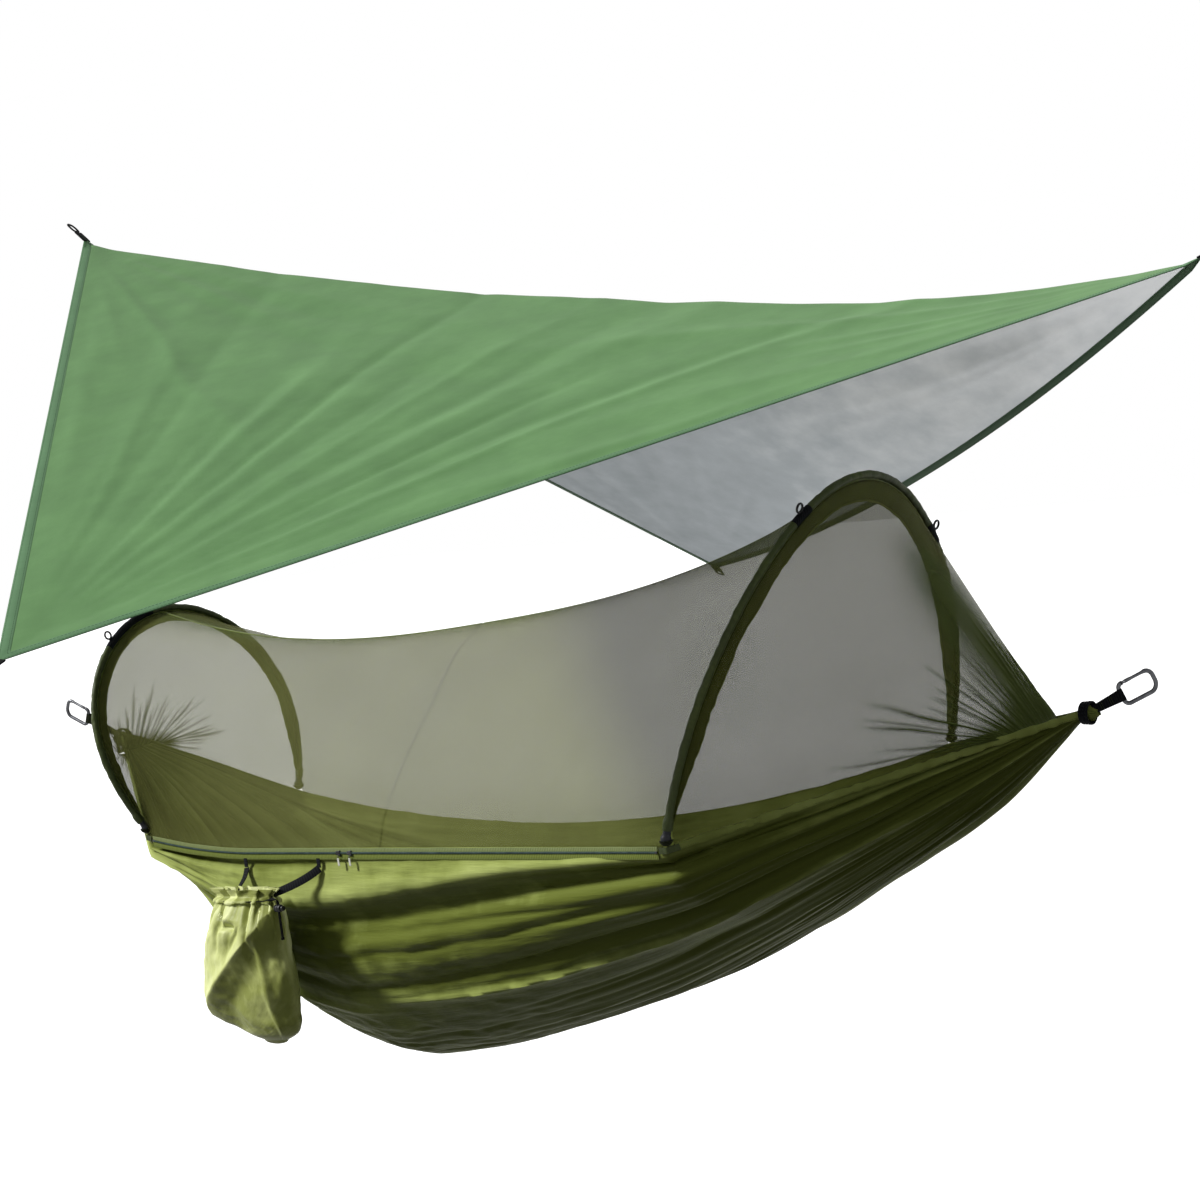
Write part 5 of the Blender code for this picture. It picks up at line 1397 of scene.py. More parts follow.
    def cup(self, name: str, place: np.ndarray, side: int) -> None:
        """The webbing cup that a cap stands in, and its strap along the edge."""
        outer = CUP_RADIUS - 0.3 * MM
        inner = outer - 2.2 * MM
        swing = np.linspace(0.0, radians(78.0), 10)
        bowl = [(outer * sin(t), -outer * cos(t)) for t in swing]
        bowl += [(inner * sin(t), -inner * cos(t)) for t in swing[::-1]]
        Piece(f"{name}_webbing", lathe(np.array(bowl), place, UP), OLIVE_STRAP_FINISH, "hammock",
              "cup_webbing", [name]).build()
        x = place[0] + np.linspace(-0.019, 0.019, 24)
        height = side_rim(x, np.full(x.shape, side)) - 7.0 * MM
        tab = np.stack([x, side * (rim_half(x) + 2.4 * MM), height], axis=1)
        Piece(f"{name}_tab", swept(tab, UP, strip_outline(6.0, 0.7, 0.5)), SLEEVE_FINISH, "hammock",
              "cup_webbing").build()

    def feet(self) -> None:
        """A cap and a cup at each foot."""
        for name, side, ends in (("near", -1, (0.0, 0.14)), ("far", 1, (pi, pi - 0.14))):
            place, ahead = self.hoop.place(np.array(ends))
            self.cap(f"{self.hoop.label}_cap_{name}", place, unit(ahead - place))
            self.cup(f"{self.hoop.label}_cup_{name}", place, side)

    def rods(self) -> None:
        """Give the rods and ferrules inside the sleeve their finishes."""
        for name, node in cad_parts.items():
            for kind, finish in (("rod", ROD_FINISH), ("ferrule", FERRULE_FINISH)):
                if name.startswith(f"{self.hoop.label}_{kind}_"):
                    for material_slot in node.material_slots:
                        material_slot.material = material_of(finish)

    def build(self) -> None:
        """Make everything sewn to or fitted on this hoop."""
        self.rods()
        self.tunnel()
        self.band()
        self.patches()
        self.rings()
        self.feet()


# Bug net

def net_seat(hoop: Hoop, angle: np.ndarray, face: int) -> np.ndarray:
    """Where the net meets a hoop's band; it comes down to the edge at each foot."""
    fade_height, clearance, gap = 0.018, 0.010, 1.0 * MM
    fade = bell(hoop.height * np.sin(angle), fade_height)[..., None]
    inset = np.minimum(NET_SEAT_INSET, hoop.band_width * hoop.band_share(angle) * 0.6)[..., None]
    stand_off = hoop.inboard * face * (BAND_THICKNESS / 2 + gap)
    seat = hoop.place(angle) - hoop.outward(angle) * inset + stand_off
    x = np.full(angle.shape, hoop.centre[0] - hoop.side * face * clearance)
    side = np.where(angle < pi / 2, -1.0, 1.0)
    return seat * (1 - fade) + rim_point(x, side) * fade


def rim_point(x: np.ndarray, side: np.ndarray) -> np.ndarray:
    """Where the net's lower edge runs, just above the fabric's edge."""
    return np.stack([x, side * rim_half(x), side_rim(x, side) - 2.0 * MM], axis=-1)


def mid_net(share: np.ndarray, angle: np.ndarray) -> np.ndarray:
    """Net between the hoops, an arch at each and a slack tent half-way, as in the part's source."""
    t = share[..., None]
    place = net_seat(FOOT_HOOP, angle, 1) * (1 - t) + net_seat(HEAD_HOOP, angle, 1) * t
    middle = 1 - np.abs(2 * share - 1)**RIDGE_SLACK_POWER
    rise = np.sin(angle)
    side = np.where(angle < pi / 2, -1.0, 1.0)
    foot_angle = np.where(side < 0, 0.0, pi)
    lowest = net_seat(FOOT_HOOP, foot_angle, 1) * (1 - t) + net_seat(HEAD_HOOP, foot_angle, 1) * t
    edge = rim_point(lowest[..., 0], side)
    follow = (1 - rise)**2
    tent_half = np.abs(edge[..., 1]) * (1 - rise)
    y = place[..., 1] + (side * tent_half - place[..., 1]) * middle * NET_TENT_SHARE
    y += (edge[..., 1] - lowest[..., 1]) * follow * (1 - middle * NET_TENT_SHARE)
    z = place[..., 2] - RIDGE_SAG * middle * rise + (edge[..., 2] - lowest[..., 2]) * follow
    return np.stack([place[..., 0], y, z], axis=-1)


def end_net(hoop: Hoop, share: np.ndarray, angle: np.ndarray) -> np.ndarray:
    """Net from a hoop straight down to the edges, a little short of the gather."""
    side = np.where(angle < pi / 2, -1.0, 1.0)
    seat = net_seat(hoop, angle, -1)
    lowest = net_seat(hoop, np.where(side < 0, 0.0, pi), -1)
    gather_x = hoop.side * HALF_LENGTH
    x = seat[..., 0] * (1 - share) + gather_x * share
    edge = rim_point(lowest[..., 0] + (gather_x - lowest[..., 0]) * share, side)
    y = seat[..., 1] / np.abs(lowest[..., 1]) * np.abs(edge[..., 1])
    fall = 1 - (1 - END_NET_LOW_SHARE) * share / END_NET_REACH_SHARE
    z = edge[..., 2] + (seat[..., 2] - lowest[..., 2]) * fall
    return np.stack([x, y, z], axis=-1)


@dataclass
class Net:
    """The canopy of netting: two mid panels and an end panel outside each hoop."""

    thickness: float = 0.5 * MM
    hinge_reach: float = 0.22

    def panel(self, name: str, points: np.ndarray, pleat: np.ndarray, hoop: Hoop, start: np.ndarray,
              finish: np.ndarray, flat: tuple[float, float], area: float) -> None:
        """One piece of net, made where it hangs instead of riding on a body."""
        shape = cloth_shape(points, self.thickness)
        shape.values["pleat"] = np.concatenate([pleat.ravel(), pleat.ravel()])
        item = Piece(f"{name}_cloth", shape, NET_FINISH, "hammock", "net", [name], Spin.SMOOTH,
                     rides=False).build()
        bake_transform(item)

    def mid(self) -> None:
        """The panels between the hoops, with shallow ripples that hang from the ridge."""
        for hoop, low, high in ((FOOT_HOOP, 0.0, 0.5), (HEAD_HOOP, 0.5, 1.0)):
            share, angle = grid_of(np.linspace(low, high, 90), np.linspace(0.0, pi, 150))
            points = mid_net(share, angle)
            rise = np.sin(angle)
            calm = smoothstep(rise / 0.25) * smoothstep((0.5 - np.abs(share - 0.5)) / 0.06)
            calm = calm * smoothstep(np.abs(angle - pi / 2) / 0.30)
            ripple = value_noise_2d(share * 9, angle * 3.0, 71) * 9.0 * MM
            ripple += value_noise_2d(share * 26, angle * 5, 73) * 2.5 * MM
            points = points + grid_normals(points) * (ripple * calm)[..., None]
            pleat = 0.28 * bell(1 - rise, 0.02, 0.8) + 0.05 * bell(rise, 0.10)
            # The net is drawn a little denser and darker toward the head end.
            pleat += -0.04 + 0.06 * share
            inboard = hoop.centre - ALONG * hoop.side * self.hinge_reach
            self.panel(f"{hoop.label}_mid_net", points, pleat, hoop, inboard, hoop.centre, (1.9, 0.85), 1.05)

    def ridge(self) -> None:
        """A narrow folded seam along the canopy's ridge, in two halves."""
        past_top = pi / 2 + 1e-4
        for hoop, low, high in ((FOOT_HOOP, 0.0, 0.498), (HEAD_HOOP, 0.502, 1.0)):
            share = np.linspace(low, high, 120)
            path = mid_net(share, np.full(share.shape, past_top)) + UP * 0.8 * MM
            seam = swept(path, ACROSS, strip_outline(3.0, 0.7, 0.5))
            item = Piece(f"{hoop.label}_ridge_seam", seam, BAND_FINISH, "hammock", "net", rides=False).build()
            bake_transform(item)

    def end(self, hoop: Hoop, pleats: FoldSet, top_share: float, plain: float, flat: tuple[float, float],
            area: float) -> None:
        """An end panel, whose pleats run together at the gather and thin out toward the hoop.

        Args:
            hoop: The hoop that it hangs from.
            pleats: Its pleats, 1 high.
            top_share: How dense it is along its top.
            plain: Pleat value between the pleats; below 0 is thinner.
            flat: Width and length when flat; not used.
            area: Its cut area; not used.
        """
        blend_reach, pleat_height = 0.10, 4.0 * MM
        share, angle = grid_of(np.linspace(0.0, NET_CLOSE_SHARE, 80), np.linspace(0.0, pi, 420))
        points = end_net(hoop, share, angle)
        toward = share / NET_CLOSE_SHARE
        lines = pleats.heights(1 - toward, angle / pi)
        calm = smoothstep(np.sin(angle) / 0.10)
        lift = lines * pleat_height * calm * smoothstep((1 - toward) / 0.05)
        points = points + grid_normals(points) * lift[..., None]
        top = bell(angle - pi / 2 - 0.05, 0.12 + 0.32 * toward) * smoothstep((toward - 0.14) / 0.35)
        top = top * top_share
        bunched = smoothstep((toward - 0.84) / 0.16)
        pleat = np.clip(lines * 0.75 * calm + top + 0.75 * bunched + plain, plain, 1.0)
        rim_way = unit(ALONG * hoop.side * HALF_LENGTH - hoop.centre)
        away = unit(hoop.up - rim_way) * blend_reach
        self.panel(f"{hoop.label}_end_net", points, pleat, hoop, hoop.centre - away, hoop.centre + away,
                   flat, area)

    def build(self) -> None:
        """Make all the netting."""
        self.mid()
        self.ridge()
        self.end(FOOT_HOOP, FoldSet(44, 1.0, 83, (0.25, 0.62), (0.13, 0.26), 1.4, 0.0), 0.0, -0.16,
                 (1.0, 0.40), 0.30)
        self.end(HEAD_HOOP, FoldSet(46, 1.0, 89, (0.22, 0.58), (0.13, 0.26), 1.4, 0.0), 0.70, 0.0,
                 (1.7, 0.62), 0.62)


# Zip

@dataclass(frozen=True)
class ZipFrame:
    """The zip's straight stretch: where it starts, and its along, out and up axes."""

    start: np.ndarray
    along: np.ndarray
    out: np.ndarray
    up: np.ndarray

    def place(self, x: float, out: float = 0.0, up: float = 0.0) -> np.ndarray:
        """The point of the stretch at x, moved out and up."""
        travel = (x - self.start[0]) / self.along[0]
        return self.start + self.along * travel + self.out * out + self.up * up


def zip_frame() -> ZipFrame:
    """The frame of the near edge from the pouch to the head hoop."""
    start_x = FOOT_HOOP_X + HOOP_SPAN * STRAIGHT_ZIP_SHARE
    start = edge_path(start_x, start_x, -1, 1)[0]
    finish = np.array([HEAD_HOOP_X, -HEAD_RIM_HALF, -HEAD_RIM_DROP])
    along = unit(finish - start)
    out = unit(np.cross(along, UP))
    return ZipFrame(start, along, out, np.cross(out, along))


@dataclass
class Zip:
    """Tape, coil, stops, sliders and pulls along the near edge."""

    line: ZipFrame
    tooth_pitch: float = 1.5 * MM
    stop_length: float = 5.0 * MM
    coil_stand_off: float = 2.8 * MM
    foot_x: float = FOOT_HOOP_X + ZIP_END_INSET
    head_x: float = HEAD_HOOP_X - ZIP_END_INSET

    def tape(self) -> None:
        """Two woven tapes whose beaded edges meet at the coil, sewn on with two rows of stitches."""
        path = edge_path(self.foot_x, self.head_x, -1, 420)
        out = unit(np.cross(path[-1] - path[0], UP))
        length = arc_lengths(path)
        path = path + (value_noise(length / 0.045, 91) * 0.5 * MM)[:, None] * UP
        back, front, corner, half_slit = 0.4 * MM, 1.4 * MM, 0.3 * MM, 1.2 * MM
        spans = ((0.2 * MM, ZIP_CHAIN_DROP - half_slit), (ZIP_CHAIN_DROP + half_slit, ZIP_TAPE_HEIGHT))
        looks = (("zip_tape_woven", ZIP_TAPE_FINISH, ["zip_tape"]),
                 ("zip_tape_low_woven", ZIP_TAPE_LOW_FINISH, []))
        for (high, low), side, (name, finish, replaces) in zip(spans, (1, -1), looks):
            tape = swept(path, out, soft_rectangle(back, high, front, low, corner))
            bead = swept(path + out * front - UP * (ZIP_CHAIN_DROP + side * 1.7 * MM), out,
                         round_outline(0.55 * MM, 8))
            Piece(name, joined(tape, bead), finish, "hammock", "zip_tape", replaces).build()
        rows = []
        stitch = pill(2.7 * MM, 0.5 * MM, 0.6 * MM)
        for drop in (2.2 * MM, ZIP_TAPE_HEIGHT - 2.2 * MM):
            line = resample(path - UP * drop + out * 1.5 * MM, int(length[-1] / (3.6 * MM)))
            rows.append(stitch_row(line, out, stitch))
        Piece("zip_stitches", joined(*rows), ZIP_THREAD_FINISH, "hammock", "zip_tape",
              shading=Spin.SMOOTH).build()

    def coil(self) -> None:
        """Interlocking nylon teeth, set alternately to either side of the line."""
        low, high = self.foot_x + self.stop_length, self.head_x - self.stop_length
        path = edge_path(low, high, -1, 600, ZIP_CHAIN_DROP)
        out = unit(np.cross(path[-1] - path[0], UP))
        count = int(arc_lengths(path)[-1] / self.tooth_pitch)
        line = resample(path + out * self.coil_stand_off, count)
        along, across, third = path_frames(line, out)
        side = np.where(np.arange(count) % 2 == 0, 1.0, -1.0)
        line = line + third * side[:, None] * 0.6 * MM
        teeth = scattered(pill(3.6 * MM, 1.9 * MM, self.tooth_pitch * 0.86), line,
                          np.stack([third, across, along], axis=1))
        Piece("zip_coil_teeth", teeth, CHAIN_FINISH, "hammock", "zip_chain", ["zip_chain"],
              Spin.SMOOTH).build()
        outline = soft_rectangle(-1.0 * MM, -2.4 * MM, 1.1 * MM, 2.4 * MM, 0.5 * MM)
        girth = np.array([0.8, 1.0, 1.0, 0.86, 0.86, 1.0, 1.0, 0.86, 0.86, 1.0, 1.0, 0.8])
        for name, low in (("foot", self.foot_x), ("head", self.head_x - self.stop_length)):
            path = edge_path(low, low + self.stop_length, -1, len(girth), ZIP_CHAIN_DROP)
            stop = swept(path + out * self.coil_stand_off, out, outline[None] * girth[:, None, None])
            Piece(f"zip_stop_{name}_clamped", stop,
                  SLIDER_FINISH, "hammock", "zip_metal", [f"zip_stop_{name}"]).build()

    def slider(self, name: str, x: float) -> None:
        """A die-cast slider: a saddle that tapers one way, with a bridge over it."""
        line = self.line
        centre = line.place(x, up=-ZIP_CHAIN_DROP)
        half_length, back, front, channel = 6.5 * MM, 1.9 * MM, 5.6 * MM, 3.0 * MM
        floor = back + 2.3 * MM
        stations = np.linspace(-half_length, half_length, 15)
        share = (stations + half_length) / (2 * half_length)
        half_height = np.interp(share, [0.0, 0.08, 0.5, 0.92, 1.0], [3.3, 4.0, 4.4, 5.2, 4.6]) * MM
        top = np.interp(share, [0.0, 0.08, 0.92, 1.0], [front - 0.6 * MM, front, front, front - 0.6 * MM])
        rings = []
        for at, half, face in zip(stations, half_height, top):
            outline = ((back, -half), (face - 0.5 * MM, -half), (face, -half + 0.6 * MM),
                       (face, half - 0.6 * MM), (face - 0.5 * MM, half), (back, half), (back, channel),
                       (floor, channel), (floor, 0.0), (floor, -channel), (back, -channel),
                       (back, -channel - 0.1 * MM))
            rings.append([centre + line.along * at + line.out * a + line.up * b for a, b in outline])
        rising = [(-4.6, 5.2), (-4.4, 6.3), (-3.4, 7.2), (-1.2, 7.4)]
        arch = np.array([*rising, *((-a, b) for a, b in rising[::-1])]) * MM
        arch_path = centre + arch[:, :1] * line.along + arch[:, 1:] * line.out
        bridge = swept(resample(arch_path, 24), line.up, strip_outline(1.2, 0.6, 0.4))
        Piece(f"zip_slider_{name}_cast", joined(tube_shape(np.array(rings)), bridge), SLIDER_FINISH,
              f"slider_{name}", "zip_metal", [f"zip_slider_{name}"]).build()
        self.pull(name, centre)

    def pull(self, name: str, slider: np.ndarray) -> None:
        """A webbing tag that hangs from a small ring under the slider's bridge."""
        line, turn = self.line, turns(32)
        out_place, top_drop, tag_length = 5.9 * MM, 5.0 * MM, 16.8 * MM
        ring_centre = slider + line.out * (out_place + 0.4 * MM) - line.up * (top_drop + 2.8 * MM)
        ring_path = (ring_centre + np.cos(turn)[:, None] * line.along * 2.4 * MM
                     + np.sin(turn)[:, None] * line.up * 1.7 * MM)
        ring = swept(ring_path, line.out, round_outline(0.55 * MM, 10), closed=True)
        run = np.linspace(0.0, 1.0, 26)
        half_width = np.interp(run, [0.0, 0.05, 0.12, 0.45, 0.86, 0.95, 1.0],
                               [1.6, 2.6, 3.2, 2.7, 3.4, 3.0, 2.0])
        thick = np.interp(run, [0.0, 0.1, 0.5, 0.95, 1.0], [0.6, 1.2, 1.3, 1.3, 0.8])
        path = slider + line.out * out_place - line.up * (top_drop + 4.2 * MM + run[:, None] * tag_length)
        outline = soft_rectangle(-1.0, -1.0, 1.0, 1.0, 0.35)
        profiles = outline[None] * np.stack([half_width * MM, thick * MM / 2], axis=1)[:, None]
        Piece(f"zip_pull_{name}_tag", swept(path, line.along, profiles), PULL_FINISH, f"pull_{name}",
              "pull_webbing", [f"zip_pull_{name}"]).build()
        Piece(f"zip_pull_{name}_ring", ring, SLIDER_FINISH, f"pull_{name}", "pull_webbing").build()

    def build(self) -> None:
        """Make the whole zip."""
        self.tape()
        self.coil()
        self.slider("foot", -HALF_LENGTH + FOOT_SLIDER_INSET)
        self.slider("head", -HALF_LENGTH + HEAD_SLIDER_INSET)


# Pouch

def smoothed(points: np.ndarray, count: int) -> np.ndarray:
    """A smooth curve through given points, by the Hermite spline over their arc length."""
    lengths = arc_lengths(points)
    places = np.linspace(0.0, lengths[-1], count)
    return np.stack([spline(list(zip(lengths, points[:, axis])), places) for axis in range(3)], axis=1)


@dataclass
class Pouch:
    """The drawstring pouch with its straps, cord and lock."""

    line: ZipFrame
    wall: float = 1.2 * MM

    @property
    def rim(self) -> np.ndarray:
        """The edge above the middle of the pouch."""
        return self.line.place(-HALF_LENGTH + POUCH_CENTRE_INSET)

    @property
    def mouth(self) -> np.ndarray:
        """Centre of the mouth."""
        return self.rim - UP * POUCH_DROP + self.line.out * POUCH_STAND_OFF

    @property
    def lock_place(self) -> np.ndarray:
        """Centre of the cord lock, beside the mouth at its head end."""
        along = POUCH_WIDTH / 2 + DRAWCORD_RADIUS + TOUCH_GAP * 2
        return self.mouth + self.line.along * along + self.line.out * POUCH_DEPTH / 4 - UP * LOCK_LENGTH

    def sizes(self, share: np.ndarray) -> tuple[np.ndarray, np.ndarray, np.ndarray]:
        """Half-width, half-depth and lean at each share of the height, by spline over the rows."""
        rows = [(drop, (POUCH_MOUTH_WIDTH + (POUCH_WIDTH - POUCH_MOUTH_WIDTH) * wide) / 2,
                 (POUCH_MOUTH_DEPTH + (POUCH_DEPTH - POUCH_MOUTH_DEPTH) * deep) / 2, lean * POUCH_WIDTH)
                for drop, wide, deep, lean in POUCH_NECK_SHARES]
        rows += [(drop, POUCH_WIDTH * wide / 2, POUCH_DEPTH * deep / 2, lean * POUCH_WIDTH)
                 for drop, wide, deep, lean in POUCH_SACK_SHARES]
        return tuple(spline([(row[0], row[column]) for row in rows], share) for column in (1, 2, 3))

    def cord_path(self) -> np.ndarray:
        """The drawcord's line: a knot, up through the lock, round the mouth and back down."""
        lock, share = self.lock_place, np.array(CHANNEL_SHARE)
        half_width, half_depth, _ = self.sizes(share)
        clear = DRAWCORD_RADIUS + TOUCH_GAP * 3
        spread = self.line.out * (DRAWCORD_RADIUS + TOUCH_GAP)
        chord_share = cos((pi - DRAWCORD_PARTING) / DRAWCORD_STEPS)
        swing = np.linspace(0.0, 2 * (pi - DRAWCORD_PARTING), DRAWCORD_STEPS + 1)
        turn = DRAWCORD_EXIT + DRAWCORD_PARTING + swing
        ring = (self.mouth - UP * POUCH_HEIGHT * share
                + self.line.along * ((half_width + clear) / chord_share * np.cos(turn))[:, None]
                + self.line.out * ((half_depth + clear) / chord_share * np.sin(turn))[:, None])
        tail = np.array([lock - UP * DRAWCORD_TAIL, lock, lock + UP * (LOCK_RADIUS + DRAWCORD_RADIUS * 2)])
        return smoothed(np.concatenate([tail + spread, ring, tail[::-1] - spread]), 240)

    def cord(self) -> None:
        """The drawcord as a braided curve, with a knot on each end."""
        path = self.cord_path()
        curve = bpy.data.curves.new("pouch_drawcord_line", "CURVE")
        curve.dimensions = "3D"
        curve.bevel_depth = DRAWCORD_RADIUS
        curve.bevel_resolution = 4
        curve.use_fill_caps = True
        thread = curve.splines.new("POLY")
        thread.points.add(len(path) - 1)
        world = path + HANG_SHIFT
        thread.points.foreach_set("co", np.concatenate([world, np.ones((len(world), 1))], axis=1).ravel())
        curve.materials.append(material_of(CORD_FINISH))
        item = bpy.data.objects.new("pouch_drawcord_braided", curve)
        bpy.context.scene.collection.objects.link(item)
        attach(item, "pouch")
        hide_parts("pouch_drawcord")
        profile = np.array([(0.0, -3.4), (1.5, -3.0), (2.3, -1.8), (2.1, -0.9), (2.5, 0.0), (2.1, 0.9),
                            (2.4, 1.8), (1.6, 2.8), (0.0, 3.2)]) * MM
        knots = [Piece(f"drawcord_knot_{name}", lathe(profile, end - UP * 1.0 * MM, UP, 20), CORD_FINISH,
                       "pouch", "cord", shading=Spin.SMOOTH).build()
                 for name, end in (("one", path[0]), ("two", path[-1]))]

    def bag_shape(self, turn: np.ndarray, share: np.ndarray, wave: np.ndarray) -> np.ndarray:
        """The bag without its creases, about its mouth: along, out and down.

        An ellipse at each height, whose radius is scaled by pleats that fade below the cord. It
        is drawn in at the neck, flares in the ruffle, stands out over the cord's channel and
        closes below the bottom.

        Args:
            turn: Angle round the bag.
            share: Share of the height.
            wave: The pleats' wave, -1 to 1.

        Returns:
            The three distances, with a last axis of 3.
        """
        level = np.clip(share, 0.0, 1.0)
        half_width, half_depth, lean = self.sizes(level)
        depth = 0.085 * bell(level, 0.15, 1.4) + 0.10 * smoothstep(-share / 0.03)
        choke = 0.06 * bell(share - 0.030, 0.018)
        flare = 0.16 * smoothstep(-share / 0.05)
        closing = np.sqrt(np.clip(1 - ((share - 1.0) / 0.03)**2, 0.0, 1.0))
        factor = (1 + depth * (wave - 0.6) - choke + flare) * np.where(share > 1.0, closing, 1.0)
        past_exit = np.abs(np.mod(turn - DRAWCORD_EXIT + pi, 2 * pi) - pi)
        channel = bell(share - CHANNEL_SHARE, 0.017, 4) * smoothstep(past_exit / 0.45)
        cover = 2 * DRAWCORD_RADIUS + self.wall + 1.2 * MM + (1 + wave) * 1.9 * MM
        wide = half_width * factor * (1 - channel) + (half_width + cover) * channel
        deep = half_depth * (factor + 0.5 * depth * wave) * (1 - channel) + (half_depth + cover) * channel
        drop = POUCH_HEIGHT * share + 5.0 * MM * level * np.sin(turn) * np.sin(level * pi)
        return np.stack([wide * np.cos(turn) + lean, deep * np.sin(turn), drop], axis=-1)

    def creases(self, turn: np.ndarray, level: np.ndarray) -> tuple[np.ndarray, np.ndarray]:
        """The big folds of the front.

        A crest runs from the lock down to the foot side with a hollow below it and a fold across
        it; above it lie a second, small fold and a pocket with a lip and two creases that spread
        from it. Shade is painted into the colour below the crest and a highlight is painted on it.

        Args:
            turn: Angle round the bag.
            level: Share of the height, 0 to 1.

        Returns:
            Heights out of the cloth, and painted shade values: below 0 darker, above 0 lighter.
        """
        across = np.cos(turn)
        from_crest = (level - (0.46 - 0.39 * across)) / 1.07
        crest = (14.0 * MM * bell(from_crest, 0.09, 1.1) - 10.0 * MM * bell(from_crest - 0.22, 0.12)
                 + 7.0 * MM * bell(across - 0.62 - 0.15 * level, 0.07) * smoothstep(from_crest / 0.08))
        second = -6.0 * MM * bell(level - 0.16 - 0.22 * (across + 0.2), 0.035)
        second = second * smoothstep((0.6 - across) / 0.6)
        beside = across + 0.13
        spreading = bell(np.abs(beside) - 0.35 + 0.9 * (level - 0.19), 0.05)
        spreading = spreading * smoothstep((level - 0.17) / 0.05) * smoothstep((0.42 - level) / 0.15)
        pocket = (-13.0 * MM * bell(beside, 0.17) * bell(level - 0.185, 0.022)
                  + 5.0 * MM * bell(beside, 0.20) * bell(level - 0.145, 0.020)
                  - 5.0 * MM * spreading)
        # Painted shade below the crest and painted highlight along it.
        shade = -0.58 * smoothstep(from_crest / 0.05) + 0.35 * bell(from_crest + 0.05, 0.06)
        there = smoothstep(np.sin(turn) / 0.4 + 0.3) * self.middle_share(level)
        return (crest + second + pocket) * there, shade * there

    def middle_share(self, level: np.ndarray) -> np.ndarray:
        """1 over the bag's middle, fading to 0 at its mouth and bottom."""
        return smoothstep(level / 0.12) * smoothstep((1.0 - level) / 0.15)

    def surface(self, turn: np.ndarray, share: np.ndarray) -> tuple[np.ndarray, np.ndarray]:
        """The bag's outer face: its shape with all creases, dents and crumples along its normal.

        Args:
            turn: Angle round the bag, 0 at the head side and a quarter turn at the front.
            share: Share of the height, 0 at the mouth and below 0 in the ruffle above it.

        Returns:
            Points, with a last axis of 3, and fold values, -1 to 1, that carry the painted shade of
            the creases, of the hanging folds and of the neck's pleats.
        """
        level = np.clip(share, 0.0, 1.0)
        wave = np.sin(turn * 15 + 1.6 * np.sin(turn * 3 + 0.4) + 0.9 * np.sin(turn * 7))
        reach = self.bag_shape(turn, share, wave)
        from_axis = reach @ np.stack([self.line.along, self.line.out, -UP])
        normals = grid_normals(from_axis)
        lean = self.sizes(level)[2][..., None] * self.line.along
        spoke = from_axis - lean + reach[..., 2:] * UP
        normals *= np.sign(np.sum(normals * spoke, axis=-1, keepdims=True))
        folds, shade = self.creases(turn, level)
        around = np.mod(turn / (2 * pi), 1.0)
        hanging = FoldSet(20, 9.0 * MM, 101, (0.22, 0.55), (0.22, 0.5), 1.2, 0.8).heights(level, around)
        hanging += FoldSet(44, 3.0 * MM, 103, (0.15, 0.35), (0.25, 0.5), 1.2, 0.7).heights(level, around)
        crumple = value_noise_2d(turn * 3.2, level * 9, 107) * 2.2 * MM
        crumple += value_noise_2d(turn * 8, level * 22, 109) * 0.9 * MM
        seam = smoothstep(np.minimum(around, 1 - around) / 0.04)
        low_calm = smoothstep(level / 0.05) * smoothstep((1.0 - level) / 0.2)
        lift = (folds + hanging * low_calm + crumple * self.middle_share(level)) * seam
        # Painted shade in the valleys of the neck's pleats.
        neck = 0.5 * np.minimum(0.0, wave) * bell(level, 0.15, 1.4)
        folded = np.clip(shade + hanging / (7.0 * MM) + neck, -1.0, 1.0)
        return self.mouth + from_axis + normals * lift[..., None], folded

    def bag(self) -> None:
        """A closed skin: up the inside from the bottom, over the ruffle and down the outside."""
        bottom_shares = 1.0 + 0.03 * np.sin(np.linspace(0.15, 1.0, 8) * pi / 2) * 0.999
        shares = np.concatenate([np.linspace(-0.045, 0.16, 46), np.linspace(0.165, 1.0, 110), bottom_shares])
        share, turn = grid_of(shares, turns(240) - pi / 2)
        outer, folded = self.surface(turn, share)
        wrapped = np.concatenate([outer[:, -1:], outer, outer[:, :1]], axis=1)
        normals = grid_normals(wrapped)[:, 1:-1]
        centre = outer.mean(axis=1, keepdims=True)
        normals *= np.sign(np.sum(normals * (outer - centre), axis=-1, keepdims=True))
        keep = len(shares) - 6
        inner = (outer - normals * self.wall)[:keep][::-1]
        shape = tube_shape(np.concatenate([inner, outer]))
        # The "fold" attribute carries the painted shade; the inner face takes it turned over.
        shape.values["fold"] = np.concatenate([-folded[:keep][::-1].ravel(), folded.ravel()])
        item = Piece("pouch_bag_cloth", shape, POUCH_FINISH, "pouch", "pouch_fabric", ["pouch_bag"],
                     crease_degrees=75.0).build()
        stitches = self.mouth_stitches(outer, normals)

    def mouth_stitches(self, outer: np.ndarray, normals: np.ndarray) -> bpy.types.Object:
        """One row of lockstitch under the cord's channel."""
        row = 22
        line = np.concatenate([outer[row], outer[row, :1]])
        face = np.concatenate([normals[row], normals[row, :1]])
        count = int(arc_lengths(line)[-1] / (4.5 * MM))
        line, face = resample(line, count)[:-1], resample(face, count)[:-1]
        shape = stitch_row(line, face, pill(3.2 * MM, 0.6 * MM, 0.7 * MM), 0.2 * MM)
        return Piece("pouch_stitches", shape, THREAD_FINISH, "pouch", "pouch_fabric",
                     shading=Spin.SMOOTH).build()

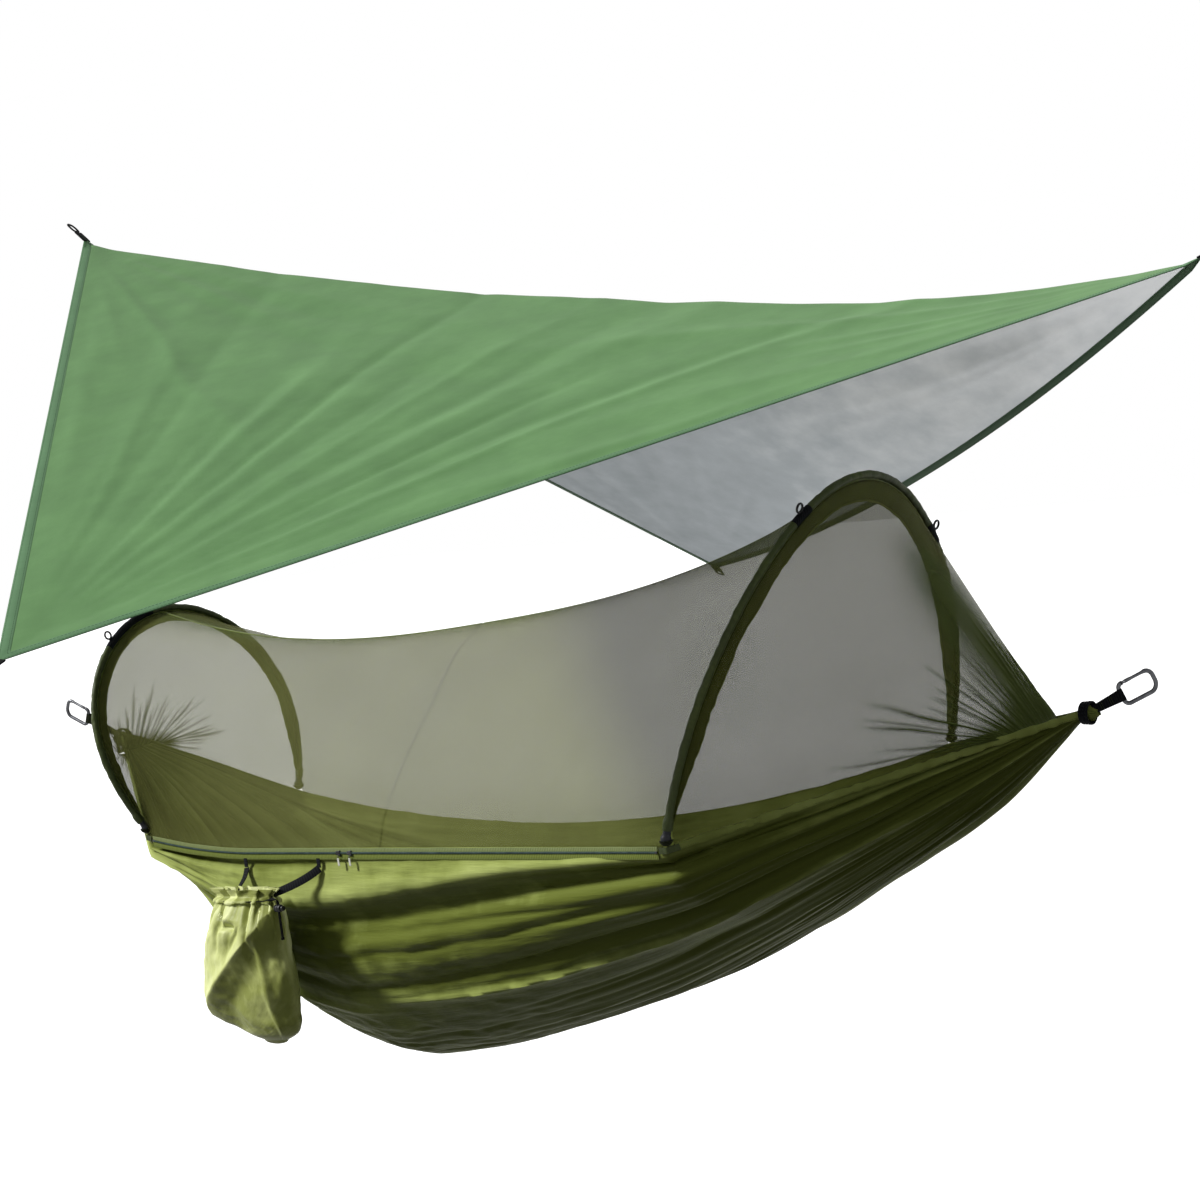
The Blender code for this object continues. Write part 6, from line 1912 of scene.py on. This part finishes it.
    def tab(self, name: str, start: np.ndarray) -> None:
        """A folded webbing tab sewn under the zip tape."""
        line = self.line
        drops = np.array([-3.0, 2.0, 8.0, 13.0, 15.4, 15.8]) * MM + ZIP_TAPE_HEIGHT + TOUCH_GAP
        bulge = np.array([0.9, 1.1, 1.1, 1.6, 1.2, 0.4]) * MM
        path = start + line.out * (TOUCH_GAP + bulge)[:, None] - line.up * drops[:, None]
        tab = swept(path, line.along, strip_outline(6.0, 0.6, 0.3))
        Piece(f"pouch_tab_{name}_webbing", tab, STRAP_FINISH, "hammock", "strap_webbing",
              [f"pouch_tab_{name}"]).build()

    def strap(self, name: str, offset: float) -> None:
        """A tab under the zip, and a webbing strap that sags and twists a little from it to the mouth."""
        line = self.line
        half_mouth, turned_share, twist_angle = POUCH_MOUTH_WIDTH / 2, 0.7, 0.35
        start = self.rim + line.along * offset
        self.tab(name, start)
        top = start + line.out * 1.1 * MM - line.up * (ZIP_TAPE_HEIGHT + POUCH_TAB_HEIGHT + 1.8 * MM)
        share = min(1.0, abs(offset) / half_mouth)
        mouth_half_depth = POUCH_MOUTH_DEPTH / 2 * sqrt(max(0.0, 1 - share**2))
        reach = min(offset, half_mouth - 6.0 * MM)
        foot = self.mouth + line.along * reach - line.out * mouth_half_depth + UP * 1.6 * MM
        run = np.linspace(0.0, 1.0, 30)[:, None]
        sag = -UP * 5.0 * MM * 4 * run * (1 - run) + line.along * 2.0 * MM * np.sin(run * 2 * pi)
        path = top * (1 - run) + foot * run + sag
        ahead = unit(foot - top)
        wide = unit(line.along - ahead * (line.along @ ahead))
        if abs(ahead @ line.along) > turned_share:
            wide = unit(np.cross(ahead, line.out))
        twist = run * twist_angle
        side = np.cos(twist) * wide + np.sin(twist) * np.cross(ahead, wide)
        Piece(f"pouch_strap_{name}_webbing", swept(path, side, strip_outline(8.5, 0.9, 0.4)), STRAP_FINISH,
              "pouch", "strap_webbing", [f"pouch_strap_{name}"]).build()

    def barrel(self) -> None:
        """The cord lock's ribbed barrel, with collars where the cords pass."""
        lock, axis, turn = self.lock_place, self.line.along, turns(28)
        half, rib, groove = LOCK_LENGTH / 2, LOCK_RADIUS - 0.1 * MM, LOCK_RADIUS - 0.7 * MM
        wall, bore_depth = LOCK_RADIUS - 0.2 * MM, 5.0 * MM
        profile = [(0.0, -half), (4.6 * MM, -half), (6.4 * MM, -half + 0.8 * MM), (wall, -half + 2.4 * MM)]
        for at in (-5.0, -3.2, 3.2, 5.0):
            steps = ((-0.7, rib), (-0.3, groove), (0.3, groove), (0.7, rib))
            profile += [(radius, (at + step) * MM) for step, radius in steps]
        profile += [(wall, half - 1.6 * MM), (6.8 * MM, half - 0.4 * MM), (6.0 * MM, half), (5.6 * MM, half),
                    (5.5 * MM, half - bore_depth), (0.0, half - bore_depth)]
        shapes = [lathe(np.array(profile), lock, axis, 40)]
        for side in (-1, 1):
            collar = (lock + UP * side * groove + np.cos(turn)[:, None] * self.line.out * 3.4 * MM
                      + np.sin(turn)[:, None] * axis * 2.4 * MM)
            shapes.append(swept(collar, UP, round_outline(0.8 * MM, 10), closed=True))
        Piece("cord_lock_barrel", joined(*shapes), LOCK_FINISH, "cord_lock", "lock_plastic",
              ["cord_lock_body"]).build()

    def button(self) -> None:
        """The domed button in the lock's end, on its stem."""
        half = LOCK_LENGTH / 2
        low = half + BUTTON_TRAVEL + TOUCH_GAP
        high = low + BUTTON_LENGTH
        stem_low, stem_radius = half - 0.6 * MM, 3.0 * MM
        profile = [(0.0, stem_low), (stem_radius, stem_low), (stem_radius, low), (BUTTON_RADIUS, low),
                   (BUTTON_RADIUS, high - 1.6 * MM), (BUTTON_RADIUS - 0.6 * MM, high - 0.6 * MM),
                   (3.2 * MM, high - 0.1 * MM), (1.6 * MM, high - 0.4 * MM), (0.0, high - 0.5 * MM)]
        Piece("cord_lock_button_domed", lathe(np.array(profile), self.lock_place, self.line.along, 36),
              LOCK_FINISH, "lock_button", "lock_plastic", ["cord_lock_button"]).build()

    def build(self) -> None:
        """Make the pouch; its cord is made earlier."""
        self.bag()
        for name, share in zip(("foot", "head"), POUCH_STRAP_SHARES):
            self.strap(name, POUCH_MOUTH_WIDTH * share)
        self.barrel()
        self.button()


# Rain fly

def fly_surface(u: np.ndarray, v: np.ndarray) -> np.ndarray:
    """The fly without its creases.

    A square folded along its foot-to-head diagonal, blended with the four-corner saddle, with
    its far head edge slack: z falls by sag * 4u(1 - u) v^2.
    """
    a, b, c, d = (np.array(corner) for corner in (FLY_FOOT_CORNER, FLY_NEAR_CORNER, FLY_HEAD_CORNER,
                                                  FLY_FAR_CORNER))
    us, vs = u[..., None], v[..., None]
    near_half = a * (1 - us) + b * (us - vs) + c * vs
    far_half = a * (1 - vs) + d * (vs - us) + c * us
    folded = np.where(us >= vs, near_half, far_half)
    saddle = a * ((1 - us) * (1 - vs)) + b * (us * (1 - vs)) + c * (us * vs) + d * ((1 - us) * vs)
    place = folded * (1 - FLY_DISH_SHARE) + saddle * FLY_DISH_SHARE
    return place - UP * (FLY_FAR_SAG * 4 * us * (1 - us) * vs**2)


class Fly:
    """The rain fly: coated cloth, hem, stitches and corner tabs."""

    thickness: float = 0.7 * MM
    corners = (("foot", 0.0, 0.0, FoldSet(17, 3.6 * MM, 211, (0.35, 1.1), (0.20, 0.45), 1.6, 0.5)),
               ("near", 1.0, 0.0, FoldSet(19, 4.2 * MM, 223, (0.35, 1.2), (0.20, 0.45), 1.6, 0.5)),
               ("head", 1.0, 1.0, FoldSet(13, 3.6 * MM, 227, (0.35, 1.0), (0.20, 0.45), 1.6, 0.5)),
               ("far", 0.0, 1.0, FoldSet(13, 4.0 * MM, 229, (0.25, 0.8), (0.20, 0.45), 1.6, 0.5)))

    def creases(self, u: np.ndarray, v: np.ndarray) -> np.ndarray:
        """Folds that fan out from each pulled corner, as heights along the cloth's normal.

        Each fan is a fold set over the angle round its corner, with the distance from the
        corner as the length along the folds.
        """
        total = np.zeros_like(u)
        for _, corner_u, corner_v, fan in self.corners:
            du, dv = np.abs(u - corner_u), np.abs(v - corner_v)
            reach = np.hypot(du, dv)
            total += fan.heights(reach, np.arctan2(dv, du) / (pi / 2)) * np.minimum(1.0, reach / 0.40)
        return total

    def surface(self, count: int) -> tuple[np.ndarray, np.ndarray]:
        """The creased cloth as a grid of count x count points, and its fold values, -1 to 1."""
        shares = np.linspace(0.0, 1.0, count)
        u, v = grid_of(shares, shares)
        smooth = fly_surface(u, v)
        inside = np.minimum(np.minimum(u, 1 - u), np.minimum(v, 1 - v))
        calm = smoothstep(inside / 0.03)
        soft = value_noise_2d(u * 5, v * 5, 233) * 4.0 * MM + value_noise_2d(u * 24, v * 24, 239) * 0.9 * MM
        creased = self.creases(u, v)
        points = smooth + grid_normals(smooth) * ((creased + soft) * calm)[..., None]
        return points, np.clip(creased * calm / (8.0 * MM), -1.0, 1.0)

    def edge_frames(self, count: int) -> tuple[np.ndarray, np.ndarray, np.ndarray, np.ndarray]:
        """Places round the edge with their outward and normal axes, and the mitre's stretch."""
        side = np.linspace(0.0, 1.0, count, endpoint=False)
        zero, one = np.zeros(count), np.ones(count)
        u = np.concatenate([side, one, 1 - side, zero])
        v = np.concatenate([zero, side, one, 1 - side])
        place = fly_surface(u, v)
        step = 1e-3
        along_u = fly_surface(np.minimum(u + step, 1), v) - fly_surface(np.maximum(u - step, 0), v)
        along_v = fly_surface(u, np.minimum(v + step, 1)) - fly_surface(u, np.maximum(v - step, 0))
        normal = unit(np.cross(along_u, along_v))
        from_middle = place - fly_surface(np.array(0.5), np.array(0.5))
        outs = []
        for edge in (np.roll(place, -1, axis=0) - place, place - np.roll(place, 1, axis=0)):
            out = unit(np.cross(unit(edge), normal))
            outs.append(out * np.sign(np.sum(out * from_middle, axis=1, keepdims=True)))
        mitre = unit(outs[0] + outs[1])
        return place, mitre, normal, 1 / np.maximum(0.3, np.sum(mitre * outs[0], axis=1))

    def hem(self) -> list[bpy.types.Object]:
        """A folded hem round the panel with two rows of stitches on each face."""
        place, mitre, normal, stretch = self.edge_frames(110)
        outline = soft_rectangle(-2.0 * MM, -0.9 * MM, FLY_HEM_WIDTH - 1.0 * MM, 0.9 * MM, 0.6 * MM)
        ripple = 1 + 0.12 * value_noise(np.linspace(0, 64, len(place)), 241)[:, None, None]
        rings = (place[:, None] + mitre[:, None] * outline[None, :, :1] * stretch[:, None, None]
                 + normal[:, None] * outline[None, :, 1:] * ripple)
        hem = Piece("fly_hem_folded", tube_shape(rings, closed=True), FLY_HEM_FINISH, "hammock",
                    "fly_hem", ["fly_hem"]).build()
        stitch = pill(4.4 * MM, 0.8 * MM, 0.7 * MM)
        rows = []
        for inset in (2.0 * MM, FLY_HEM_WIDTH - 4.0 * MM):
            line = place + mitre * (inset * stretch)[:, None]
            line = np.concatenate([line, line[:1]])
            count = int(arc_lengths(line)[-1] / (6.0 * MM))
            face = unit(resample(np.concatenate([normal, normal[:1]]), count)[:-1])
            line = resample(line, count)[:-1]
            rows += [stitch_row(line, face, stitch, offset) for offset in (-0.9 * MM, 0.9 * MM)]
        stitches = Piece("fly_stitches", joined(*rows), FLY_THREAD_FINISH, "hammock", "fly_hem",
                         shading=Spin.SMOOTH).build()
        return [hem, stitches]

    def tab(self, name: str, u: float, v: float) -> bpy.types.Object:
        """A webbing tab with an oval eye beyond one corner; returns its bar tacks."""
        probe = 0.02
        at_u, at_v = np.array(u), np.array(v)
        corner = fly_surface(at_u, at_v)
        side_u = unit(fly_surface(np.abs(at_u - probe), at_v) - corner)
        side_v = unit(fly_surface(at_u, np.abs(at_v - probe)) - corner)
        normal = unit(np.cross(side_u, side_v))
        normal = -normal if normal[2] < 0 else normal
        out = unit(-(side_u + side_v))
        across = np.cross(normal, out)
        hem_reach = FLY_HEM_WIDTH / sin(np.arccos(np.clip(side_u @ side_v, -1, 1)) / 2)
        start, eye = hem_reach - 10.0 * MM, hem_reach + 36.0 * MM
        path = corner + np.linspace(start, eye - 16.0 * MM, 14)[:, None] * out
        strip = swept(path, across, strip_outline(12.0, 1.3, 0.7))
        turn = turns(64)
        squared = [np.sign(part) * np.abs(part)**0.8 * reach
                   for part, reach in ((np.cos(turn), 13.0 * MM), (np.sin(turn), 9.2 * MM))]
        ring_path = corner + out * eye + squared[0][:, None] * out + squared[1][:, None] * across
        ring = swept(ring_path, normal, strip_outline(1.2, 3.2, 0.7), closed=True)
        Piece(f"fly_tab_{name}_webbing", joined(strip, ring), STRAP_FINISH, "hammock", "strap_webbing",
              [f"fly_tab_{name}"]).build()
        rows = [corner + out * (start + share * 18.0 * MM) + across * height + normal * face
                for share in (0.12, 0.5, 0.88)
                for height in np.linspace(-9.0, 9.0, 9) * MM
                for face in (-1.4 * MM, 1.4 * MM)]
        axes = np.broadcast_to(np.stack([across, out, normal]), (len(rows), 3, 3))
        tacks = scattered(pill(2.0 * MM, 0.8 * MM, 0.6 * MM), np.array(rows), axes)
        return Piece(f"fly_tab_{name}_bartacks", tacks, FLY_THREAD_FINISH, "hammock", "strap_webbing",
                     shading=Spin.SMOOTH).build()

    def build(self) -> None:
        """Make the panel with green top and silver underside, its hem and its tabs."""
        count = 196
        points, folded = self.surface(count)
        shape = cloth_shape(points, self.thickness, two_sided_slots=True)
        # Painted light on the silver underside: lighter toward the head end, with the painted fold shade
        # turned over; the top takes the painted fold shade as it is.
        painted_light_toward_head = np.broadcast_to(np.linspace(-0.7, 1.1, count)[:, None], folded.shape)
        under = np.clip(painted_light_toward_head - 0.5 * folded, -1.0, 1.0)
        shape.values["fold"] = np.concatenate([folded.ravel(), under.ravel()])
        panel = Piece("fly_panel_cloth", shape, FLY_TOP_FINISH, "hammock", "fly_fabric", ["fly_panel"],
                      crease_degrees=75.0, under_finish=FLY_UNDER_FINISH).build()
        parts = self.hem()
        parts += [self.tab(name, u, v) for name, u, v, _ in self.corners]


# Studio

class Studio:
    """Camera, lamps, white background and pale floor."""

    world_light: float = 0.16
    floor_height: float = -2.2
    floor_size: float = 60.0
    floor_glow: float = 0.50
    floor_gloss_share: float = 0.3

    def camera(self) -> None:
        """The photograph's camera: azimuth, elevation, roll and focal length were solved from it."""
        level = np.array([sin(CAMERA_AZIMUTH), -cos(CAMERA_AZIMUTH), 0.0])
        back = level * cos(CAMERA_ELEVATION) + UP * sin(CAMERA_ELEVATION)
        right = np.array([cos(CAMERA_AZIMUTH), sin(CAMERA_AZIMUTH), 0.0])
        up = np.cross(back, right)
        rolled_right = right * cos(CAMERA_ROLL) + up * sin(CAMERA_ROLL)
        rolled_up = up * cos(CAMERA_ROLL) - right * sin(CAMERA_ROLL)
        data = bpy.data.cameras.new("photo_camera")
        data.sensor_width = SENSOR_WIDTH_MM
        data.lens = CAMERA_FOCAL_PX / PHOTO_WIDTH_PX * SENSOR_WIDTH_MM
        data.clip_end = 200.0
        item = bpy.data.objects.new("photo_camera", data)
        place = np.array(CAMERA_TARGET) + HANG_SHIFT + back * CAMERA_DISTANCE
        matrix = np.eye(4)
        matrix[:3] = np.stack([rolled_right, rolled_up, back, place], axis=1)
        item.matrix_world = Matrix(matrix.tolist())
        bpy.context.scene.collection.objects.link(item)
        bpy.context.scene.camera = item

    def world(self) -> None:
        """White to the camera and in reflections, a softer white as light."""
        world = bpy.data.worlds.new("studio")
        world.use_nodes = True
        bpy.context.scene.world = world
        tree = world.node_tree
        nodes = tree.nodes
        rays = nodes.new("ShaderNodeLightPath")
        seen = rays.outputs["Is Camera Ray"]
        for name in ("Is Glossy Ray", "Is Transmission Ray"):
            either = nodes.new("ShaderNodeMath")
            either.operation = "MAXIMUM"
            tree.links.new(seen, either.inputs[0])
            tree.links.new(rays.outputs[name], either.inputs[1])
            seen = either.outputs[0]
        mix = nodes.new("ShaderNodeMixShader")
        tree.links.new(seen, mix.inputs["Fac"])
        for index, strength in ((1, self.world_light), (2, 1.0)):
            background = nodes.new("ShaderNodeBackground")
            background.inputs["Strength"].default_value = strength
            background.inputs["Color"].default_value = (1.0, 1.0, 1.0, 1.0)
            tree.links.new(background.outputs[0], mix.inputs[index])
        tree.links.new(mix.outputs[0], nodes["World Output"].inputs["Surface"])

    def lamp(self, name: str, toward: tuple[float, float, float], strength: float, softness: float) -> None:
        """A soft sun that shines from the given direction."""
        data = bpy.data.lights.new(name, "SUN")
        data.energy = strength
        data.angle = radians(softness)
        item = bpy.data.objects.new(name, data)
        item.rotation_euler = Vector(toward).to_track_quat("Z", "Y").to_euler()
        bpy.context.scene.collection.objects.link(item)

    def floor(self) -> None:
        """A pale floor that takes the shadow: white with a little glow, but duller as bounced light."""
        half, height = self.floor_size / 2, self.floor_height
        mesh = bpy.data.meshes.new("studio_floor")
        corners = [(x * half, y * half, height) for x, y in ((-1, -1), (1, -1), (1, 1), (-1, 1))]
        mesh.from_pydata(corners, [], [(0, 1, 2, 3)])
        nodes = NodeTree("floor_painted_white")
        nodes.dress({"Base Color": linear("#f4f4f4"), "Roughness": 0.9, "Specular IOR Level": 0.0,
                     "Emission Color": (1.0, 1.0, 1.0, 1.0), "Emission Strength": self.floor_glow})
        dull = nodes.add("ShaderNodeBsdfDiffuse", {"Color": linear("#303030")})
        rays = nodes.add("ShaderNodeLightPath").outputs
        glossy = nodes.math("MULTIPLY", rays["Is Glossy Ray"], self.floor_gloss_share)
        share = nodes.math("MAXIMUM", rays["Is Diffuse Ray"], glossy)
        mix = nodes.add("ShaderNodeMixShader", {0: share, 1: nodes.shader.outputs[0], 2: dull.outputs[0]})
        nodes.link(nodes.output, "Surface", mix.outputs[0])
        mesh.materials.append(nodes.material)
        item = bpy.data.objects.new("studio_floor", mesh)
        bpy.context.scene.collection.objects.link(item)

    def build(self) -> None:
        """Set up the whole studio."""
        self.camera()
        self.world()
        self.lamp("key_lamp", (-0.66, -0.43, 0.63), 4.4, 10.0)
        self.lamp("fill_lamp", (0.55, -0.75, 0.40), 0.14, 60.0)
        self.floor()
        bpy.context.scene.view_settings.view_transform = "Standard"


def main() -> None:
    """Build the scene in order: camera and cords first, then from the bed outward."""
    logging.basicConfig(level=logging.INFO, format="%(name)s: %(message)s")
    line = zip_frame()
    Studio().build()
    pouch = Pouch(line)
    pouch.cord()
    log.info("camera and cord")
    Bed().build()
    for end in (HEAD_END, FOOT_END):
        HangingGear(end).build()
    log.info("hanging gear")
    head_rings = tuple(pi * share for share in (8 / 22, 16 / 22))
    HoopDress(HEAD_HOOP, head_rings, ("head_guy_ring_near", "head_guy_ring_far"), (0.05, 0.05)).build()
    HoopDress(FOOT_HOOP, (pi * 7 / 20,), ("foot_guy_ring",), (0.06, 0.38)).build()
    Net().build()
    log.info("hoops and nets")
    Zip(line).build()
    pouch.build()
    log.info("zip and pouch")
    Fly().build()
    log.info("fly")


if __name__ == "__main__":
    main()
